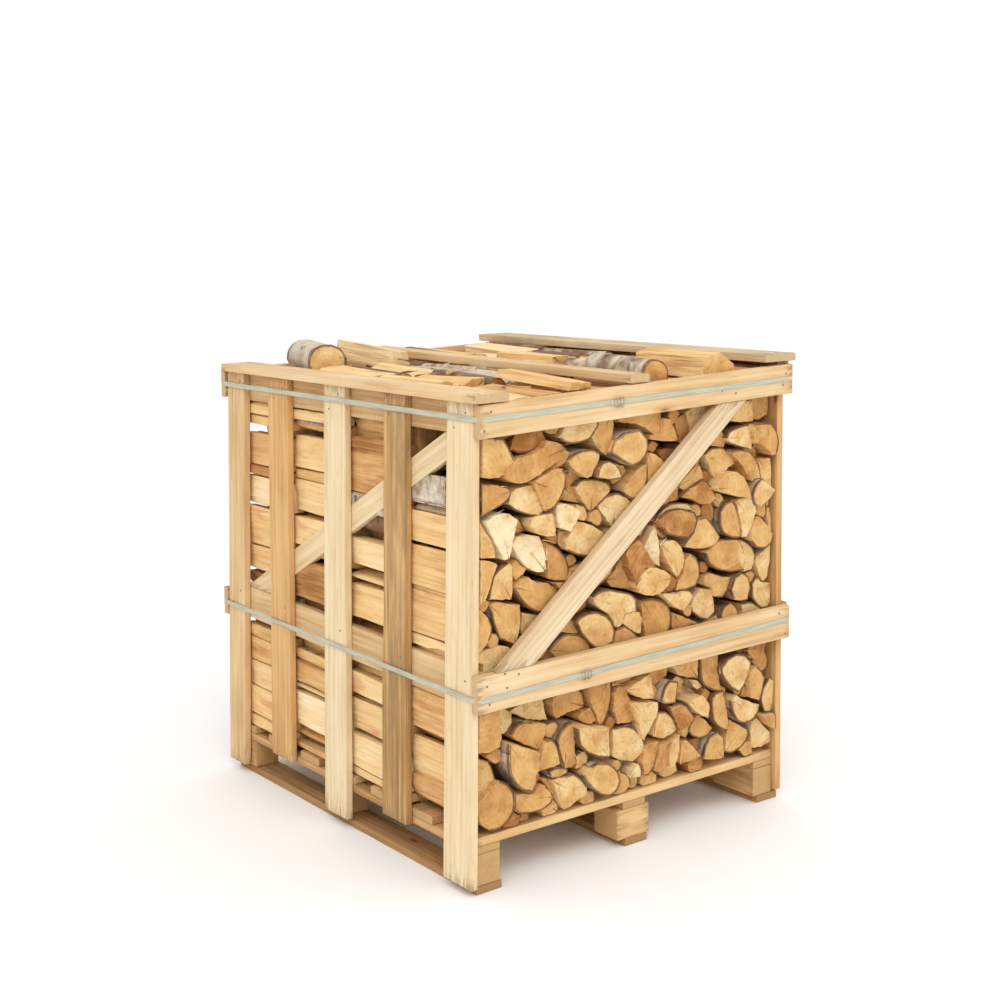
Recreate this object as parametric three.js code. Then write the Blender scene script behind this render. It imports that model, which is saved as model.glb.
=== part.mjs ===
// Crate of split birch firewood on its own pallet.
// Sawn boards are nailed into two slatted sides, tied across by rails and
// braces front and back and by three cap boards, and two plastic straps run
// round the outside.  Four rows of logs stand one behind the other inside, all
// with their ends to the front, and five loose logs lie on top.
// Millimetres, +X along the front, +Y from front to back, +Z up.
import * as THREE from 'three';

// ------------------------------------------------------------------ sizes
const GAP = 0.3;                 // clearance between touching pieces

const SKID_T = 20;               // pallet boards
const BLOCK_TOP = 98;
const STRINGER_TOP = 118;
const DECK_TOP = 140.3;
const PALLET_FRONT = 13;
const PALLET_BACK = 1190;
const DECK_LEFT = 19.8;
const DECK_RIGHT = 1033;
const DECK_BOARD_W = 100;
const DECK_BOARDS = 7;

const LEAN = 0.022;              // inward lean of the left side, mm per mm of height
const LEFT_FOOT = -4;            // outer face of the left side at the floor
const SLAT_T = 20;
const RAIL_T = 22;
const LEFT_TOP = 1174;           // top of the left slats
const RIGHT_TOP = 1211.4;        // top of the right slats
const RIGHT_IN = 1033.3;         // inner face of the right slats
const RIGHT_SLAT_T = 21.7;

const FRONT_T = 24;              // boards across the front and back
const BACK = 1210.3;             // inner face of the back boards
const RISE = 0.032;              // the top rails climb towards the right
const CAP_T = 21.5;

const LOG_BASE = DECK_TOP + GAP;
const ROWS = [[5, 288], [294, 578], [584, 866], [872, 1150]];

const STRAP_W = 13;
const STRAP_T = 1.2;

// ------------------------------------------------------------------ colours
const PALE = 0xebcda0, CREAM = 0xf0dbae, TAN = 0xcda069, GREY = 0x8c785f;
const LOG = 0xd9a868, BARK = 0xd8d0c4, PLASTIC = 0xc3c3af, STEEL = 0x9a9a98;

const timber = (color) => new THREE.MeshStandardMaterial({ color, roughness: 0.8, metalness: 0 });

const crate = new THREE.Group();
const leftSide = new THREE.Group();      // turned as one about its foot
leftSide.position.set(LEFT_FOOT, 0, 0);
leftSide.rotation.y = Math.atan(LEAN);
crate.add(leftSide);

function add(parent, name, geometry, material) {
  const mesh = new THREE.Mesh(geometry, material);
  mesh.name = name;
  parent.add(mesh);
  return mesh;
}

// a board between two corners
function board(parent, name, x0, x1, y0, y1, z0, z1, color) {
  const mesh = add(parent, name, new THREE.BoxGeometry(x1 - x0, y1 - y0, z1 - z0), timber(color));
  mesh.position.set((x0 + x1) / 2, (y0 + y1) / 2, (z0 + z1) / 2);
  return mesh;
}

// a board cut to an outline seen from the side (points are depth, height)
function sideBoard(parent, name, x0, thickness, points, color) {
  const shape = new THREE.Shape(points.map(([y, z]) => new THREE.Vector2(y, z)));
  const geometry = new THREE.ExtrudeGeometry(shape, { depth: thickness, bevelEnabled: false });
  // outline axes (y, z) and thickness along x
  geometry.applyMatrix4(new THREE.Matrix4().makeBasis(
    new THREE.Vector3(0, 1, 0), new THREE.Vector3(0, 0, 1), new THREE.Vector3(1, 0, 0)));
  geometry.translate(x0, 0, 0);
  return add(parent, name, geometry, timber(color));
}

// a board cut to an outline seen from the front (points are across, height)
function frontBoard(parent, name, y0, thickness, points, color) {
  const shape = new THREE.Shape(points.map(([x, z]) => new THREE.Vector2(x, z)));
  const geometry = new THREE.ExtrudeGeometry(shape, { depth: thickness, bevelEnabled: false });
  geometry.applyMatrix4(new THREE.Matrix4().makeBasis(
    new THREE.Vector3(1, 0, 0), new THREE.Vector3(0, 0, 1), new THREE.Vector3(0, -1, 0)));
  geometry.translate(0, y0 + thickness, 0);
  return add(parent, name, geometry, timber(color));
}

// a log between two end points, its section given as (across, up)
function log(name, from, to, section, color) {
  const a = new THREE.Vector3(...from), b = new THREE.Vector3(...to);
  const along = b.clone().sub(a);
  const length = along.length();
  along.normalize();
  const up0 = new THREE.Vector3(0, 0, 1);
  const across = up0.clone().cross(along).normalize().negate();
  const up = across.clone().cross(along).normalize();
  const shape = new THREE.Shape(section.map(([u, v]) => new THREE.Vector2(u, v)));
  const geometry = new THREE.ExtrudeGeometry(shape, { depth: length, bevelEnabled: false });
  // across x up points back towards the first end, so the section is laid off from the far end
  geometry.applyMatrix4(new THREE.Matrix4().makeBasis(across, up, across.clone().cross(up)));
  geometry.translate(...(across.clone().cross(up).dot(along) > 0 ? a : b).toArray());
  return add(crate, name, geometry, timber(color));
}

// ------------------------------------------------------------------ pallet
const SKIDS = { left: [21, 97], middle: [492, 569], right: [975, 1053] };
for (const [side, [x0, x1]] of Object.entries(SKIDS))
  board(crate, `pallet_skid_${side}`, x0, x1, PALLET_FRONT, PALLET_BACK, 0, SKID_T, TAN);

const BLOCKS = {
  left: { x: [DECK_LEFT, 93], y: [[13, 110], [600, 700], [1090, 1188]] },
  middle: { x: [466, 575], y: [[13, 104], [600, 700], [1100, 1188]] },
  right: { x: [960, DECK_RIGHT], y: [[13, 168], [612, 708], [1090, 1188]] },
};
for (const [side, { x, y }] of Object.entries(BLOCKS))
  ['front', 'middle', 'back'].forEach((place, i) =>
    board(crate, `pallet_block_${side}_${place}`, x[0], x[1], y[i][0], y[i][1], SKID_T + GAP, BLOCK_TOP, TAN));

const STRINGERS = { left: [DECK_LEFT, 93], middle: [486, 562], right: [960, DECK_RIGHT] };
for (const [side, [x0, x1]] of Object.entries(STRINGERS))
  board(crate, `pallet_stringer_${side}`, x0, x1, PALLET_FRONT, PALLET_BACK, BLOCK_TOP + GAP, STRINGER_TOP, PALE);

for (let i = 0; i < DECK_BOARDS; i++) {
  const y0 = 11 + i * (1192 - DECK_BOARD_W - 11) / (DECK_BOARDS - 1);
  board(crate, `deck_board_${i + 1}`, DECK_LEFT, DECK_RIGHT, y0, y0 + DECK_BOARD_W, STRINGER_TOP + GAP, DECK_TOP, PALE);
}

// ------------------------------------------------------------------ left side
// each slat: depth at the top, depth at the foot, height of the foot
const LEFT_SLATS = [
  [[GAP, 104], [GAP, 115], 20],
  [[280, 381], [275, 384], 98],
  [[558, 663], [555, 665], 28],
  [[856, 963], [847, 955], 105],
  [[1101, 1199], [1116, 1209.6], 25],
];
LEFT_SLATS.forEach(([top, foot, z0], i) =>
  sideBoard(leftSide, `left_slat_${i + 1}`, 0, SLAT_T,
    [[foot[0], z0], [foot[1], z0], [top[1], LEFT_TOP], [top[0], LEFT_TOP]], PALE));

const LEFT_MID = { z: 501.8, tilt: 0.0143, half: 45.5, y: 604 };
board(leftSide, 'left_rail_top', SLAT_T + GAP, SLAT_T + GAP + RAIL_T, GAP, 1206, 1095, 1170, PALE);
{
  const edge = (y, s) => LEFT_MID.z + LEFT_MID.tilt * (y - LEFT_MID.y) + s * LEFT_MID.half;
  sideBoard(leftSide, 'left_rail_middle', SLAT_T + GAP, RAIL_T,
    [[GAP, edge(0, -1)], [1206, edge(1206, -1)], [1206, edge(1206, 1)], [GAP, edge(0, 1)]], PALE);
  sideBoard(leftSide, 'left_brace', SLAT_T + GAP, SLAT_T,
    [[996, edge(996, 1) + GAP], [1123, edge(1123, 1) + GAP], [140, 1095 - GAP], [13, 1095 - GAP]], CREAM);
}
board(crate, 'left_cap', 6, 104, -30, 1209, 1174.5, 1174.5 + CAP_T, PALE);

// ------------------------------------------------------------------ right side
const RIGHT_SLATS = [
  [[GAP, 98], [GAP, 101], 27],
  [[276, 377], [279, 380], 101],
  [[554, 656], [557, 660], 24],
  [[852, 955], [850, 952], 99],
  [[1104, 1203], [1106, 1206], 30],
];
RIGHT_SLATS.forEach(([top, foot, z0], i) =>
  sideBoard(crate, `right_slat_${i + 1}`, RIGHT_IN, RIGHT_SLAT_T,
    [[foot[0], z0], [foot[1], z0], [top[1], RIGHT_TOP], [top[0], RIGHT_TOP]], TAN));
const RIGHT_OUT = RIGHT_IN + RIGHT_SLAT_T + GAP;
board(crate, 'right_rail_top', RIGHT_OUT, RIGHT_OUT + RAIL_T, GAP, 1206, 1129, 1210, TAN);
board(crate, 'right_rail_middle', RIGHT_OUT, RIGHT_OUT + RAIL_T, GAP, 1206, 461, 550, TAN);
sideBoard(crate, 'right_brace', RIGHT_OUT, SLAT_T,
  [[1000, 550 + GAP], [1126, 550 + GAP], [146, 1129 - GAP], [20, 1129 - GAP]], CREAM);
board(crate, 'right_cap', 965, 1082, -20, 1250, 1212, 1212 + CAP_T, GREY);

// ------------------------------------------------------------------ front and back
// a rail that climbs towards +X
function climbing(name, x0, x1, y0, z0, width, rise, color) {
  frontBoard(crate, name, y0, FRONT_T - GAP,
    [[x0, z0], [x1, z0 + rise * (x1 - x0)], [x1, z0 + width + rise * (x1 - x0)], [x0, z0 + width]], color);
}
climbing('front_rail_top', 23, 1066, -FRONT_T, 1092, 79, RISE, PALE);
climbing('front_rail_middle', 4.4, 1060, -FRONT_T, 450, 89, 0.0075, PALE);
frontBoard(crate, 'front_brace', -FRONT_T, FRONT_T - GAP,
  [[63, 539.9], [173, 540.7], [890, 1119.3], [788, 1116]], CREAM);

climbing('back_rail_top', 17, 1070, BACK, 1097, 79, RISE, PALE);
climbing('back_rail_middle', 5, 1066, BACK, 456, 80, 0.009, PALE);
frontBoard(crate, 'back_brace', BACK, FRONT_T - GAP,
  [[866, 544.4], [974, 545.4], [262, 1104.2], [160, 1101]], CREAM);

// middle cap, a little askew and climbing towards the back
{
  const length = 1255, x0 = 519.5, x1 = 554.5, z0 = 1189.2, z1 = 1195.5;
  const cap = add(crate, 'middle_cap', new THREE.BoxGeometry(64, length, CAP_T), timber(PALE));
  cap.position.set((x0 + x1) / 2, -20 + length / 2, (z0 + z1) / 2 + CAP_T / 2);
  cap.rotation.set(Math.atan((z1 - z0) / length), 0, -Math.atan((x1 - x0) / length));
}

// ------------------------------------------------------------------ straps
// a closed band round a convex outline, its height a plane over the plan
function offset(points, d) {
  const n = points.length, out = [];
  for (let i = 0; i < n; i++) {
    const p = points[(i + n - 1) % n], q = points[i], r = points[(i + 1) % n];
    const a = [q[0] - p[0], q[1] - p[1]], b = [r[0] - q[0], r[1] - q[1]];
    const la = Math.hypot(...a), lb = Math.hypot(...b);
    const na = [a[1] / la, -a[0] / la], nb = [b[1] / lb, -b[0] / lb];
    const k = 1 + na[0] * nb[0] + na[1] * nb[1];
    out.push([q[0] + d * (na[0] + nb[0]) / k, q[1] + d * (na[1] + nb[1]) / k]);
  }
  return out;
}
function strap(name, plan, z0, slopeX, slopeY) {
  const shape = new THREE.Shape(offset(plan, STRAP_T).map(([x, y]) => new THREE.Vector2(x, y)));
  shape.holes.push(new THREE.Path(plan.slice().reverse().map(([x, y]) => new THREE.Vector2(x, y))));
  const geometry = new THREE.ExtrudeGeometry(shape, { depth: STRAP_W, bevelEnabled: false });
  geometry.translate(0, 0, z0 - STRAP_W / 2);
  geometry.applyMatrix4(new THREE.Matrix4().set(
    1, 0, 0, 0,
    0, 1, 0, 0,
    slopeX, slopeY, 1, 0,
    0, 0, 0, 1));
  add(crate, name, geometry, new THREE.MeshStandardMaterial({ color: PLASTIC, roughness: 0.35, metalness: 0 }));
}
strap('strap_upper', [
  [21.2, -25], [1067, -25], [1079, -1], [1079, 1214], [1072, 1235.4], [15.5, 1235.4], [15.5, 1208], [18.8, 0],
], 1136.4, 0.0273, 0);
strap('strap_lower', [
  [3.2, -25], [1061, -25], [1079, -2], [1079, 1213], [1069, 1235.4], [3.8, 1235.4],
], 481.6, 0.0262, 0.0098);

function buckle(name, x, z, w, h, tilt) {
  const mesh = add(crate, name, new THREE.BoxGeometry(w, 3.2, h),
    new THREE.MeshStandardMaterial({ color: STEEL, roughness: 0.4, metalness: 1 }));
  mesh.position.set(x, -25 - STRAP_T - GAP - 1.6, z);
  mesh.rotation.y = -tilt;
}
buckle('strap_buckle_upper', 443, 1147.5, 52, 24, 0.027);
buckle('strap_buckle_lower', 334, 488, 48, 24, 0.026);

// ------------------------------------------------------------------ firewood
// outline of a row seen from the front: leaning left flank, upright right
// flank, and a heaped top that stays under the caps
const flank = (z) => LEFT_FOOT + LEAN * z + SLAT_T + GAP + RAIL_T + 1.6;
function row(i, top) {
  const [y0, y1] = ROWS[i];
  frontBoard(crate, `firewood_row_${i + 1}`, y0, y1 - y0, [
    [flank(LOG_BASE), LOG_BASE], [1030, LOG_BASE], [1030, 1172],
    ...top.slice().reverse(), [flank(1160), 1160],
  ], LOG);
}
row(0, [[106, 1164], [112, 1176], [478, 1180], [484, 1166], [560, 1166], [572, 1172], [900, 1172], [960, 1200], [1024, 1200]]);
row(1, [[106, 1164], [112, 1196], [484, 1196], [490, 1180], [566, 1180], [576, 1200], [950, 1210], [962, 1204], [1024, 1200]]);
row(2, [[106, 1164], [112, 1194], [490, 1196], [498, 1182], [574, 1182], [586, 1204], [950, 1214], [962, 1204], [1024, 1200]]);
row(3, [[106, 1148], [320, 1148], [452, 1148], [462, 1190], [502, 1190], [508, 1184], [584, 1184], [594, 1206], [950, 1216], [962, 1204], [1024, 1200]]);

// loose logs on top
const round = (r, n, squash = 1) => Array.from({ length: n }, (_, k) => {
  const t = 2 * Math.PI * k / n;
  return [r * Math.cos(t), squash * r * Math.sin(t)];
});
log('top_log_white_bark', [172, 884, 1204], [243, 1142, 1206], round(55, 14, 0.95), BARK);
log('top_log_leaning', [398, 872, 1204], [372, 1124, 1224],
  [[-38, -28], [44, -20], [30, 22], [-30, 30]], LOG);
log('top_log_flat_split', [350, 8, 1184], [338, 284, 1200],
  [[-40, -3], [36, -3], [34, 14], [-30, 20]], LOG);
log('top_log_grey_bark', [603, 12, 1206], [640, 284, 1210],
  [[-40, -24], [34, -26], [36, 4], [14, 32], [-20, 34], [-40, 10]], GREY);
log('top_log_big_split', [818, 9, 1206], [824, 284, 1208],
  [[-56, -26], [54, -30], [58, 6], [6, 42], [-46, 30]], LOG);

// the origin lies under the middle of the whole, on the floor
crate.updateMatrixWorld(true);
const box = new THREE.Box3().setFromObject(crate, true);
crate.position.set(-(box.min.x + box.max.x) / 2, -(box.min.y + box.max.y) / 2, -box.min.z);

export default crate;
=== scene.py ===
# A slatted crate of split birch firewood on its pallet, strapped twice round.
# Lengths below are in millimetres in the crate's own frame: x along the front
# from its left corner, y from the front slats' faces to the back, z up.
import math
import random

import bpy
import numpy as np
from mathutils import Matrix, Vector, noise


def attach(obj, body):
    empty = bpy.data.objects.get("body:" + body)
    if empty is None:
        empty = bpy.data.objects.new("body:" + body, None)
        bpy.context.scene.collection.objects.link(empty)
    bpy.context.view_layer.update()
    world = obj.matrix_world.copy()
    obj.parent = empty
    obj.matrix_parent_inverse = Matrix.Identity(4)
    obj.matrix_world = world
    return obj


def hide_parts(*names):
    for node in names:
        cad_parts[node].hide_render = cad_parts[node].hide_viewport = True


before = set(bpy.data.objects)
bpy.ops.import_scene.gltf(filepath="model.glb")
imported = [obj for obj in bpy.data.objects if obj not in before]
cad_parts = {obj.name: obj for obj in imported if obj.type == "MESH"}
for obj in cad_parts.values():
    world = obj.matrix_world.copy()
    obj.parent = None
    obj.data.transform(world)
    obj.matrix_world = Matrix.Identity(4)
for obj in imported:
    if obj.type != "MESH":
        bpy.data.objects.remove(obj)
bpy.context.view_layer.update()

ORIGIN = (539.22, 610.0)         # the frame's origin in crate millimetres


def to_frame(p):
    """crate millimetres to the frame's metres"""
    p = np.asarray(p, float)
    out = np.empty_like(p)
    out[..., 0] = (p[..., 0] - ORIGIN[0]) / 1000.0
    out[..., 1] = (p[..., 1] - ORIGIN[1]) / 1000.0
    out[..., 2] = p[..., 2] / 1000.0
    return out


# ------------------------------------------------------------------ camera
cam_data = bpy.data.cameras.new("view")
cam_data.sensor_width = 36.0
cam_data.lens = 1546.5 / 1000.0 * 36.0
cam_data.shift_y = -0.1
cam_data.clip_end = 200.0
cam = bpy.data.objects.new("view", cam_data)
bpy.context.scene.collection.objects.link(cam)
_az, _el, _roll = math.radians(37.241), math.radians(6.058), math.radians(-0.696)
_fw = Vector((math.sin(_az) * math.cos(_el), math.cos(_az) * math.cos(_el), -math.sin(_el)))
_right = _fw.cross(Vector((0, 0, 1))).normalized()
_up = _right.cross(_fw)
_r2 = math.cos(_roll) * _right + math.sin(_roll) * _up
_u2 = -math.sin(_roll) * _right + math.cos(_roll) * _up
_m = Matrix((_r2, _u2, -_fw)).transposed().to_4x4()
_m.translation = Vector(to_frame((-2052.3, -2830.2, 1553.6)))
cam.matrix_world = _m
bpy.context.scene.camera = cam
bpy.context.scene.view_settings.view_transform = "Standard"
bpy.context.scene.view_settings.look = "None"


# ------------------------------------------------------------------ small tools
rng = random.Random(4)


def n3(x, y, z):
    return noise.noise(Vector((x, y, z)))


def new_mesh(name, verts, faces, mats, mat_index=None, smooth=None, vec=None, flt=None):
    """verts in crate millimetres"""
    me = bpy.data.meshes.new(name)
    me.from_pydata(to_frame(np.asarray(verts, float)).tolist(), [], faces)
    for m in mats:
        me.materials.append(m)
    if mat_index is not None:
        me.polygons.foreach_set("material_index", np.asarray(mat_index, np.int32))
    if smooth is None:
        me.polygons.foreach_set("use_smooth", [True] * len(me.polygons))
    else:
        me.polygons.foreach_set("use_smooth", smooth)
    for k, v in (vec or {}).items():
        a = me.attributes.new(k, "FLOAT_VECTOR", "POINT")
        a.data.foreach_set("vector", np.asarray(v, np.float32).ravel())
    for k, v in (flt or {}).items():
        a = me.attributes.new(k, "FLOAT", "POINT")
        a.data.foreach_set("value", np.asarray(v, np.float32).ravel())
    me.update()
    ob = bpy.data.objects.new(name, me)
    bpy.context.scene.collection.objects.link(ob)
    return ob


# ------------------------------------------------------------------ materials
class Net:
    """a short way to write a node tree"""

    def __init__(self, name):
        self.mat = bpy.data.materials.new(name)
        self.mat.use_nodes = True
        self.t = self.mat.node_tree
        self.bsdf = self.t.nodes["Principled BSDF"]

    def node(self, kind, **props):
        n = self.t.nodes.new(kind)
        for k, v in props.items():
            setattr(n, k, v)
        return n

    def put(self, sock, value):
        if isinstance(value, bpy.types.NodeSocket):
            self.t.links.new(value, sock)
        else:
            sock.default_value = value

    def attr(self, name, out="Vector"):
        return self.node("ShaderNodeAttribute", attribute_name=name).outputs[out]

    def scaled(self, v, s, o=(0, 0, 0)):
        n = self.node("ShaderNodeMapping")
        self.put(n.inputs["Vector"], v)
        n.inputs["Scale"].default_value = s
        n.inputs["Location"].default_value = o
        return n.outputs[0]

    def noise(self, v, scale=1.0, detail=4.0, rough=0.55, dist=0.0, out=0):
        n = self.node("ShaderNodeTexNoise")
        self.put(n.inputs["Vector"], v)
        n.inputs["Scale"].default_value = scale
        n.inputs["Detail"].default_value = detail
        n.inputs["Roughness"].default_value = rough
        n.inputs["Distortion"].default_value = dist
        return n.outputs[out]

    def wave(self, v, scale=1.0, dist=0.0, detail=2.0, dscale=1.0, direction="Y", profile="SIN", kind="BANDS", rough=0.5):
        n = self.node("ShaderNodeTexWave", wave_type=kind, wave_profile=profile)
        if kind == "BANDS":
            n.bands_direction = direction
        self.put(n.inputs["Vector"], v)
        n.inputs["Scale"].default_value = scale
        n.inputs["Distortion"].default_value = dist
        n.inputs["Detail"].default_value = detail
        n.inputs["Detail Scale"].default_value = dscale
        n.inputs["Detail Roughness"].default_value = rough
        return n.outputs["Fac"]

    def voronoi(self, v, scale=1.0, feature="F1", rand=1.0, out="Distance"):
        n = self.node("ShaderNodeTexVoronoi", feature=feature)
        self.put(n.inputs["Vector"], v)
        n.inputs["Scale"].default_value = scale
        n.inputs["Randomness"].default_value = rand
        return n.outputs[out]

    def math(self, op, a, b=None, c=None, clamp=False):
        n = self.node("ShaderNodeMath", operation=op, use_clamp=clamp)
        self.put(n.inputs[0], a)
        if b is not None:
            self.put(n.inputs[1], b)
        if c is not None:
            self.put(n.inputs[2], c)
        return n.outputs[0]

    def remap(self, v, a, b, c=0.0, d=1.0, smooth=False):
        n = self.node("ShaderNodeMapRange")
        if smooth:
            n.interpolation_type = "SMOOTHSTEP"
        self.put(n.inputs["Value"], v)
        n.inputs["From Min"].default_value = a
        n.inputs["From Max"].default_value = b
        n.inputs["To Min"].default_value = c
        n.inputs["To Max"].default_value = d
        return n.outputs[0]

    def ramp(self, v, stops, mode="LINEAR"):
        n = self.node("ShaderNodeValToRGB")
        n.color_ramp.interpolation = mode
        self.put(n.inputs[0], v)
        e = n.color_ramp.elements
        while len(e) > 1:
            e.remove(e[-1])
        e[0].position, e[0].color = stops[0][0], (*stops[0][1], 1)
        for p, c in stops[1:]:
            x = e.new(p)
            x.color = (*c, 1)
        return n.outputs[0]

    def mix(self, f, a, b, mode="MIX"):
        n = self.node("ShaderNodeMix", data_type="RGBA", blend_type=mode)
        self.put(n.inputs[0], f)
        for s, v in ((n.inputs[6], a), (n.inputs[7], b)):
            if isinstance(v, bpy.types.NodeSocket):
                self.t.links.new(v, s)
            else:
                s.default_value = (*v, 1)
        return n.outputs[2]

    def bump(self, height, strength, distance):
        n = self.node("ShaderNodeBump")
        self.put(n.inputs["Height"], height)
        n.inputs["Strength"].default_value = strength
        n.inputs["Distance"].default_value = distance
        self.t.links.new(n.outputs[0], self.bsdf.inputs["Normal"])

    def split(self, v):
        n = self.node("ShaderNodeSeparateXYZ")
        self.put(n.inputs[0], v)
        return n.outputs

    def join(self, x, y, z):
        n = self.node("ShaderNodeCombineXYZ")
        for s, v in zip(n.inputs, (x, y, z)):
            self.put(s, v)
        return n.outputs[0]


def srgb(r, g, b):
    def f(c):
        c /= 255.0
        return c / 12.92 if c <= 0.04045 else ((c + 0.055) / 1.055) ** 2.4
    return (f(r), f(g), f(b))


def board_material(name, light, mid, dark, grey=0.0, knots=0.6, rough=0.78):
    """sawn softwood: streaked grain, growth figure, knots, saw marks, stains"""
    w = Net(name)
    g = w.attr("grain")
    tone = w.attr("tone", "Fac")
    endm = w.attr("endm", "Fac")
    # growth figure, stretched along the board
    fig = w.wave(w.scaled(g, (0.0016, 0.016, 0.012)), 1.0, 9.0, 4.0, 0.9, "Y", rough=0.6)
    fine = w.noise(w.scaled(g, (0.006, 0.42, 0.42)), 1.0, 6, 0.62)
    streak = w.noise(w.scaled(g, (0.0022, 0.075, 0.06)), 1.0, 4, 0.6)
    cloud = w.noise(w.scaled(g, (0.0035, 0.012, 0.012)), 1.0, 3, 0.5)
    v = w.math("ADD", w.math("MULTIPLY", fig, 0.10), w.math("MULTIPLY", fine, 0.46))
    v = w.math("ADD", v, w.math("MULTIPLY", streak, 0.58))
    v = w.math("ADD", v, w.math("MULTIPLY", cloud, 0.62))
    v = w.math("ADD", v, w.math("MULTIPLY", tone, 0.30))
    col = w.ramp(w.remap(v, 0.63, 1.34), [(0.0, dark), (0.38, mid), (0.75, light), (1.0, tuple(min(1, c * 1.06) for c in light))])
    # knots
    kv = w.scaled(g, (0.0046, 0.0125, 0.0125))
    kd = w.voronoi(kv, 1.0)
    kc = w.split(w.voronoi(kv, 1.0, out="Color"))[0]
    on = w.math("GREATER_THAN", kc, 1.0 - 0.22 * knots)
    knot = w.math("MULTIPLY", w.remap(w.math("ADD", kd, w.math("MULTIPLY", fine, 0.05)), 0.13, 0.08), on, clamp=True)
    halo = w.math("MULTIPLY", w.remap(kd, 0.27, 0.10, 0.0, 0.5, True), on)
    col = w.mix(halo, col, srgb(196, 134, 78))
    col = w.mix(w.math("MULTIPLY", knot, 0.85), col, srgb(116, 70, 36))
    # pinkish resin patches and grey weather
    pink = w.remap(w.noise(w.scaled(g, (0.0030, 0.016, 0.016), (7, 3, 1)), 1.0, 3, 0.5), 0.60, 0.76, 0.0, 0.42, True)
    col = w.mix(pink, col, srgb(226, 168, 120))
    gm = w.noise(w.scaled(g, (0.0040, 0.03, 0.03), (2, 9, 4)), 1.0, 5, 0.65)
    if grey > 0:
        col = w.mix(w.remap(gm, 0.62 - 0.5 * grey, 0.78 - 0.3 * grey, 0.0, min(1.0, 0.35 + grey), True), col, srgb(146, 118, 82))
    # dark dashes of resin and dirt
    dash = w.noise(w.scaled(g, (0.018, 0.30, 0.30), (5, 5, 5)), 1.0, 3, 0.5)
    col = w.mix(w.remap(dash, 0.70, 0.80, 0.0, 0.5), col, srgb(120, 82, 48))
    # grime and fine checks creeping in from the ends
    near = w.attr("near", "Fac")
    grime = w.noise(w.scaled(g, (0.016, 0.11, 0.11), (1, 2, 8)), 1.0, 5, 0.65)
    col = w.mix(w.remap(w.math("ADD", grime, w.math("MULTIPLY", near, 0.24)), 0.60, 0.84, 0.0, 0.62, True), col, srgb(142, 112, 78))
    chk = w.noise(w.scaled(g, (0.010, 0.42, 0.42), (6, 2, 8)), 1.0, 2, 0.5)
    chk = w.math("MULTIPLY", w.remap(w.math("ABSOLUTE", w.math("SUBTRACT", chk, 0.5)), 0.0, 0.014, 1.0, 0.0), w.remap(near, 0.25, 0.7, 0.0, 0.75), clamp=True)
    col = w.mix(chk, col, srgb(96, 68, 42))
    # cut ends: darker, with growth rings
    ring = w.wave(w.scaled(g, (0.0, 0.20, 0.055)), 1.0, 2.5, 2.0, 1.0, "Y")
    endc = w.mix(ring, tuple(c * 0.86 for c in mid), tuple(c * 0.72 for c in mid))
    col = w.mix(w.math("MULTIPLY", endm, 0.85), col, endc)
    w.put(w.bsdf.inputs["Base Color"], col)
    w.put(w.bsdf.inputs["Roughness"], w.remap(fine, 0.3, 0.7, rough - 0.08, rough + 0.12))
    w.bsdf.inputs["Specular IOR Level"].default_value = 0.3
    saw = w.wave(w.scaled(g, (0.26, 0.030, 0.010)), 1.0, 1.6, 2.0, 1.4, "X")
    h = w.math("ADD", w.math("MULTIPLY", fine, 1.0), w.math("MULTIPLY", saw, 0.28))
    h = w.math("ADD", h, w.math("MULTIPLY", fig, 0.18))
    h = w.math("SUBTRACT", h, w.math("MULTIPLY", knot, 0.3))
    w.bump(h, 0.55, 0.0011)
    return w.mat


def split_material():
    """a log's split face: long torn fibres, from cream to orange"""
    w = Net("birch_split")
    g = w.attr("grain")
    tone = w.attr("tone", "Fac")
    fibre = w.noise(w.scaled(g, (0.008, 0.30, 0.30)), 1.0, 6, 0.65)
    band = w.noise(w.scaled(g, (0.0035, 0.055, 0.055), (3, 1, 8)), 1.0, 4, 0.6)
    cloud = w.noise(w.scaled(g, (0.010, 0.02, 0.02), (1, 6, 2)), 1.0, 3, 0.5)
    v = w.math("ADD", w.math("MULTIPLY", fibre, 0.40), w.math("MULTIPLY", band, 0.55))
    v = w.math("ADD", v, w.math("MULTIPLY", cloud, 0.25))
    v = w.math("ADD", v, w.math("MULTIPLY", tone, 0.50))
    col = w.ramp(w.remap(v, 0.26, 0.92), [
        (0.0, srgb(158, 104, 54)), (0.25, srgb(208, 156, 96)), (0.5, srgb(234, 192, 130)),
        (0.75, srgb(245, 212, 156)), (1.0, srgb(252, 232, 192))])
    red = w.remap(w.noise(w.scaled(g, (0.006, 0.028, 0.028), (4, 4, 9)), 1.0, 3, 0.5), 0.60, 0.74, 0.0, 0.5, True)
    col = w.mix(red, col, srgb(196, 112, 62))
    crack = w.noise(w.scaled(g, (0.012, 0.55, 0.55), (8, 2, 3)), 1.0, 2, 0.5)
    col = w.mix(w.remap(crack, 0.70, 0.78, 0.0, 0.5), col, srgb(110, 66, 34))
    w.put(w.bsdf.inputs["Base Color"], col)
    w.put(w.bsdf.inputs["Roughness"], w.remap(fibre, 0.3, 0.7, 0.62, 0.85))
    w.bsdf.inputs["Specular IOR Level"].default_value = 0.3
    w.bump(w.math("ADD", fibre, w.math("MULTIPLY", band, 1.6)), 0.9, 0.0034)
    return w.mat


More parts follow.
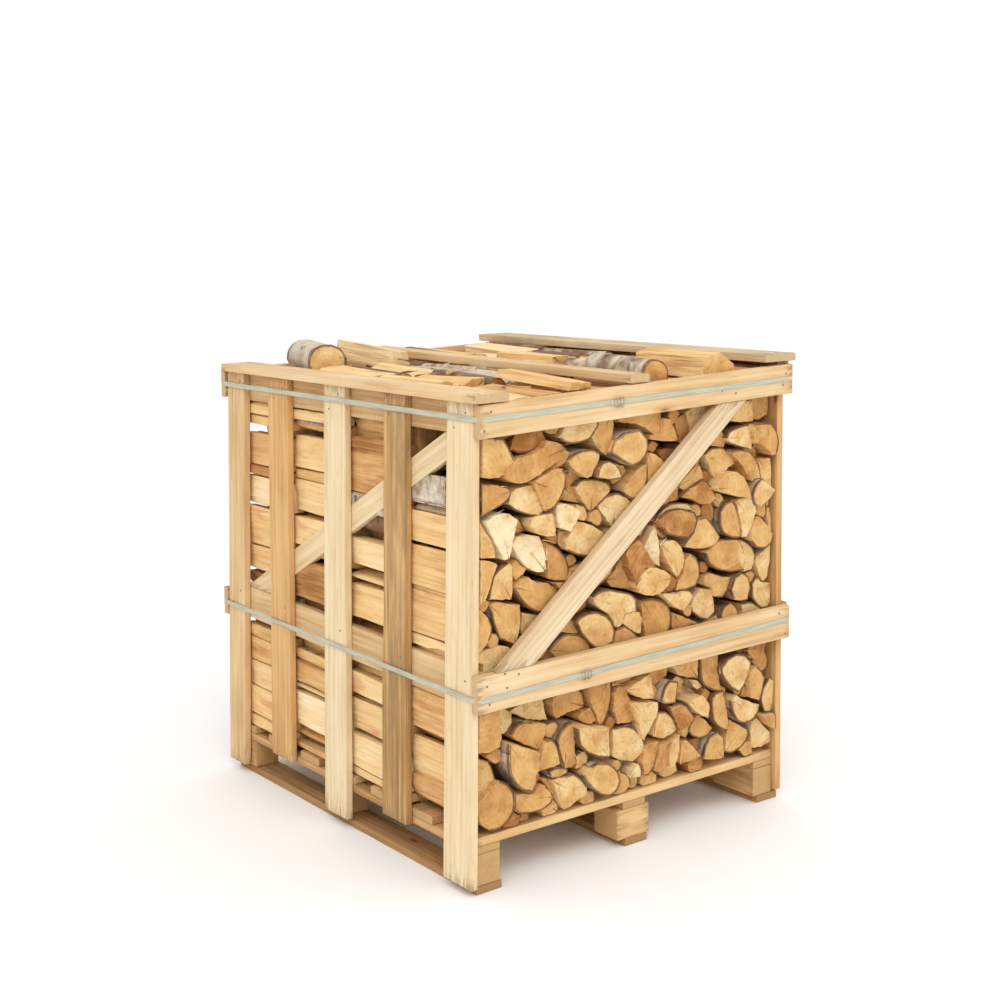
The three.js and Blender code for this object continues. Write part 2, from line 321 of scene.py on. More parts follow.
def end_material():
    """a log's sawn end: growth rings, cracks from the pith, saw marks"""
    w = Net("birch_end")
    g = w.attr("grain")              # along, across, up, with the log's own offset
    r = w.attr("ring")               # across and up from the pith, for the rings
    tone = w.attr("tone", "Fac")
    dist = w.node("ShaderNodeVectorMath", operation="LENGTH")
    wob = w.noise(w.scaled(r, (0.02, 0.02, 0.02)), 1.0, 3, 0.5)
    w.put(dist.inputs[0], r)
    d = w.math("ADD", dist.outputs["Value"], w.math("MULTIPLY", wob, 22.0))
    ring = w.math("SINE", w.math("MULTIPLY", d, 1.7))
    ring2 = w.math("SINE", w.math("MULTIPLY", d, 0.45))
    blotch = w.noise(w.scaled(g, (0.02, 0.024, 0.024)), 1.0, 4, 0.55)
    grit = w.noise(w.scaled(g, (0.3, 0.33, 0.33)), 1.0, 4, 0.7)
    v = w.math("ADD", w.math("MULTIPLY", blotch, 0.62), w.math("MULTIPLY", tone, 0.60))
    v = w.math("ADD", v, w.math("MULTIPLY", grit, 0.20))
    v = w.math("ADD", v, w.math("MULTIPLY", ring, 0.020))
    v = w.math("ADD", v, w.math("MULTIPLY", ring2, 0.022))
    col = w.ramp(w.remap(v, 0.06, 0.72), [
        (0.0, srgb(170, 112, 56)), (0.22, srgb(206, 152, 88)), (0.5, srgb(226, 179, 110)),
        (0.75, srgb(239, 205, 145)), (1.0, srgb(250, 229, 186))])
    stain = w.remap(w.noise(w.scaled(g, (0.0, 0.045, 0.045), (4, 2, 7)), 1.0, 4, 0.6), 0.53, 0.70, 0.0, 0.55, True)
    col = w.mix(stain, col, srgb(196, 128, 66))
    heart = w.remap(w.math("ADD", dist.outputs["Value"], w.math("MULTIPLY", blotch, 26.0)), 46.0, 12.0, 0.0, 0.38, True)
    col = w.mix(heart, col, srgb(186, 122, 66))
    # radial checks
    xyz = w.split(r)
    ang = w.math("ARCTAN2", xyz[2], xyz[1])
    rad = w.noise(w.join(w.math("MULTIPLY", ang, 5.5), w.math("MULTIPLY", dist.outputs["Value"], 0.012), tone), 1.0, 3, 0.6)
    check = w.remap(w.math("ABSOLUTE", w.math("SUBTRACT", rad, 0.5)), 0.0, 0.010, 1.0, 0.0)
    gate = w.remap(w.noise(w.scaled(g, (0.0, 0.018, 0.018), (9, 1, 5)), 1.0, 2, 0.5), 0.52, 0.62)
    check = w.math("MULTIPLY", check, gate)
    col = w.mix(w.math("MULTIPLY", check, 0.55), col, srgb(96, 58, 28))
    # saw marks
    sawn = w.wave(w.scaled(g, (0.0, 0.05, 0.23)), 1.0, 2.0, 2.0, 1.0, "Z")
    col = w.mix(w.math("MULTIPLY", sawn, 0.10), col, srgb(150, 96, 50))
    # the layer under the bark
    rim = w.attr("rim", "Fac")
    col = w.mix(w.remap(w.math("ADD", rim, w.math("MULTIPLY", grit, 0.35)), 0.62, 1.0, 0.0, 0.85, True), col, srgb(104, 62, 34))
    w.put(w.bsdf.inputs["Base Color"], col)
    w.put(w.bsdf.inputs["Roughness"], w.remap(grit, 0.3, 0.7, 0.66, 0.86))
    w.bsdf.inputs["Specular IOR Level"].default_value = 0.3
    h = w.math("ADD", w.math("MULTIPLY", grit, 0.8), w.math("MULTIPLY", sawn, 0.5))
    h = w.math("SUBTRACT", h, w.math("MULTIPLY", check, 1.6))
    h = w.math("ADD", h, w.math("MULTIPLY", ring, 0.12))
    w.bump(h, 0.6, 0.0014)
    return w.mat


def bark_material():
    """birch bark: white to grey-brown sheets with dark cross dashes and scars"""
    w = Net("birch_bark")
    g = w.attr("grain")              # along the log, then round it
    bk = w.attr("bark", "Fac")       # 1 white, 0 brown
    soft = w.noise(w.scaled(g, (0.016, 0.016, 0.016)), 1.0, 5, 0.6)
    fine = w.noise(w.scaled(g, (0.30, 0.05, 0.05)), 1.0, 4, 0.65)
    dash = w.noise(w.scaled(g, (0.42, 0.045, 0.045), (3, 3, 3)), 1.0, 2, 0.5)
    white = w.ramp(w.math("ADD", w.math("MULTIPLY", soft, 0.7), w.math("MULTIPLY", fine, 0.4)), [
        (0.25, srgb(138, 116, 92)), (0.45, srgb(188, 168, 142)), (0.62, srgb(216, 202, 180)), (0.85, srgb(233, 223, 206))])
    brown = w.ramp(w.math("ADD", w.math("MULTIPLY", soft, 0.7), w.math("MULTIPLY", fine, 0.4)), [
        (0.25, srgb(70, 44, 27)), (0.45, srgb(108, 74, 48)), (0.65, srgb(144, 108, 76)), (0.9, srgb(176, 146, 114))])
    m = w.remap(w.math("ADD", bk, w.math("MULTIPLY", w.math("SUBTRACT", soft, 0.5), 0.9)), 0.30, 0.68, 0.0, 1.0, True)
    col = w.mix(m, brown, white)
    scar = w.remap(w.noise(w.scaled(g, (0.030, 0.012, 0.012), (6, 1, 2)), 1.0, 4, 0.6), 0.58, 0.68, 0.0, 0.85, True)
    col = w.mix(scar, col, srgb(66, 54, 46))
    peel = w.remap(w.noise(w.scaled(g, (0.018, 0.014, 0.014), (2, 8, 6)), 1.0, 3, 0.5), 0.60, 0.68, 0.0, 0.6, True)
    col = w.mix(peel, col, srgb(178, 134, 98))
    col = w.mix(w.remap(dash, 0.64, 0.72, 0.0, 0.75), col, srgb(56, 44, 38))
    w.put(w.bsdf.inputs["Base Color"], col)
    w.put(w.bsdf.inputs["Roughness"], w.remap(fine, 0.3, 0.7, 0.55, 0.85))
    w.bsdf.inputs["Specular IOR Level"].default_value = 0.35
    h = w.math("ADD", w.math("MULTIPLY", fine, 0.5), w.math("MULTIPLY", soft, 1.2))
    h = w.math("SUBTRACT", h, w.math("MULTIPLY", w.remap(dash, 0.62, 0.72), 0.5))
    h = w.math("SUBTRACT", h, w.math("MULTIPLY", scar, 0.6))
    w.bump(h, 0.8, 0.0022)
    return w.mat


def strap_material():
    w = Net("strap_plastic")
    g = w.attr("grain")              # along, across
    em = w.voronoi(w.scaled(g, (0.42, 0.62, 0.0)), 1.0, rand=0.0)
    dirt = w.noise(w.scaled(g, (0.012, 0.15, 0.1)), 1.0, 5, 0.6)
    col = w.ramp(dirt, [(0.3, srgb(164, 162, 142)), (0.5, srgb(184, 182, 162)), (0.7, srgb(194, 192, 174))])
    w.put(w.bsdf.inputs["Base Color"], col)
    w.put(w.bsdf.inputs["Roughness"], w.remap(dirt, 0.3, 0.7, 0.5, 0.7))
    w.bsdf.inputs["Specular IOR Level"].default_value = 0.3
    w.bsdf.inputs["Transmission Weight"].default_value = 0.0
    w.bump(em, 0.4, 0.0003)
    return w.mat


def steel_material(name, base, rough):
    w = Net(name)
    g = w.attr("grain")
    n = w.noise(w.scaled(g, (0.5, 0.5, 0.5)), 1.0, 5, 0.6)
    col = w.ramp(n, [(0.3, tuple(c * 0.6 for c in base)), (0.6, base)])
    w.put(w.bsdf.inputs["Base Color"], col)
    w.bsdf.inputs["Metallic"].default_value = 1.0
    w.put(w.bsdf.inputs["Roughness"], w.remap(n, 0.3, 0.7, rough - 0.1, rough + 0.15))
    w.bump(n, 0.3, 0.0004)
    return w.mat


M_BOARD = board_material("boards_pale", srgb(232, 206, 164), srgb(220, 186, 138), srgb(192, 150, 98))
M_CREAM = board_material("boards_cream", srgb(238, 220, 186), srgb(230, 206, 164), srgb(208, 174, 126), knots=0.3)
M_BRACE = board_material("boards_brace", srgb(232, 212, 180), srgb(222, 196, 158), srgb(196, 164, 124), knots=0.3, grey=0.08)
M_TAN = board_material("boards_tan", srgb(226, 184, 128), srgb(206, 158, 100), srgb(166, 116, 66), grey=0.1)
M_PALLET = board_material("boards_pallet", srgb(232, 196, 142), srgb(214, 172, 116), srgb(178, 130, 80), grey=0.12)
M_OLD = board_material("boards_weathered", srgb(236, 214, 178), srgb(214, 188, 148), srgb(168, 140, 104), grey=0.25)
M_WANE = board_material("boards_waney", srgb(226, 190, 136), srgb(202, 160, 104), srgb(148, 112, 68), grey=0.34)
# the skids: weathered wood, darker than the other pallet boards, partly as painted shade for their shadowed place under
# the deck
M_SKID_WEATHERED_SHADE = board_material("boards_skid_weathered_shade", srgb(206, 164, 114), srgb(182, 140, 90), srgb(136, 98, 58), grey=0.25)
M_SPLIT = split_material()
M_END = end_material()
M_BARK = bark_material()
M_STRAP = strap_material()
M_STEEL = steel_material("buckle_steel", (0.62, 0.51, 0.34), 0.42)
M_NAIL = steel_material("nail_steel", (0.30, 0.27, 0.24), 0.55)


# ------------------------------------------------------------------ boards
def stations(length, step, r):
    e = [0.0, 0.3 * r, r]
    n = max(2, int(round((length - 2 * r) / step)))
    inner = [r + (length - 2 * r) * k / n for k in range(1, n)]
    return e + inner + [length - r, length - 0.3 * r, length]


def frame_of(node):
    """a board's corners in crate millimetres, and its axes: along, across, through"""
    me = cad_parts[node].data
    pts = sorted({tuple(round(c, 6) for c in v.co) for v in me.vertices})
    p = np.array(pts) * 1000.0
    p[:, 0] += ORIGIN[0]
    p[:, 1] += ORIGIN[1]
    if len(p) != 8:
        raise RuntimeError("%s has %d corners" % (node, len(p)))
    c = p.mean(0)
    # the directions of the box's edges: the long one by the spread of the corners
    u, s, vt = np.linalg.svd(p - c)
    long_axis = vt[0]
    if s[0] < 1.25 * s[1]:                   # a block: keep to the world's axes
        axes = [np.eye(3)[k] for k in np.argsort(-(p.max(0) - p.min(0)))]
    else:
        axes = [long_axis, vt[1], vt[2]]
    axes = [a if a[np.argmax(np.abs(a))] > 0 else -a for a in axes]
    q = (p - c) @ np.array(axes).T
    order = {}
    idx = list(range(8))
    idx.sort(key=lambda i: q[i][0])
    for a, half in enumerate((idx[:4], idx[4:])):
        half.sort(key=lambda i: q[i][1])
        for b, quarter in enumerate((half[:2], half[2:])):
            quarter.sort(key=lambda i: q[i][2])
            for d, i in enumerate(quarter):
                order[(a, b, d)] = p[i]
    return order, c, axes


def board(node, mat, step=26.0, r=2.2, rough=0.5, wane=0.0, tone=None, bow=0.6, grad=None):
    corner, c, ax = frame_of(node)
    brng = random.Random(node)
    ends = [np.mean([corner[(a, b, d)] for b in (0, 1) for d in (0, 1)], axis=0) for a in (0, 1)]
    L = float(np.linalg.norm(ends[1] - ends[0]))
    W = float(np.linalg.norm(corner[(0, 1, 0)] - corner[(0, 0, 0)]))
    T = float(np.linalg.norm(corner[(0, 0, 1)] - corner[(0, 0, 0)]))
    W = max(W, float(np.linalg.norm(corner[(1, 1, 0)] - corner[(1, 0, 0)])))
    us = stations(L, step, r)
    ws = stations(W, max(9.0, min(16.0, W / 6)), r)
    ts = stations(T, max(7.0, T / 3), r)
    off = [brng.uniform(0, 9000) for _ in range(3)]
    seed = brng.uniform(0, 500)
    index, verts, grain, endm, ends_at, near = {}, [], [], [], [], []
    nu, nw, nt = len(us) - 1, len(ws) - 1, len(ts) - 1

    def vert(i, j, k):
        key = (i, j, k)
        if key in index:
            return index[key]
        u, w, t = us[i], ws[j], ts[k]
        # round the edges, more here and less there
        rr = r * (0.75 + 0.6 * n3(u / 46.0 + seed, (w > W / 2) * 7.1, (t > T / 2) * 3.3))
        if wane > 0 and w > W / 2 and t < T / 2:
            rr += wane * max(0.0, 0.35 + n3(u / 260.0 + seed, 3.7, 1.1)) * 2.0
        rr = max(0.5, rr)
        q = np.array([u, w, t])
        lim = np.array([L, W, T])
        rad = np.array([min(rr, L / 2), min(rr, W / 2.2), min(rr, T / 2.2)])
        core = np.minimum(np.maximum(q, rad), lim - rad)
        dvec = q - core
        dl = np.linalg.norm(dvec / rad) if dvec.any() else 0.0
        if dl > 1.0:
            q = core + dvec / dl
        # surface unevenness, always inwards
        face = (i in (0, nu)), (j in (0, nw)), (k in (0, nt))
        a = 0.5 + 0.5 * n3(u / 70.0 + seed, w / 16.0, t / 16.0 + 5)
        b = 0.5 + 0.5 * n3(u / 14.0 + seed, w / 9.0, t / 9.0 + 9)
        dep = rough * (0.7 * a + 0.5 * b)
        for n, (on, val, full) in enumerate(zip(face, (u, w, t), (L, W, T))):
            if on:
                q[n] += dep if val < full / 2 else -dep
        f = q / lim
        p = np.zeros(3)
        for (A, B, D), cv in corner.items():
            p += cv * (f[0] if A else 1 - f[0]) * (f[1] if B else 1 - f[1]) * (f[2] if D else 1 - f[2])
        if bow:
            s = bow * n3(u / 420.0 + seed, 1.3, 0.4) * math.sin(math.pi * min(max(f[0], 0), 1))
            p = p + ax[1] * s
        index[key] = len(verts)
        verts.append(p)
        ends_at.append(f[0])
        near.append(math.exp(-min(u, L - u) / 38.0))
        loc = [float(np.dot(p - c, a_)) for a_ in ax]
        grain.append((loc[0] + off[0], loc[1] + off[1], loc[2] + off[2]))
        endm.append(1.0 if i in (0, nu) else 0.0)
        return index[key]

    faces, smooth = [], []
    for i in range(nu):
        for j in range(nw):
            faces.append((vert(i, j, 0), vert(i, j + 1, 0), vert(i + 1, j + 1, 0), vert(i + 1, j, 0)))
            faces.append((vert(i, j, nt), vert(i + 1, j, nt), vert(i + 1, j + 1, nt), vert(i, j + 1, nt)))
        for k in range(nt):
            faces.append((vert(i, 0, k), vert(i + 1, 0, k), vert(i + 1, 0, k + 1), vert(i, 0, k + 1)))
            faces.append((vert(i, nw, k), vert(i, nw, k + 1), vert(i + 1, nw, k + 1), vert(i + 1, nw, k)))
    for j in range(nw):
        for k in range(nt):
            faces.append((vert(0, j, k), vert(0, j, k + 1), vert(0, j + 1, k + 1), vert(0, j + 1, k)))
            faces.append((vert(nu, j, k), vert(nu, j + 1, k), vert(nu, j + 1, k + 1), vert(nu, j, k + 1)))
    V = np.array(verts)
    # outward facing, whichever way the corner axes turn
    e = np.array([corner[(1, 0, 0)] - corner[(0, 0, 0)], corner[(0, 1, 0)] - corner[(0, 0, 0)], corner[(0, 0, 1)] - corner[(0, 0, 0)]])
    if np.linalg.det(e) < 0:
        faces = [f[::-1] for f in faces]
    tn = brng.uniform(-0.5, 0.5) if tone is None else tone
    tones = [tn] * len(V) if grad is None else [grad[0] + (grad[1] - grad[0]) * t for t in ends_at]
    ob = new_mesh(node + "_sawn", V, faces, [mat], vec={"grain": grain}, flt={"tone": tones, "endm": endm, "near": near})
    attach(ob, "root")
    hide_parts(node)
    return ob


def build_boards():
    for side in ("left", "middle", "right"):
        # the skids' lower tone adds to the same painted shade
        board("pallet_skid_" + side, M_SKID_WEATHERED_SHADE, tone=-0.1)
        board("pallet_stringer_" + side, M_PALLET)
        for place in ("front", "middle", "back"):
            board("pallet_block_%s_%s" % (side, place), M_PALLET, step=14, r=2.6, rough=0.8, bow=0)
    for k in range(1, 8):
        board("deck_board_%d" % k, M_PALLET, tone=0.3 if k == 1 else None)
    for k in range(1, 6):
        if k == 2:
            board("left_slat_2", M_WANE, wane=7.0, rough=0.9, bow=1.2, grad=(-0.55, 0.15))
        else:
            board("left_slat_%d" % k, M_CREAM if k in (1, 3) else (M_TAN if k == 4 else M_BOARD),
                  tone={1: 0.0, 3: 0.1, 4: 0.35, 5: -0.05}[k], wane=3.0 if k == 4 else 0.0)
        board("right_slat_%d" % k, M_TAN, tone=0.15 if k == 1 else None)
    board("left_rail_top", M_BOARD, tone=-0.35)
    board("left_rail_middle", M_BOARD, tone=0.0)
    board("left_brace", M_CREAM, tone=-0.1)
    board("left_cap", M_BOARD, tone=0.25)
    board("right_rail_top", M_TAN)
    board("right_rail_middle", M_TAN)
    board("right_brace", M_CREAM)
    board("right_cap", M_OLD, rough=0.8)
    board("front_rail_top", M_BOARD, tone=0.05)
    board("front_rail_middle", M_BOARD, tone=0.2)
    board("front_brace", M_BRACE, tone=0.1)
    board("back_rail_top", M_BOARD)
    board("back_rail_middle", M_BOARD)
    board("back_brace", M_CREAM)
    board("middle_cap", M_BOARD, tone=0.1)


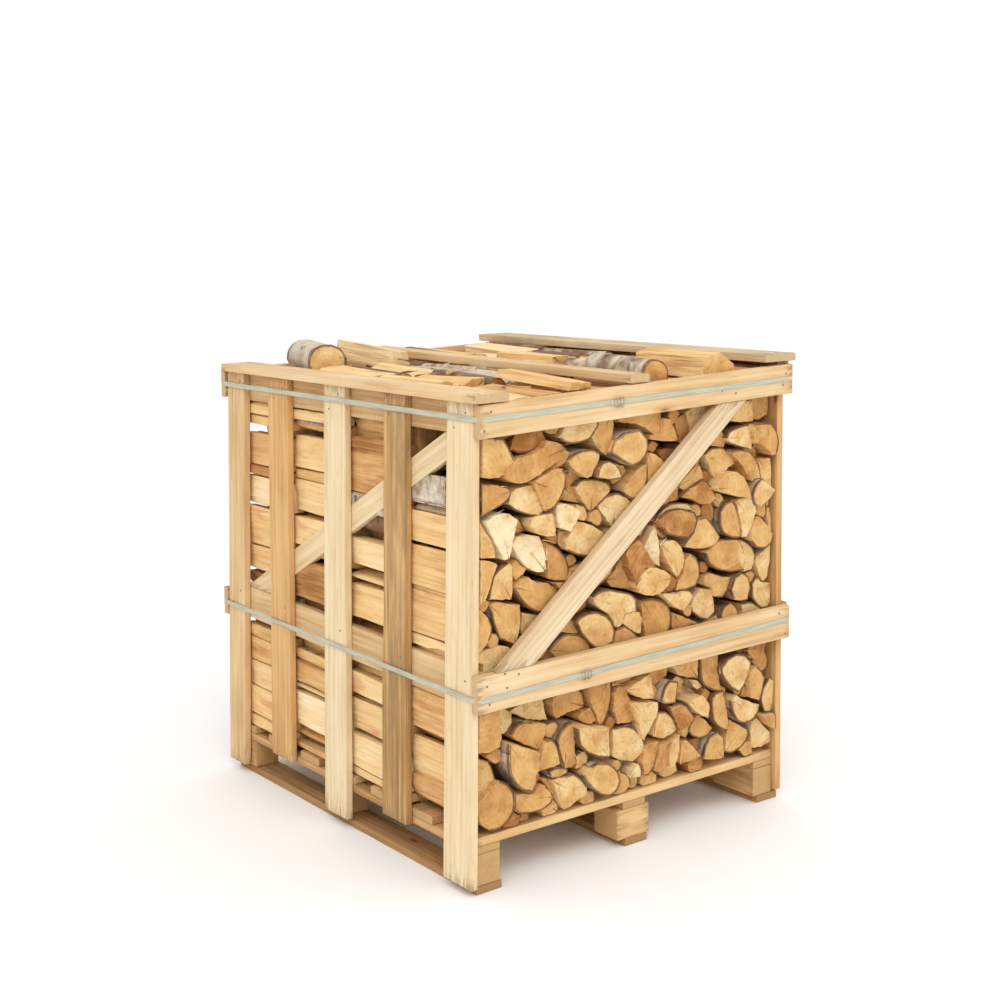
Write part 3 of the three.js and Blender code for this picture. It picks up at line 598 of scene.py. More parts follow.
# ------------------------------------------------------------------ logs
LOGS = """1 S -0.6 48,1090 106,1085 126,1055 138,1030 126,1010 102,996 67,995 47,1000
1 o 15.4 145,1075 163,1111 223,1118 250,1068 232,1050 198,1044 162,1045 138,1054
1 s -7.1 111,987 106,1004 127,1023 144,1037 180,1041 214,1052 235,1072 269,1061 290,1047 278,1027 247,1008 225,998 210,990 179,977 150,973
1 g 9.9 280,1071 305,1102 349,1121 407,1123 410,1091 384,1061 358,1054 317,1053 292,1062
1 o 12.6 383,1066 409,1101 409,1118 458,1119 461,1087 451,1030 437,1012 418,1024 402,1042
1 w -8 436,1022 452,1050 482,1067 528,1070 552,1048 555,1025 545,1004 528,990 501,983 468,1001
1 o 4.3 460,1095 506,1133 608,1133 615,1092 615,1057 590,1049 567,1068 526,1084
1 r -15.3 384,966 387,985 400,999 419,1004 442,994 455,978 462,958 422,957
1 w 2 304,1014 323,1026 351,1033 386,1033 406,1021 402,1001 386,983 379,967 360,966 335,981 313,996
1 s 12.5 306,1039 322,1030 306,1007 281,998 259,995 250,996 275,1010 294,1026
1 o -5.8 190,976 226,989 260,1000 278,1000 291,982 287,956 275,930 256,906 228,899 216,920 207,943
1 B -3.2 41.67,985 65,982 97,974 126,961 120,945 96,931 67,921 40.042,911
1 s 7.3 134,954 161,965 194,966 212,943 224,917 229,897 217,889 184,896 148,910 125,927
1 s 15.6 337,945 359,960 407,957 443,944 453,928 430,908 407,893 384,878 365,903 346,927
1 s 10.5 406,894 432,911 471,916 504,902 521,885 494,861 454,830 431,856 415,875
1 s 3.9 479,921 499,939 519,960 542,977 566,980 563,945 552,916 535,897 505,898
1 g 38.3 324,986 350,985 378,965 362,950 352,933 365,912 378,893 346,904 314,913 314,937 327,956
1 p -1.5 266,911 294,913 322,900 341,885 328,865 309,840 290,848 274,852 265,880
1 s -5.2 186,888 213,894 250,894 259,867 259,837 228,839 201,852 180,872
1 p -5.9 50,895 73,908 99,912 126,904 143,888 134,858 125,826 118,799 101,801 84,832 67,862
1 s -1 39.69,895 47,880 64,857 76,832 78,808 37.886,813
1 p 12.2 136,829 154,846 193,846 224,839 236,816 244,783 241,749 213,751 183,767 159,790
1 o 14.1 234,828 262,815 290,791 308,764 314,739 311,719 273,722 248,731 249,777
1 s 10.1 337,862 379,850 414,830 437,812 434,790 411,773 378,768 337,778 302,795 299,818 318,840
1 s 30.2 294,840 319,837 332,830 316,805 303,794 291,808 288,826
1 o 4.1 253,722 303,717 312,745 341,749 389,755 373,699 324,677 287,695 265,708
1 s -3.6 37.754,807 64,803 85,791 70,765 60,735 48,713 35.488,704 35.554,707
1 s 8.7 82,763 103,779 127,790 138,779 138,741 134,698 99,703 66,708 73,736
1 n 9 138,726 159,742 186,746 213,727 247,722 269,707 284,692 262,676 234,655 219,653 188,668 161,694
1 o 11.6 71,693 92,699 130,688 163,681 163,640 156,612 147,586 117,601 99,609 85,638
1 s 18.1 171,659 195,653 229,645 244,625 195,589 167,608
1 s 9.2 35.29,695 43,686 63,668 74,643 71,624 56,600 36,585 32.892,586
1 s 13.9 32.76,580 60,587 92,593 125,585 151,568 136,546 118,516 70,505 31.308,514
1 o 29.7 215,521 237,540 259,551 284,529 328,501 280,492 233,501
1 o 16.9 249,555 274,573 306,585 350,575 382,555 389,531 366,505 305,500 270,534
1 o 23.5 292,591 311,613 331,617 346,597 366,574 330,580
1 r 5.2 328,614 341,624 367,630 396,628 425,613 445,592 455,568 451,543 428,534 395,535 372,554 347,581
1 n 1.9 377,669 403,680 442,677 509,657 526,639 526,611 485,609 475,583 455,578 439,609 416,628 390,642
1 s 10.7 486,582 493,606 517,610 544,603 551,582 547,549 533,548 510,565
1 s 12.3 464,570 491,576 525,555 549,530 545,492 477,503 451,534
1 o -8 480,767 504,789 527,793 548,770 568,737 585,716 548,719 531,696 514,688 497,716
1 p -10.7 514,681 531,707 559,721 593,713 628,695 638,678 621,657 589,644 552,645 521,660
1 p 10.9 558,768 579,799 596,818 610,780 613,746 613,712 596,717 579,737
1 p 5.9 612,767 633,777 665,773 686,752 697,725 693,699 672,673 650,695 629,726
1 s 13.8 704,714 726,727 744,717 758,691 758,662 744,640 708,635 672,638 676,658 697,679
1 d -0.8 599,837 630,854 672,856 722,840 733,818 722,785 704,774 665,782 630,794 613,812
1 g 9.1 714,764 732,790 746,818 775,819 801,795 827,762 816,740 775,735 728,741 696,750
1 g 6.5 824,827 842,846 872,853 887,820 899,783 903,750 869,752 839,767 824,790
1 s 6.1 879,853 917,856 963,843 959,811 948,772 929,747 910,747 906,782 891,822
1 s 2.9 971,799 1002,774 1034,742 1026,718 1003,708 964,713 937,736 941,765 956,787
1 s 12.8 1009,812 1044,817 1072,786 1077,733 1045,742 1021,770
1 g 15.6 1056,729 1084,723 1084,667 1061,620 1033,613 998,632 970,661 970,683 1001,692 1036,704
1 o 3.3 825,750 888,745 892,717 885,699 915,660 870,661 814,674 781,698 770,726 799,738
1 o 8.3 767,667 797,668 838,651 875,646 864,618 838,597 808,602 797,628 768,638
1 s -7.4 866,647 893,657 919,642 927,611 916,586 889,582 863,588 852,617
1 g 15.3 978,630 1017,613 1061,607 1061,576 1050,539 1010,542 979,558 959,575 955,614
1 s 18.6 727,586 745,612 767,628 807,622 815,591 819,558 793,541 763,551 734,572
1 s -1.6 605,643 657,635 707,635 718,620 700,597 682,586 654,601 629,623
1 s 15.7 552,632 600,630 642,610 656,585 653,543 617,504 569,513 559,574
1 o 11.8 660,585 695,568 746,544 746,496 667,497 656,543
1 s 5.2 827,551 839,571 865,578 887,561 895,527 831,524
1 s 17.6 915,565 950,565 997,541 1021,509 970,498 916,521
1 s -15 920,1053 996,1050 1020,1026 1032,993 1024,964 1009,960 978,984 951,1000 928,999
1 s -2.6 836,1020 847,1037 884,1047 929,1051 937,1019 933,984 896,993 854,1008
1 s 1.2 858,1065 880,1089 906,1111 936,1117 941,1058 895,1057
1 s 13.7 772,982 801,998 838,997 868,976 890,952 864,939 834,920 812,912 798,932 787,960
1 o -6.9 846,985 884,987 925,978 948,951 941,925 922,903 907,923 888,949
1 p -12.4 783,892 801,911 830,932 867,933 897,914 916,880 924,853 871,864 819,880
1 o 5.3 678,883 706,898 757,919 775,912 797,889 808,869 789,852 757,854 721,871
1 o 14 683,910 708,934 751,963 765,943 769,919 733,905 701,895
1 o 12.3 789,1004 811,1023 836,1039 851,1017 844,996
1 s 13.5 974,952 1044,951 1052,914 1052,865 1021,882 989,902 985,926
1 w -1.8 939,860 954,886 977,899 1008,882 1032,864 1020,849 989,833 970,822 947,835
1 o 1.8 571,1041 571,1051 609,1060 609,1095 643,1088 657,1058 668,1029 633,1030
1 o 25.3 673,1081 722,1097 733,1050 729,1019 701,1019 687,1046
1 s 21.2 715,1096 765,1125 786,1124 783,1082 765,1047 736,1021 729,1058
1 s 6.3 568,1010 596,1002 616,988 630,968 596,939 568,921 565,965
1 d 22 614,1009 652,1011 694,1004 659,974 635,971
1 g 22.1 440,699 467,720 494,755 511,732 524,700 544,658 507,666 460,676
1 s 28.6 568,780 595,805 620,835 641,802 658,781 637,776 623,796 609,819 581,776
1 s 6.3 592,829 613,855 651,868 707,864 729,844 679,860 637,857 609,842
1 s 3.1 29.812,446 49,461 88,458 90,412 95,372 89,351 59,343 27.634,347
1 s 26.9 33,326 71,315 82,293 91,264 81,241 63,228 40,226 32,265
1 g -13 104,360 142,344 182,326 200,317 197,280 187,263 184,241 174,226 150,232 126,252 108,283 103,321
1 s 5.7 42,235 63,252 87,268 111,255 128,231 131,206 125,183 109,164 85,151 58,152 32,173 24.4,200 24.884,222
1 s 15.8 132,366 144,385 169,393 205,383 240,373 242,355 230,330 220,312 183,330 147,350
1 g 34 138,419 174,434 246,440 251,406 261,374 217,381 186,392 159,410
1 o 29.4 270,426 302,443 350,444 372,412 376,385 343,382 308,379 282,374 270,389
1 s 7.1 229,335 248,334 263,320 272,296 278,267 263,263 237,263 209,262 216,291
1 g 8.6 268,327 277,347 300,363 319,364 325,322 328,278 331,257 315,246 295,252 286,275 274,308
1 s -7.6 318,353 360,347 392,335 425,331 425,295 428,253 392,263 353,282 327,305 321,330
1 s 14.4 455,316 492,317 526,304 553,278 563,252 549,231 525,218 478,228 454,244
1 s 19.6 377,436 407,458 453,457 453,398 443,364 429,336 416,328 403,359 387,398
1 s 11.7 453,410 473,425 496,412 520,366 534,332 510,321 469,327 456,361
1 s 1.2 245,233 280,233 312,236 337,217 360,189 356,172 327,163 301,152 285,150 269,172 257,203
1 s 1.4 131,225 158,221 189,213 208,232 223,228 248,192 241,181 216,169 182,168 142,175 130,188
1 o 18.7 218,244 237,240 259,220 274,181 259,190 240,217
1 w 7.5 241,255 266,257 298,250 301,239 275,234 247,238
1 w -7.4 336,230 356,243 385,249 425,238 451,214 461,186 451,165 428,155 398,164 369,187 349,209
1 s -7.2 486,416 513,429 565,445 571,410 578,375 540,382 510,396
1 s -3.6 503,378 547,372 592,364 592,337 575,309 557,284 547,270 533,299 523,335
1 w -4.8 605,367 616,396 633,411 661,403 658,372 654,349 615,354
1 s -0.2 588,300 602,332 623,330 648,309 662,277 641,266 606,262 585,272
1 o -7.6 634,343 666,347 691,334 716,300 698,277 669,272 655,299 637,326
1 s 5.9 650,445 693,467 744,471 744,396 708,403 675,414
1 o 9.9 755,444 818,460 825,407 829,368 844,338 807,348 770,371 759,390
1 p -15.8 690,345 712,354 744,353 763,330 766,308 759,293 737,300 708,322
1 g 13.7 719,254 734,278 752,293 781,273 807,246 789,231 759,229 730,241
1 s 7 797,326 811,342 838,343 849,311 857,265 853,230 823,245 800,271
1 s -5.1 818,412 840,432 874,440 908,431 931,408 924,379 908,351 889,333 863,346 836,373 818,396
1 g -2.4 862,313 881,326 904,310 966,282 962,263 943,247 912,242 885,253 866,282
1 w 0 937,375 956,391 976,376 991,351 980,320 968,294 937,306 933,343
1 s 0.5 977,293 988,324 1012,347 1031,338 1028,297 1020,253 989,260
1 n 19.2 919,308 934,338 950,321 950,302
1 s 13.1 955,232 983,241 1011,216 1047,188 1047,163 1011,156 972,156 952,160 952,200
1 s 16.8 875,254 905,236 944,214 948,200 936,182 913,168 879,161 856,169 856,202 863,226
1 w 3.1 771,202 789,228 815,234 834,216 838,160 801,163 760,172
1 s 3.6 684,242 698,242 724,220 753,184 720,178 680,178 680,216
1 p -6.8 642,248 667,262 667,227 660,202 645,178 631,184 628,217
1 o -6.3 603,251 635,252 628,214 617,182 596,176 579,185 589,220
1 s -0.1 550,240 567,260 602,258 592,226 581,196 560,177 546,178 540,216
1 p -2.1 497,184 510,205 527,214 534,197 534,178
1 o 6.1 923,440 966,460 1017,468 993,422 966,404 943,414
1 o -8.4 968,260 1015,254 1027,240 1027,201 995,224
1 g 40.7 709,379 738,368 771,345 749,333 723,330 709,338
1 w 4.7 714,394 739,392 761,369 739,365 721,379
1 o 12.8 118.7,1141.6 94.6,1118.9 74.5,1099.1 98.6,1082.1 134.8,1084.9 154.9,1101.9 138.8,1124.6
1 w 4.2 750.2,1119.8 745.5,1140.4 732.5,1157 713.6,1166.2 692.7,1166.2 673.8,1157 660.7,1140.4 656.1,1119.8 693.7,1107.8
1 p 2.7 904.8,1160.7 873.6,1142.5 847.6,1126.6 878.8,1112.9 925.5,1115.2 951.5,1128.9 930.7,1147.1
1 o 26.9 197.5,439.8 235.1,469.6 228.5,500.5 202.4,538.4 163.7,554.5 128.3,525 124,488.8 131.3,460.9 168.4,434.9
1 g 33.4 569.7,792.5 587.2,814.8 601.5,847.6 584.7,904.2 535.8,893.4 504.7,867.5 489.6,853.2 499.9,808.8 528,796.9
1 s 27.7 1025.5,1143.1 980.7,1163.8 952.8,1126.9 942,1099.1 943.2,1076.3 961.1,1054.6 994.4,1054.8 1030.7,1067.7 1032,1098.8
1 g 21 229.1,1177.7 206.3,1138.2 232.6,1109.4 248.6,1083.8 281.7,1077.7 307.4,1108.2 344.9,1144.8 301.7,1179.2 272.6,1177.8
1 o 16 676.8,940.9 659,969.6 630,963.7 603.3,941.4 580.1,909.2 590.9,895.5 617.4,861.3 640.1,868.2 684.5,873.4 682,913.8
1 o 26.1 650.7,414.2 658,458.1 654,510.9 598.9,505.4 559.6,491.3 546.2,465.3 571.9,429.2 606,396
1 o 25.4 959,499.5 919.7,517.1 881.5,523.7 853.3,501.9 836,480.7 840.1,437.8 890.1,440.4 925.6,423.2 958,464.3
1 s 19.9 769.1,451.2 805.6,461.2 832.5,481.6 846.3,511.2 824,553.3 778.2,542.6 750.5,513.2 746.2,472.3
1 o 33.5 789.5,1106.4 783.9,1077.2 811.7,1035.8 854.8,1046.7 865.1,1074.6 886.6,1110.7 839.4,1154.6 809.4,1137.2
1 g 30.2 332,642.3 321.3,665.3 303.6,681.4 279.3,685.7 259.2,670.8 237.5,653.9 246.2,623.6 258.7,589.8 297.6,600.2 318.7,618.4
1 o 14.8 378.3,707.2 403,686.3 439.3,703.4 453.7,712.3 468.1,749.2 462.3,784.8 419.9,775.8 401.5,769.1 388.6,742.7
1 g 17.6 542,459.3 542.8,488.5 500,496.7 481.7,499.1 444.8,499.4 454,459.4 456.9,428.1 476.8,426.5 499.6,427.4 535.2,438.7
1 o 25.2 382.9,462.9 406.9,462 423.8,461.6 444.9,484.9 455.2,510.6 437.3,534.5 405,531.9 383.1,517.1 360.1,491.5
1 s 20.4 945.1,726.9 917.4,740.7 897.1,714.5 892.1,693.1 914.4,669.2 920.7,648.7 955.9,653 967,676.1 971.8,686.2 961.2,712.8
1 s 14.5 169.6,1114.2 195.1,1124.9 203.4,1139.4 202.4,1177.3 183.8,1177.3 155.3,1176.2 133.6,1169.5 128.9,1154.3 132.8,1132.1 152.1,1110.6
1 o 20.9 746.1,1018.4 710,1015.8 697.6,1001.4 684.4,978.5 699.9,946 729.8,953 763.3,959.6 761.6,989.3
1 o 13.2 474.3,1134.1 480.1,1162.2 472.6,1178.7 437.1,1179.6 407.9,1177.8 399.4,1161.1 399.8,1127.2 430.4,1122.4 455.5,1123.2
1 o 15.1 210,535 225.8,535 238.5,544.1 252,564.4 255.7,588.7 229.4,602.3 205.2,593.2 194,587.1 174,566.4 189.1,548.1
1 s 23.2 310,449 298.1,485.2 278,490.3 259,492.7 237.1,484.1 226.9,446.2 251.1,439.7 270.3,430.1 289.4,441
1 s 24.1 1030.7,373.8 1031.7,396.1 1019.4,418.8 994.8,421.1 982.1,411.7 966.4,397.1 981.5,376 990.5,360 1013.2,362
1 g 27 335.7,446 359.3,450 372,473 363.7,483.6 346.2,500.2 320.4,497.6 295.4,493.6 309.1,464.2 322.6,447.4
1 d 18.6 598.8,1171.7 600,1144.2 613.4,1130.8 623.1,1109.1 650.1,1110.4 655.6,1130.9 663.2,1153 657.3,1165.6 638,1173.4 622.4,1172.3
1 o 33.6 357.9,1124.4 377.9,1125.1 391.4,1130.3 395.9,1156 393.5,1172.6 386.2,1179.3 365.1,1179.5 348,1179.9 340.9,1161.4 338.5,1132.7
1 d 32.1 933.4,1187.5 912.3,1179.1 928,1152.7 940.9,1141 959.7,1138.4 969.3,1154.9 978,1166.1 970.1,1196.9 951.6,1195.8
1 s 31.8 96.2,432.6 95.5,406.8 96.7,386.5 106.3,369.1 126.5,368.7 135.6,377.2 146.4,388.5 147.8,413.8 136.6,423 117.3,437.9
1 s 30.1 58.3,497.3 67.6,474.5 78.5,462.1 93.8,454.1 121.6,455.9 122.1,474 120.2,493.5 117,513.2 94.8,508 84,504.8
1 s 12 490.5,822.5 473.3,839.8 461.3,830.2 443.2,818.1 445.3,789.7 465.4,786.4 487.5,783.2 496.7,801.6
1 d 19.1 801.3,1173.4 789.1,1173.8 767,1173.2 755.1,1158.2 748.9,1141.8 771.2,1128.6 785.4,1128 800.8,1131.1 810.1,1140.2 821.9,1162.5
1 o 13.7 513.2,156.7 508,179.5 494.5,192.5 475.2,201.7 458.3,174.2 454,165 458.1,143.5 481.7,142.1 492.2,143.4
1 d 23.2 347,628.4 375.7,641.6 379.9,657.4 374.8,685.2 351.8,686 335.1,677 326,660.5 332.5,632.1
1 s 20.8 1031.4,1162 1030,1178.1 1027.8,1195.6 1014.2,1200.6 989.7,1200.8 977.8,1188.3 980.8,1171.4 996.8,1160.3 1005.7,1154
1 o 26.6 769.9,838.6 772.7,822 785.7,812.2 791.8,809 813.1,799.8 821.8,809.7 824,828.5 815.2,850.1 807.3,856.5 785.8,851
1 s 26 662.1,364.6 675.3,353.3 693.6,357.8 705.5,367.4 707.9,380.3 711.4,394.2 695.7,405.2 681.9,409.9 664.6,399.3 662.2,385
1 s 14.5 813.9,1027.1 805.3,1035.7 793.3,1053.4 778.2,1059.8 770.4,1048.7 754.1,1032.9 756.9,1017.6 764.7,1003.1 782.9,1000 794.8,1014.6
1 s 32.1 508.8,978.3 491.8,983.2 475.6,990.1 461.8,982.9 464.1,963.6 464.1,947.9 473.7,934.6 496.4,940.4 502.3,947.2 518,963.2
1 s 29.8 677.8,177.3 662,192 649,177.2 631.4,171.5 628.5,155.9 642.1,142.3 660.8,142 671.5,142.2 691.4,149.4 689.7,165.9
1 s 12.2 91.9,1118.7 99.6,1127.3 111.5,1136.8 106.9,1163.5 89.7,1163.7 78.6,1162.7 67.4,1149.4 66.2,1139.5 68.8,1115
1 d 14 631.5,665.9 619.9,646.9 644.3,639.5 658.1,639 671.9,648.7 679.3,664.4 669.1,671.8 655.8,685.7 640.6,676.8
1 s 15.9 983.9,917.9 975.8,940.4 963.3,946 946.1,931.2 940.1,918.5 937.8,906.5 954.1,893.3 967.9,899 986.5,898.7
1 o 12.8 720.5,142.8 739.6,142 762.4,143.1 769.9,162.1 758.4,186.1 736.2,179.6 712,175.5 714.7,154.1
1 g 17.4 566.2,177.4 554.7,174.9 546.2,156.5 559.2,142.9 572.6,142.3 589.2,142.4 603.6,143.8 607.8,163.1 587,176.7 581.8,181.2
1 s 15.9 275.1,143.6 273.7,163.8 263.5,174.7 252.8,189.9 234.5,175.6 222.2,163.5 228.2,142.4 251,142
1 o 31.5 951.4,996.7 934.5,975.2 943.5,962.7 950.8,952.3 971.5,953.6 990.4,960 977.6,983.1 967.4,986.4
1 d 20.7 388.4,339.1 403.1,349.2 393,372.5 385.6,381.8 369.4,380.9 358.1,380.9 346,363.2 364.2,348.4 371.6,346.6
1 o 26 580.7,1173.4 567.3,1169.7 549,1161.3 558,1138.2 574,1136.1 589.3,1136.5 597.4,1148.8 594.7,1169
1 s 24.9 143.2,874.4 140.6,863.1 150.4,848.2 169.9,850.6 185.2,855.7 177.1,873.6 167.7,888.6 143.2,895.2
1 g 20.5 379.8,866.5 376.9,882.3 369.6,893.6 348.9,899.5 343.8,883.8 337.9,866.6 355.5,860.6 369.3,856.1
1 s 12.7 403.3,840.7 414.3,841.7 423,855 416,870.8 407.6,881.8 394.6,881.7 387,876.3 382.9,867.4 381.7,854.4 389.3,848.5
1 o 18.7 929.7,614.3 941.6,610 951.2,614.5 963.2,624.2 968.3,639.6 958.6,650 943.2,650 932.9,647.8 924.9,635.7 926.4,626.3
1 s 12.9 392.5,149.7 388.9,169.2 381.8,174.2 365.8,177.5 360.2,170.6 347.2,165.5 347.6,149.4 357.8,142.1 374.8,142.7 386.4,143.3
1 d 11.2 106.1,160.1 102.3,146.4 124.1,143.1 133.9,142.5 146.1,143 159.5,163.3 142.1,171.4 132,181.9 119.1,169.7
1 o 16.3 155.7,789.9 143.1,780.8 142.2,764.6 142.1,753.5 150.9,741.2 163.1,746.8 174.8,751.1 185.9,764 169.3,776
1 s 14.5 518.2,1141.3 519.9,1152.1 511.1,1167.6 499.3,1168 486.6,1166.4 484.3,1158.3 482,1150.1 476.8,1131.7 494.8,1130.3 504.5,1135.4
1 s 18.3 1013.8,505.1 997.9,500.9 986.7,491.3 987,474.4 1006,470.1 1016.2,472.2 1030.2,476.8 1025.8,495.1
1 o 12.9 1005.9,811.5 1001.6,834.5 981.4,824.6 964.8,821.7 962.3,806 980.8,795.7 996.3,789.6 1005.7,800.7
1 s 26.8 914.1,582 922,569.7 937.4,568.1 952,568.9 956,584.2 954,602.8 934.9,608 925.4,598.5
1 s 10.7 949.3,180 936.3,179.6 920.3,171.7 904.6,163.9 912.6,153 922.9,142.5 934.5,142.2 954.8,145.5 952,158.3
1 s 16.5 748.8,822.3 763,824.1 766,839 754.9,853.7 740.5,857.2 729,854.9 728,836.9 736.7,820.3
1 s 13.8 353.2,279.7 339.7,276.7 332.3,271.3 334.4,258.5 331.9,240.6 347.4,240.2 355.6,247 367.2,248.2 372,262.4 366.2,273.8
1 o 11.3 657.2,1115.4 645.6,1107.4 640,1095.7 649.4,1086.2 655.1,1070.9 671.6,1076.2 677.5,1086.9 685.9,1098 676.3,1106.9 667.5,1113.1
1 o 17 144.3,580.7 153.7,570.8 164.9,562 173.8,570 185.7,580.4 184.3,592.1 173.1,600.6 158,606.6 154.7,595.3
1 d 12.9 56.2,330.8 71.9,318.3 77.4,310.6 95.6,310.7 99.9,326 99.7,337.3 82.9,348 72.5,343.3
1 d 12.6 315.6,947.2 320.6,953.4 321.9,972.1 315.3,984.3 296.7,977.7 290.5,963.8 289.5,952.7 303,938.2
1 d 14.9 434.1,339.3 428.3,328.6 432.2,314.9 446.6,314 454.9,321.2 464,331 460.4,338.9 449.4,349.7 439.2,348.7
1 s 18.6 881.8,1161.2 872.1,1173.9 858.9,1174 849.3,1172.5 840.5,1162.4 848.9,1149.4 857.4,1142.2 867.7,1144 877.7,1148.7
1 g 10.6 698.1,487.7 684.7,492.5 669,493.2 660.8,490.2 660,477.4 662.4,467 673.7,460 684.6,466 695.6,474.1
1 s 14.3 770.7,311.4 767.1,301.5 766,288.2 774.7,283.1 791.9,275.1 794.7,289.6 795,301.4 788.8,313.9
1 s 22 274.6,370.4 261.2,372 244.8,367 244.1,352 244.5,338.4 261.1,330 271,342.4 285.9,356.3
1 o 26.6 778,220.1 758.7,225.3 749.1,227.3 733.2,222 738.5,206.2 745.6,200.8 752.1,192.1 764,195 771.9,208.1
1 g 19.7 821.5,844.5 831.5,836.1 840.9,849.2 851.7,854.1 844.1,869.2 832.4,873.8 822.4,876.5 806.4,862.3 816.5,854.2
1 s 11.8 725,589.9 711.3,598 704,594.8 693.7,587.7 694.4,576.3 702.3,568.3 711.9,564.1 722.8,564.7 728,579.9
1 o 31.6 942.7,873.6 949.5,883.7 943.3,899.4 933.9,907.9 926.8,903.1 912.7,893.4 918.2,885.6 922.5,875.1 930.4,866.1
1 o 23.9 347.6,760 336.7,775.9 329,779.7 315.9,776.4 310.2,766.2 314.3,753.1 325.3,748 334.9,750.7
1 s 22.2 528.6,177.9 514.8,171.6 514,162 515.6,145.4 536.1,143 542.1,151.5 545.9,163.5 539.7,177.2
1 s 17 682,256.9 689.2,248.4 702.7,242 711.7,238.3 718.8,251.6 720.9,264.4 713.3,276.9 698.6,273.6 683.6,270.1
1 o 24.2 592.3,1006.3 602.6,1002.2 611.7,1010.3 621.4,1023.2 605.7,1032.9 595.1,1033.2 585,1023.5 580.6,1013.2
1 o 19.6 776.4,327.2 789,320.2 798.1,333 803.9,342 794.9,350.8 781.7,357.5 773.7,346.7 762.1,337.4
1 s 10.4 62.2,605.5 69.4,591 79.4,592 91.8,594.4 95.7,610.9 89.1,623.5 74.5,627.2 69.7,614.1
1 s 24.1 925.9,340.1 908.6,348 902.8,340 894,329.3 896.7,319.1 908.4,312.1 919.4,315.1 926,326.9
1 o 17.2 606.1,393 597.1,403.7 589.8,405.5 578.9,399.2 580.3,383.3 583.6,380 587.3,369.3 598.4,364.4 605.2,377.6 610,387.1
1 d 21.4 787.1,906.3 794.6,909.5 803.5,919.5 797.1,928.9 793.8,936.7 782.4,939.9 768.6,936.8 771,929.2 772.6,920.4 776.7,914.5
1 s 18.8 39.6,703 38.8,691.1 46.4,687.7 51.8,682.2 60.3,679.2 69.8,687.3 75.9,698 65,707.6 57.8,719.7 49.5,709.3
1 s 17.9 470.5,231.8 462.8,231.1 451,221.9 456.9,211.3 458.3,200.8 471.5,202.5 478.9,204.3 484,215.2 483,225.9
1 o 25 282.2,808.8 287.7,817.2 287.4,830.3 279.2,846.8 264.6,840.2 250.4,830.3 261.3,820.7 268.3,812.5
1 o 23.4 176.1,142.2 188.5,143.3 189.8,156.7 182.5,165.1 173.4,168 161.5,160.3 158.4,150.6 163.4,142.1
1 s 28.6 1007.6,442 1002.1,434.2 1009.7,422.3 1022,418.5 1030.5,429.6 1031.6,439.4 1030,454.4 1015.7,457.9
1 o 23.8 549.7,1151.3 544.8,1159.8 531.2,1165.8 519.8,1159 522.2,1145.7 525.9,1136.6 533.3,1136 548.4,1137.2
1 s 23.6 1020.9,816.3 1031.6,819.5 1031.8,830.4 1027.4,845.7 1014,841.4 1002.8,837.7 1006.9,823.4 1010.3,816.3
1 d 17 762,683 762.3,674.3 770.1,670.7 782.3,670.7 791,676.2 789.8,684.6 783.1,692.6 772.9,700 760.4,699.3
1 s 22.8 301.2,936.4 290.8,948 284,940.7 279.1,933.1 274.2,925.2 285,914.9 291.8,914.1 302.4,917.9 309.8,925
1 g 33.1 861.6,345.9 848.1,346 845,335.5 848.6,326.1 852.9,313.5 861.4,314.1 867.8,318.4 872.9,324.6 874.5,336.7 865.7,342.8
1 o 12.4 193.2,258.2 189.1,251.1 188,245.7 190.4,228.5 202.4,230.2 208,237 215.8,243.7 215.3,255.5 205.1,261.2
2 s 0.1 28.3,143.5 26.6,164.4 91.2,163.6 134.2,154.5 110,144
2 p -1.9 26,169.1 26.6,258 93.1,254.1 137.8,213 96.2,171.4
2 s 0.6 35.6,268 30.8,353.9 100.7,348.4 147.3,330.3 107.2,275.6
2 s -0 28.8,363.9 29,420.2 76.6,417.1 108.5,402.3 85,369.1
2 o 0.2 53.9,424.9 57.5,452 100,452.4 130.7,444.7 110.1,424.9
2 s -0.3 58.2,456.6 62.7,541.7 110.8,540.8 145.8,525.2 136.1,464.3
2 n 0.4 116.6,565.8 89.6,564.2 70.3,560.6 63.3,555.8 70.3,551.1 89.6,547.5 116.6,545.9 181.6,555.8
2 s 1.4 32.9,570 37.6,659.8 79.6,658 110.7,609.6 102.3,572.5
2 g 0.8 82.1,683.9 59.2,682.2 42.9,678.6 37,674 42.9,669.3 59.2,665.7 82.1,664 137.2,674
2 p -0.3 40.8,708.9 38.4,779.9 90.2,776.6 124.7,739.3 105.2,710
2 n 1.8 91.3,870.8 72.1,864.9 57.3,853.2 49.2,837.5 49.2,820.4 57.3,804.7 72.1,793 91.3,787.1 149.6,820.7
2 o 0.2 44.5,896.1 42.7,1012.9 101,1011.1 139.8,994.6 120.2,896.3
2 s 0.8 70.1,1020 67.5,1095.1 137.3,1090.3 183.8,1059.3 156.7,1021
2 s 4 286,1146 350,1144 354,1172 332,1194 304,1194 284,1172
2 w 10 372,1142 440,1142 452,1162 440,1184 410,1196 382,1184 366,1162
2 p -4 196,1189 172.6,1165.3 153.1,1144.6 176.5,1126.9 211.7,1129.8 231.2,1147.6 215.6,1171.3
2 o 12.4 511.8,1173 484.8,1148.5 462.3,1127.1 489.3,1108.7 529.8,1111.8 552.2,1130.1 534.3,1154.6
2 p 0.7 660.3,1144.4 629.1,1148.8 587.5,1148.9 556.3,1150.8 564.6,1113.9 597.9,1088 639.5,1100.9
2 s 15.5 762.9,1180.9 732.5,1187.3 691.9,1185.8 661.5,1179.2 669.6,1158.2 702.1,1136.8 742.6,1147.5
2 g 9.3 835.4,1149.9 831.8,1172.2 821.9,1190.1 807.5,1200 791.6,1200 777.2,1190.1 767.2,1172.2 763.7,1149.9 792.4,1137.9
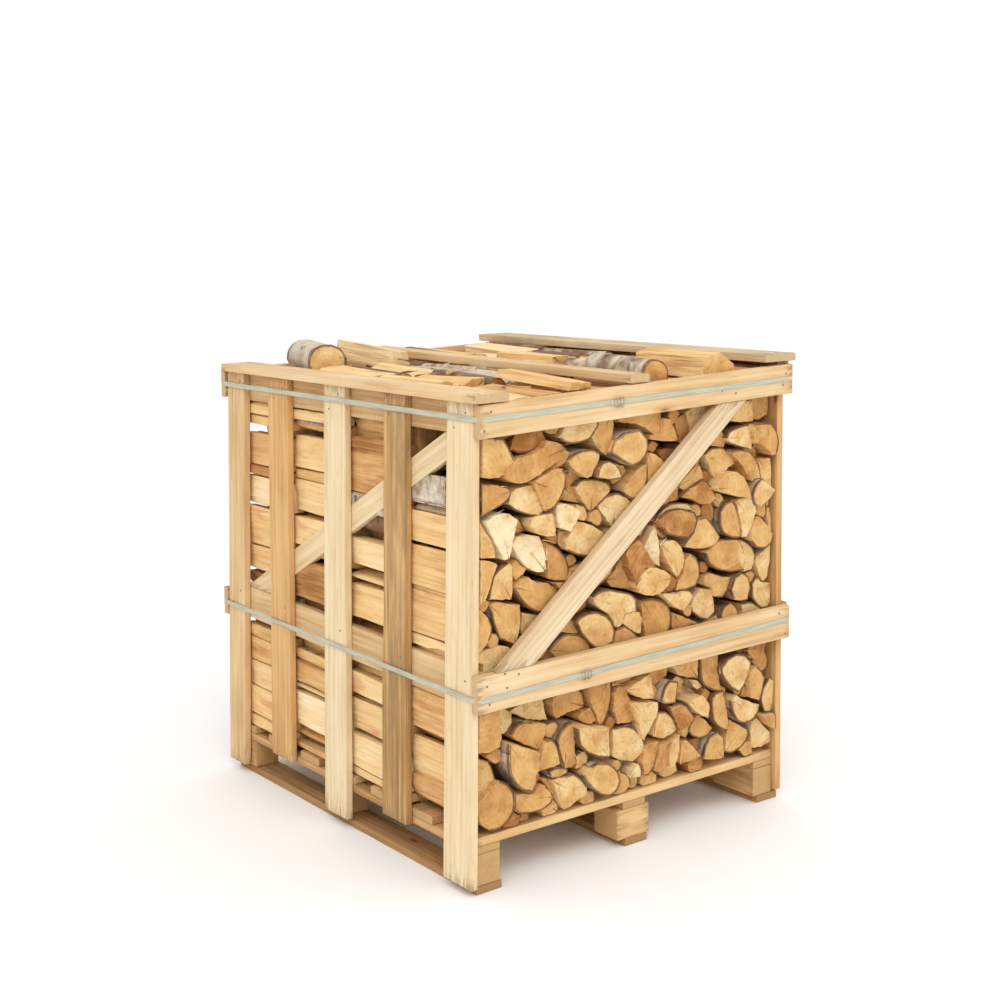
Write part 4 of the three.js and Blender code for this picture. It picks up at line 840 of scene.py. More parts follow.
2 w 3.6 943.5,1123.6 938.3,1151 923.9,1173 902.9,1185.2 879.7,1185.2 858.8,1173 844.3,1151 839.2,1123.6 880.9,1111.6
2 p 8.1 1023.3,1138.7 1019.4,1161.1 1008.7,1179 993.1,1189 975.8,1189 960.2,1179 949.4,1161.1 945.5,1138.7 976.6,1126.7
2 s -3.5 1005,1090 947,1085 927,1055 915,1030 927,1010 951,996 986,995 1006,1000
2 o -2.5 908,1075 890,1111 830,1118 803,1068 821,1050 855,1044 891,1045 915,1054
2 s 6.5 942,987 947,1004 926,1023 909,1037 873,1041 839,1052 818,1072 784,1061 763,1047 775,1027 806,1008 828,998 843,990 874,977 903,973
2 g -5.5 773,1071 748,1102 704,1121 646,1123 643,1091 669,1061 695,1054 736,1053 761,1062
2 w 10.2 617,1022 601,1050 571,1067 525,1070 501,1048 498,1025 508,1004 525,990 552,983 585,1001
2 r 10.2 669,966 666,985 653,999 634,1004 611,994 598,978 591,958 631,957
2 w -1.4 749,1014 730,1026 702,1033 667,1033 647,1021 651,1001 667,983 674,967 693,966 718,981 740,996
2 s -2.1 747,1039 731,1030 747,1007 772,998 794,995 803,996 778,1010 759,1026
2 o -1.1 863,976 827,989 793,1000 775,1000 762,982 766,956 778,930 797,906 825,899 837,920 846,943
2 s -3.3 1023,985 988,982 956,974 927,961 933,945 957,931 986,921 1021,911
2 s 3.7 919,954 892,965 859,966 841,943 829,917 824,897 836,889 869,896 905,910 928,927
2 s 9.7 716,945 694,960 646,957 610,944 600,928 623,908 646,893 669,878 688,903 707,927
2 s -3.2 647,894 621,911 582,916 549,902 532,885 559,861 599,830 622,856 638,875
2 s 1.7 574,921 554,939 534,960 511,977 487,980 490,945 501,916 518,897 548,898
2 p 5 787,911 759,913 731,900 712,885 725,865 744,840 763,848 779,852 788,880
2 s 8.3 867,888 840,894 803,894 794,867 794,837 825,839 852,852 873,872
2 p 11.9 1003,895 980,908 954,912 927,904 910,888 919,858 928,826 935,799 952,801 969,832 986,862
2 s 4.3 1025,895 1006,880 989,857 977,832 975,808 1027,813
2 p 10.2 917,829 899,846 860,846 829,839 817,816 809,783 812,749 840,751 870,767 894,790
2 o -0.3 819,828 791,815 763,791 745,764 739,739 742,719 780,722 805,731 804,777
2 s -2.9 716,862 674,850 639,830 616,812 619,790 642,773 675,768 716,778 751,795 754,818 735,840
2 o -3.2 800,722 750,717 741,745 712,749 664,755 680,699 729,677 766,695 788,708
2 s 10.4 1030,807 989,803 968,791 983,765 993,735 1005,713 1019,704 1030,707
2 s -4 971,763 950,779 926,790 915,779 915,741 919,698 954,703 987,708 980,736
2 n -0.6 915,726 894,742 867,746 840,727 806,722 784,707 769,692 791,676 819,655 834,653 865,668 892,694
2 o -0.6 982,693 961,699 923,688 890,681 890,640 897,612 906,586 936,601 954,609 968,638
2 s 11.8 882,659 858,653 824,645 809,625 858,589 886,608
2 s 1.5 1030,695 1010,686 990,668 979,643 982,624 997,600 1017,585 1030,586
2 s -3.3 1026,580 993,587 961,593 928,585 902,568 917,546 935,516 983,505 1030,514
2 o -2.6 838,521 816,540 794,551 769,529 725,501 773,492 820,501
2 o 4.9 804,555 779,573 747,585 703,575 671,555 664,531 687,505 748,500 783,534
2 o 9.2 761,591 742,613 722,617 707,597 687,574 723,580
2 r 7.8 725,614 712,624 686,630 657,628 628,613 608,592 598,568 602,543 625,534 658,535 681,554 706,581
2 n 6.1 676,669 650,680 611,677 544,657 527,639 527,611 568,609 578,583 598,578 614,609 637,628 663,642
2 s -4.5 567,582 560,606 536,610 509,603 502,582 506,549 520,548 543,565
2 s 0.7 589,570 562,576 528,555 504,530 508,492 576,503 602,534
2 o 11.2 573,767 549,789 526,793 505,770 485,737 468,716 505,719 522,696 539,688 556,716
2 p -2.1 539,681 522,707 494,721 460,713 425,695 415,678 432,657 464,644 501,645 532,660
2 p 1.1 495,768 474,799 457,818 443,780 440,746 440,712 457,717 474,737
2 p -1.8 441,767 420,777 388,773 367,752 356,725 360,699 381,673 403,695 424,726
2 s 0.3 349,714 327,727 309,717 295,691 295,662 309,640 345,635 381,638 377,658 356,679
2 d -2.1 454,837 423,854 381,856 331,840 320,818 331,785 349,774 388,782 423,794 440,812
2 g 1.1 339,764 321,790 307,818 278,819 252,795 226,762 237,740 278,735 325,741 357,750
2 g 10.2 229,827 211,846 181,853 166,820 154,783 150,750 184,752 214,767 229,790
2 o 3.4 228,750 165,745 161,717 168,699 138,660 183,661 239,674 272,698 283,726 254,738
2 o 0.3 286,667 256,668 215,651 178,646 189,618 215,597 245,602 256,628 285,638
2 s 5.7 187,647 160,657 134,642 126,611 137,586 164,582 190,588 201,617
2 s 1.5 326,586 308,612 286,628 246,622 238,591 234,558 260,541 290,551 319,572
2 s -2.4 448,643 396,635 346,635 335,620 353,597 371,586 399,601 424,623
2 s -2.2 501,632 453,630 411,610 397,585 400,543 436,504 484,513 494,574
2 o 2.1 393,585 358,568 307,544 307,496 386,497 397,543
2 s -2 226,551 214,571 188,578 166,561 158,527 222,524
2 s 4.7 281,982 252,998 215,997 185,976 163,952 189,939 219,920 241,912 255,932 266,960
2 p 4.3 270,892 252,911 223,932 186,933 156,914 137,880 129,853 182,864 234,880
2 o -5.6 375,883 347,898 296,919 278,912 256,889 245,869 264,852 296,854 332,871
2 o -4.8 264,1004 242,1023 217,1039 202,1017 209,996
2 o -2.3 482,1041 482,1051 444,1060 444,1095 410,1088 396,1058 385,1029 420,1030
2 o -5.4 380,1081 331,1097 320,1050 324,1019 352,1019 366,1046
2 s -1.5 338,1096 288,1125 267,1124 270,1082 288,1047 317,1021 324,1058
2 s -4.3 485,1010 457,1002 437,988 423,968 457,939 485,921 488,965
2 d 6.3 439,1009 401,1011 359,1004 394,974 418,971
2 s 4 1030,446 1004,461 965,458 963,412 958,372 964,351 994,343 1030,347
2 s -3.5 1020,326 982,315 971,293 962,264 972,241 990,228 1013,226 1021,265
2 g 6.1 949,360 911,344 871,326 853,317 856,280 866,263 869,241 879,226 903,232 927,252 945,283 950,321
2 s -4.7 921,366 909,385 884,393 848,383 813,373 811,355 823,330 833,312 870,330 906,350
2 g 9 915,419 879,434 807,440 802,406 792,374 836,381 867,392 894,410
2 o 12 783,426 751,443 703,444 681,412 677,385 710,382 745,379 771,374 783,389
2 s 1.5 824,335 805,334 790,320 781,296 775,267 790,263 816,263 844,262 837,291
2 g 6.1 785,327 776,347 753,363 734,364 728,322 725,278 722,257 738,246 758,252 767,275 779,308
2 s -1.8 735,353 693,347 661,335 628,331 628,295 625,253 661,263 700,282 726,305 732,330
2 s 11.9 598,316 561,317 527,304 500,278 490,252 504,231 528,218 575,228 599,244
2 s -2.3 676,436 646,458 600,457 600,398 610,364 624,336 637,328 650,359 666,398
2 s 10.3 600,410 580,425 557,412 533,366 519,332 543,321 584,327 597,361
2 s 4.1 808,233 773,233 741,236 716,217 693,189 697,172 726,163 752,152 768,150 784,172 796,203
2 s 11 922,225 895,221 864,213 845,232 830,228 805,192 812,181 837,169 871,168 911,175 923,188
2 w 11.5 812,255 787,257 755,250 752,239 778,234 806,238
2 w 10.4 717,230 697,243 668,249 628,238 602,214 592,186 602,165 625,155 655,164 684,187 704,209
2 s -5.1 567,416 540,429 488,445 482,410 475,375 513,382 543,396
2 w 11.2 448,367 437,396 420,411 392,403 395,372 399,349 438,354
2 s 1.6 465,300 451,332 430,330 405,309 391,277 412,266 447,262 468,272
2 o -3.1 419,343 387,347 362,334 337,300 355,277 384,272 398,299 416,326
2 s -4.8 403,445 360,467 309,471 309,396 345,403 378,414
2 o -3.1 298,444 235,460 228,407 224,368 209,338 246,348 283,371 294,390
2 p 2.9 363,345 341,354 309,353 290,330 287,308 294,293 316,300 345,322
2 g -1.9 334,254 319,278 301,293 272,273 246,246 264,231 294,229 323,241
2 s -0.3 256,326 242,342 215,343 204,311 196,265 200,230 230,245 253,271
2 s -3.5 235,412 213,432 179,440 145,431 122,408 129,379 145,351 164,333 190,346 217,373 235,396
2 g -3.5 191,313 172,326 149,310 87,282 91,263 110,247 141,242 168,253 187,282
2 w -1.7 282,202 264,228 238,234 219,216 215,160 252,163 293,172
2 s 9.3 369,242 355,242 329,220 300,184 333,178 373,178 373,216
2 p 9.9 411,248 386,262 386,227 393,202 408,178 422,184 425,217
2 o 6 450,251 418,252 425,214 436,182 457,176 474,185 464,220
2 s 0.6 503,240 486,260 451,258 461,226 472,196 493,177 507,178 513,216
2 p 7.1 556,184 543,205 526,214 519,197 519,178
2 w 11.7 339,394 314,392 292,369 314,365 332,379
2 o 4.7 876.5,540.2 834.9,504.4 845.1,466.4 880,436.4 908.7,424.2 959.6,446.3 958.6,497.4 931.5,514.9
2 g 7.7 372.1,956.8 336.3,919 373.4,887 408.2,858.1 447.3,871.2 476,895.8 455.1,937.4 418.2,967.7
2 g 13.8 456.1,834.7 475.1,802.2 519.5,788.9 572,801.4 575.6,845.1 535.5,878.7 500,901.2 463.4,881.8
2 s 0.2 664.3,743.9 639.8,772.6 604.9,791.6 574.5,757.1 564.4,730.1 564.3,698.7 589.1,672.9 610.8,680 639.7,682.4 674.4,709.9
2 o 13.5 926.1,188.4 929.3,150.5 948.3,143.2 986.2,143 1015.5,143.9 1027.9,189.1 1025.8,228.2 987.9,226.2 957.3,246.7 921.7,233.8
2 s 6.8 219.7,1040.1 262.4,1031.8 276,1069.1 265.4,1112.6 253.6,1130.3 214.9,1129.4 158.6,1126 168.1,1080.7 179.3,1047.8
2 g 1.1 301.3,920.8 345.3,931.2 362.3,950.3 392,974.3 362.2,997.6 342,1014.3 290.4,1033.4 271,1007.9 272.6,964.4 278.9,926.6
2 d 7.4 492.6,509.5 442.7,503.9 414.7,499 388.9,470.2 397.4,432.1 424.2,412.8 448.6,398.1 481.1,427.2 496.9,449.3 504.9,471.7
2 s -1.6 135,207.2 120.2,169.1 138.6,142.6 177.2,142.6 214.1,143.3 213.9,181.3 214.9,214 184.2,252.5 144.7,231.7
2 o 7 208.9,437.1 229.6,452.1 258.5,467.8 231.2,516.2 203.6,522.4 183,523 148.9,523.7 142.3,487.3 144.6,442 180.2,445.9
2 s -2.1 746.3,681.1 707.1,669.1 718,643.8 739.1,617.2 757.2,600.9 788.3,588.3 818.1,610.4 809.7,649 795.3,671.2 769.1,689.9
2 s 3.3 526.9,492.7 520.6,466.9 520.7,452.1 544.5,430.8 559.7,424.1 593.5,423.8 596.3,449.1 607,476.7 590.2,496.3 564.3,499.9
2 g -3.6 141.1,1166.2 116.3,1186 90.4,1163.3 66,1131.9 73.7,1103.3 101.7,1097 125.1,1095.2 147.6,1091.3 155.6,1124.1 165,1161
2 w 6.9 678.1,508.1 667.3,525.3 634.3,531.6 604.5,531.2 592.1,498.9 608.6,478.4 633.3,460.6 668.1,447.5 676.6,468.1
2 d 10.9 517.8,300.5 515.1,332.5 516.9,359.1 488.5,375.7 459.5,379 440.1,336.8 461.6,317.2 481.8,300.1
2 s -2.9 804.5,552 823.2,539.2 838.3,524.5 849.1,520.3 874.1,542.3 883.8,554.1 889.5,583.2 853.8,588.5 836.6,595.3 811.2,577.1
2 d 9.1 278.4,470.5 298.1,480.4 304,507.2 302.7,526.8 279.6,543.2 261.8,536.2 242,523.9 240,507.8 251.1,489.4 262.5,471.2
2 o -1.6 751.9,446.1 772.7,437.7 803.5,433.1 827.9,459.3 822,480.4 787.2,493.6 756.8,490.4 745.1,477.3
2 s -1.4 820.1,1131.8 787,1138 751.7,1131.6 750,1104.4 762.3,1089.2 786,1064 805.7,1081.4 815.3,1097.6
2 s 0.6 393.3,1139.5 374.9,1139.2 350.7,1117.4 350.9,1102 376.4,1086.7 392.4,1066.2 407.4,1089.8 425.8,1105.8 411.8,1139.6
2 o 13.8 603.9,1061.2 612.9,1038 627,1004.9 647.9,1024.7 669.1,1042.4 666.6,1059.3 640.4,1081.7 610.7,1088.4
2 s 7.1 228.3,1157.4 225.3,1133.1 253.4,1134 277.7,1148.9 281.6,1163.1 287.2,1197.6 257.7,1197.5 242.5,1196.5 210.1,1181.4
2 o -0.2 681,486.6 680.3,469.9 677.3,440.7 695.3,439.6 717.7,446.4 737.4,456.5 737.9,477 727.8,497.4 712.8,501.2 697.6,500.7
2 d 13.1 391,352.1 392.5,366.6 391.2,382.8 389.6,406.7 364.5,408 350.8,400.7 339.4,384.5 331.3,356.7 346.4,356.8 362.5,348
2 s 3.4 460.4,1115.3 449.7,1091.2 449.3,1073.9 462.1,1061.2 473.2,1056 492.2,1058.2 507.7,1077.6 505.1,1107.2 480.3,1111.3
2 w 14.4 716.3,939.9 708.1,914.2 735.1,907.4 757.1,915.9 772.1,925.6 767.9,946.3 751.3,965.1 721.5,971.4
2 s 15.8 593.2,1152.6 613.1,1152 623.6,1152.7 645.4,1162.6 647,1184.3 634.8,1201.2 608.8,1201.8 589.7,1198.9 577,1190.9 579.1,1167.3
2 o 11.3 107.1,709.7 98.3,684 127.2,679 147.4,677.4 163.9,699 157.2,713.8 140.9,733.3 122.2,731.7
2 s 7.1 924.6,429.1 913.2,416 896.2,394.2 910.5,387.3 923.8,358.8 936.8,360.3 955.1,375.9 958,398.2 956.8,421.3 950.3,433.6
2 o -1.2 145.7,1017.3 142.7,995.3 149.2,981.1 170.4,968.5 190.2,985.2 204.7,993.2 201.6,1013.2 195.3,1030 164.9,1027.7
2 o 3.4 144.8,811.3 118.3,798.7 102.7,791.5 104.1,766.1 112.6,756.1 134.7,747.3 149.3,760.5 153.4,788.1
2 w 7.2 599.8,160.5 592,180.7 576.6,201.7 558.5,181.4 540,163.8 547,144 567.7,142.4 589.5,142.2
2 d 14.8 540.6,1073.3 553.1,1070.5 565.2,1074.5 586,1092.3 571.9,1104.3 561.6,1113.8 542.5,1119.4 534.8,1111.6 520,1095.6 523.5,1076.7
2 s 3.2 260.1,806.9 271.8,815.1 284.8,836.7 277,847.3 258.2,855.7 235.6,849.1 226.5,833.2 232.5,817.4 243.9,801.9
2 o 12.1 994,503.5 976.4,488.9 979.3,469.8 1001.9,462.9 1021.5,459.5 1030.4,475.5 1031.9,494.3 1015.1,509
2 o -2.6 583.7,930.6 589.6,957.4 590.9,969.3 580.8,990.4 556,981.6 541.5,975.5 547.5,954.3 557.4,941.8
2 s 10.1 393,142.2 407,142.3 418.6,153 422,173.4 403.4,179.5 389.8,194 374.6,177.7 354,162.8 365.9,152.2 382.3,143.5
2 s -0.9 934.1,1118 918.1,1115.2 896.7,1106.4 902.1,1095.8 909,1084 917.9,1060.6 932.8,1069.5 940.7,1082.9 956,1095.2 944.3,1113.2
2 s -0 926.1,1208.9 903.4,1198.1 920.4,1178.5 927.3,1173.5 937.7,1162 951.2,1172.9 959,1181.5 961.4,1193.5 949,1209.3 935,1209.8
2 d -2.5 449.5,1178.6 457.1,1163.9 462.2,1149.1 483.6,1152.5 489.4,1157.2 503.8,1173.1 489.1,1183.1 476.1,1197.9 457.5,1195
2 g 4.2 419.1,668.9 410.2,681.9 387.1,673.3 376.9,664.5 382.9,644.2 394.7,638.7 411,641.3 431.1,650.5
2 s -3.5 1031.5,1101.4 1031.5,1116.6 1028.6,1138.1 1012.1,1133.9 999.2,1128.8 984.8,1118.4 986.7,1093.1 1006.2,1094.4 1016.6,1082.7
2 s 8 314.3,142.5 329.7,143.1 342,161.5 324.3,176.7 311,180 295.3,183.8 283.1,167.6 282.1,144.4 296.9,142.4
2 s -3.3 505.9,162.4 491.4,173.5 474.8,182 462.4,176.3 449.4,168.4 451.7,146.7 466.9,143.5 480.8,143.3 496,142.7
2 o 10.2 104,664.3 90.1,647.7 96.5,636.8 107.9,622.3 124.3,623.1 131.4,641.2 137,662.6 113.7,667.9
2 d -1.4 827.5,144.2 827.5,165.3 815.6,177.3 797.6,193.7 788.6,172.1 780.2,163.1 781.4,152.2 797.7,142.5 807.4,142.8
2 o -2.8 778.8,808.6 786.7,815.2 794.6,820.1 791,838.6 784.7,849.5 775.9,849.9 760.2,845.2 745.3,836.7 758.5,818.9 764.2,808.3
2 s -0.9 347.6,1114.5 357.6,1128.9 343.6,1143.8 326.7,1143.7 305.8,1138.1 304.6,1118.2 318.8,1112.6 333.9,1102.4
2 s 9.4 120.2,344.1 133.8,364.7 126.6,375 115.3,395.5 101.9,386.3 93.2,374.5 90,354.8 108.5,348.1
2 o 5.2 613.8,805.1 611.4,817.8 598.3,827.5 578.1,828.5 576.8,813.4 571.7,791.1 591.7,780.1 603.8,795.3
2 g 2.8 700,362.2 692.6,382 682.4,381 670.3,385.3 661.1,372.1 654.1,359.7 659.4,344.7 674.6,342.1 682.2,347.2 690.9,348.6
2 s 3.7 843.8,1207.9 831,1206.8 824.1,1190.2 830.1,1179.6 836.7,1165.9 844.7,1166 857.7,1177.1 874,1186.9 870.9,1195.5 856.2,1207.5
2 s 0.5 168.5,926.5 170.9,945.9 163.1,949.1 150.8,960 134.7,952.5 130,935.1 130.9,928.1 136.6,907.2 150.9,910 161.8,923.2
2 g 13.3 427.2,1110.3 433.2,1097 447.1,1097.1 453.4,1108 459.7,1116.4 458.8,1126.9 445.5,1143.4 438,1139.9 416.1,1138.1 420.5,1124.6
2 s 5.9 673.3,872.6 657.7,881.7 648.4,887.4 637.5,869.2 626.4,857 640.3,842.3 653.5,842 663.4,849.1 676.7,854.1
2 o 6.8 679.4,885.9 670,876.3 677.4,869.4 686.7,856.7 695.6,860.4 708.8,865.1 710.9,882.6 707,892.1 687.4,897.5
2 s 0.9 283.1,321 291.7,336.5 296.7,357.1 277.6,359.2 264.3,356.3 252.3,349.9 250,338.8 259.4,330.1 272.4,314
2 o 15.6 914,868.9 908.8,885.2 893.8,889.9 881,891.5 877.3,874.3 864.7,861.8 881.9,850.8 893.1,850 917.6,852.3
2 s 7.7 708.6,657.3 694.7,671.5 681,672.3 672.6,654.7 665.7,640.7 679.3,633.1 694,632.4 715.2,643.7
2 g 4.6 37.4,884.5 36,873.5 36.8,850.5 53,850 67.4,864.6 73.9,876 66.5,893.1 49.4,893.8
2 d 6.1 700.3,145.8 701.9,159.7 693.3,172 681,180 666.9,171.1 662,157.4 666.7,142.2 684.1,142.1
2 s -3.6 873.8,753.4 888.3,747 899.9,742.9 910.7,755.4 911,772.5 899.6,787.4 888.4,779.1 874.5,766.5
2 o 14.2 130.9,890 122.3,894.2 108.2,893.1 89.3,884.2 94.6,871.2 104.3,863.3 118.7,852.5 127.3,863.8 131.8,873.3
2 g -0.2 284.4,823.5 300.3,823 317.4,812.4 320.4,827.2 327.9,839.5 322.5,852.5 314,856.3 299.9,852.8 291.1,851.4 286.1,839.8
2 s 9.6 717.5,241.7 721.3,254.9 719.5,264.4 718.7,277.2 706.9,285.5 691,274.2 686.3,268.8 678.3,256 692.9,246.8 700.5,244.1
2 d 5.4 984.6,341.7 968.7,348 955.9,347.4 954.7,332.5 954.5,318.9 958.6,309.2 972.9,308.2 981.5,316.8 996,326.9
2 w 8.4 138,1178.8 147.8,1169 162.3,1164 169.4,1165.8 176.7,1173.6 183.2,1191.2 168,1197 159.1,1197.8 143,1194.6
2 s 3.8 620.9,337.8 611.9,355.3 596.9,349.8 593.2,337.6 588.5,327.6 597.9,320.6 603,308.2 621.7,316.6 628,332.4
2 s 8.3 529.6,176.5 517.2,177.4 502.1,174.8 508.2,160.2 502.8,147.2 521.4,142 531.6,142.8 539.8,148.8 537.2,163
2 s 0.7 808,356.7 809.2,366.3 796,373.5 784,378.6 774,364.8 770,356.7 780.7,347.8 784.4,337.5 802.1,336.4 812.4,343.3
2 g 15.4 148,852.6 132.2,850.1 134.2,837.4 143.9,830.3 151.9,822.1 163.6,824.8 168.8,833.9 174.4,848.2 173.9,856.8 158.8,857.3
2 o 0 925.5,169.3 912.9,173.3 901.1,170.4 884.9,162.4 889.5,148.3 896.4,142.3 910.4,142.2 920.7,143.3 926,154.8
2 s 13.1 552.8,697.7 545.1,691.7 542,680.4 539.2,669.2 552.9,662.3 566,667.5 577.6,675.7 573.1,685.7 567.6,693.8
2 s -2.4 289.9,295.9 281.5,316.1 267.4,315.5 259,299.2 258.2,291.5 258.1,274.5 275.9,278.5 282.8,285.1
2 o 0.4 537.2,1157.1 546.7,1142 563.2,1153 565.9,1164.3 558.4,1180.7 548.7,1182 534.9,1181.1 522.3,1170.2
2 o 15 302,188.4 310,202.7 314.6,216.9 310.3,228.2 292.1,227 280.7,220 284.8,205.4 289.5,194.1
2 o 5.3 961.7,1088.4 975.8,1094.9 981.7,1106.7 979.1,1125.2 967.9,1125.9 950.3,1125.4 946.6,1114.7 954.1,1102.6
2 s -2.6 327.8,569 334.2,563.8 346.7,566.8 355,570.7 364,581 358.3,591.6 347.6,599.2 330.3,600.9 331.4,585.9 326,579.4
2 o 5 714.1,753.3 726.3,750 736.8,752.2 741.9,762.3 740.6,780.4 727.5,781.9 712.5,772.6 702.1,761.8
2 s 14 438,1001 451.6,1002 460.4,1006.8 467.9,1009.6 474.8,1025.4 468.4,1035.5 449.2,1033.7 443.6,1031.6 436.2,1020.7 428.7,1012.1
2 w 9.6 563.4,223.6 551,221.2 539.3,215.5 549.7,201.8 553.9,195.4 563.7,188.3 569.4,197.6 579.7,211.5 571.1,219.5
2 w 9.2 332.9,263.5 332.8,247.8 343.6,241.2 353.6,246.6 366.4,246.6 368,258.3 362.2,268.3 350.5,278 335.8,277.4
2 s 10.1 387.4,465.2 389.9,476.2 385.9,489.4 375.8,493.5 367.8,493.4 358.2,489.6 352.2,480.6 357.8,470.7 367.6,466.8 376.4,462.6
2 d 0.9 989.8,598.9 989.9,609.8 980.8,618.9 974.1,629.9 963.8,619.3 958.1,609.4 959.3,598.3 969.1,594.3 979.3,593.8
2 w -3.5 741.9,1111 746.8,1119.9 752.8,1138 737.1,1143.3 726.6,1138.9 712.7,1136.6 710.3,1122.5 722,1116.2 730.8,1112.1
2 o 6.9 838.5,254 834.3,260 822.8,259.7 816.5,251.4 812,245.1 812.3,232.3 822.3,228.4 829.5,230.4 837.3,232.6 849.8,246.9
2 s 6.8 499.5,297.6 484.4,298 474.6,294.9 470.6,286.1 472.4,278.9 472,268.6 485.4,264.1 493.1,268.8 497.6,278.5 500.5,289.1
2 o 11.1 981.2,702.4 986.5,692.7 987,681.8 996.4,678.1 1005.3,684.1 1008.6,690.3 1017.9,698.1 1006.2,709.7 998.1,718 988.9,706.6
2 d 6.3 216.3,846 230.4,847.6 236.1,852.9 242.5,867.6 234.4,877.1 216.2,874 208.6,869.3 201.4,852
2 g 15.1 712,352.6 720.3,354.8 730.5,359.2 732,365.3 729.9,377.4 720.4,379.3 713,379.7 700.1,374.4 704.3,363.4 699,355.5
2 o 3.8 65.2,1037.1 60.9,1043.6 50.9,1048 42.6,1038.4 40,1027 40.1,1020.5 45.9,1015.4 56,1014.6 64.5,1015 68,1028.6
2 d 6.1 288,669.5 291.9,680 290.5,688.4 282.6,697.3 272.2,692.5 263,687.5 261.9,670.2 275.9,670.2
2 o 13 396.6,519.5 394,511 392.4,500.3 405.3,492 414.3,503.3 427.5,507.2 417.9,519.3 411.8,526.9 396.5,529.6
2 d 7.2 119.9,601.9 110,587.3 108.1,578.8 108,568.7 119,566.3 125.3,566.4 136.3,569.1 137.9,578.5 133.5,588 129.2,598.7
2 g 11.8 584.7,1087.6 577.2,1079.2 573.1,1068.2 582.6,1064.7 592,1058.5 601.6,1065.6 604.4,1081.4 593.9,1086.7
2 g 3.6 893.6,563.8 886.2,558 880.2,545.5 890.6,538.7 897.6,534.1 906.3,538.5 914,547.3 905.6,558.2
2 o 8.7 203.6,319.8 204.9,325.1 205.6,337.9 205,346.7 189.8,343.4 181,339.4 176.2,327.6 185.1,322 190.9,316.4
2 o 8.5 759.2,992.2 748.7,1001.8 740.3,992.8 731.9,987.6 731.4,973.5 738.8,970.4 745,968 752.1,967.4 760.7,973.7 760.8,986
2 o 9.9 659.7,1125.1 669.8,1124.8 677.4,1124.5 689.8,1127.4 694,1136.5 684.8,1144.9 678.7,1149.2 667.4,1150.6 662.2,1143.6 660,1136.2
3 s 0.4 28.6,143.5 25.9,160.4 84.9,160.3 124.2,158.6 93.3,143.6
3 n -1.8 76.1,203.4 55.2,200.2 40.2,193.3 34.8,184.2 40.2,175 55.2,168.1 76.1,164.9 126.5,184.2
3 p -1.7 29,210.7 29.4,304.8 84.4,300.9 121.4,288.8 85.4,214.5
3 g -1.6 73.3,325.1 49.4,323.8 32.3,320.9 26.1,317.2 32.3,313.4 49.4,310.5 73.3,309.2 130.9,317.2
3 o 0 28.7,329.4 28.4,389.3 93.6,388.8 137.1,379.6 98.4,333.9
3 s -1.9 58.2,394.1 55.3,453.9 114,450.1 153.1,443.4 130,399.6
3 s 0.8 57.7,458.7 59.7,529.4 109.1,529.5 143.4,506.9 111.2,460.8
3 d -2 63.6,534.2 68,565.6 132.3,564.5 178.1,561.6 152,534.3
3 o -1.2 39.3,570.4 36.1,679.6 82.9,678.3 114.1,668.9 95,574.3
3 g 1.4 87.1,716 62.2,713.4 44.5,707.6 38.1,700 44.5,692.4 62.2,686.6 87.1,684 147,700
3 s 1.8 38.3,720.3 41.8,798.4 106.1,796.6 151.2,757.4 113.2,727.6
3 s -1.1 45.6,808.7 42.1,897.4 87.5,895.8 117.8,860.3 100.6,815.1
3 s -1.7 42.3,902.1 46.2,927.5 100.1,927.2 138.6,925.2 128.8,902.1
3 p -0.4 41.2,932.3 45.7,1020.4 100.5,1015.2 140,988.7 113.7,938.1
3 g 0 94.4,1069.8 69.5,1066.3 51.7,1058.7 45.3,1048.6 51.7,1038.6 69.5,1031 94.4,1027.5 154.4,1048.6
3 s 0.6 72.1,1074.2 69.2,1093.9 120.7,1092.9 155,1081.3 129.7,1073.8
3 n 6 196,1140 262,1142 266,1168 248,1190 222,1196 200,1184 190,1162
3 p 2 276,1130 402,1146 396,1172 342,1196 300,1188 270,1160
3 w 1.1 456.2,1135.4 453.1,1159.6 444.7,1179 432.5,1189.8 419,1189.8 406.8,1179 398.4,1159.6 395.4,1135.4 419.7,1123.4
3 g 12.7 519.8,1113.5 516.8,1133.7 508.4,1149.9 496.3,1158.9 482.8,1158.9 470.6,1149.9 462.2,1133.7 459.2,1113.5 483.5,1101.5
3 g 10.2 600.2,1095 596.2,1125.4 585.2,1149.7 569.2,1163.2 551.4,1163.2 535.4,1149.7 524.4,1125.4 520.4,1095 552.3,1083
3 p -5.1 706,1186.8 674.8,1184.6 633.2,1184.9 602,1177 610.3,1156.9 643.6,1136.7 685.2,1146.8
3 p 0.9 770.1,1156.9 750.9,1163.6 725.3,1161.8 706,1153.1 711.2,1123.4 731.7,1095.6 757.3,1109.5
3 s 2.7 819.2,1204.3 794.5,1179.2 773.9,1157.2 798.6,1138.4 835.7,1141.6 856.3,1160.4 839.8,1185.5
3 s 7.9 928.4,1160.8 925.1,1180.8 915.7,1196.9 902,1205.8 886.9,1205.8 873.3,1196.9 863.9,1180.8 860.5,1160.8 887.7,1148.8
3 g 13.7 1011.3,1091.1 1007.4,1121.1 996.4,1145.3 980.5,1158.7 962.9,1158.7 947,1145.3 936,1121.1 932,1091.1 963.8,1079.1
3 o 5.5 145,1075 163,1111 223,1118 250,1068 232,1050 198,1044 162,1045 138,1054
3 g 5 280,1071 305,1102 349,1121 407,1123 410,1091 384,1061 358,1054 317,1053 292,1062
3 o 2.7 383,1066 409,1101 409,1118 458,1119 461,1087 451,1030 437,1012 418,1024 402,1042
3 w 10.5 436,1022 452,1050 482,1067 528,1070 552,1048 555,1025 545,1004 528,990 501,983 468,1001
3 r 5.3 384,966 387,985 400,999 419,1004 442,994 455,978 462,958 422,957
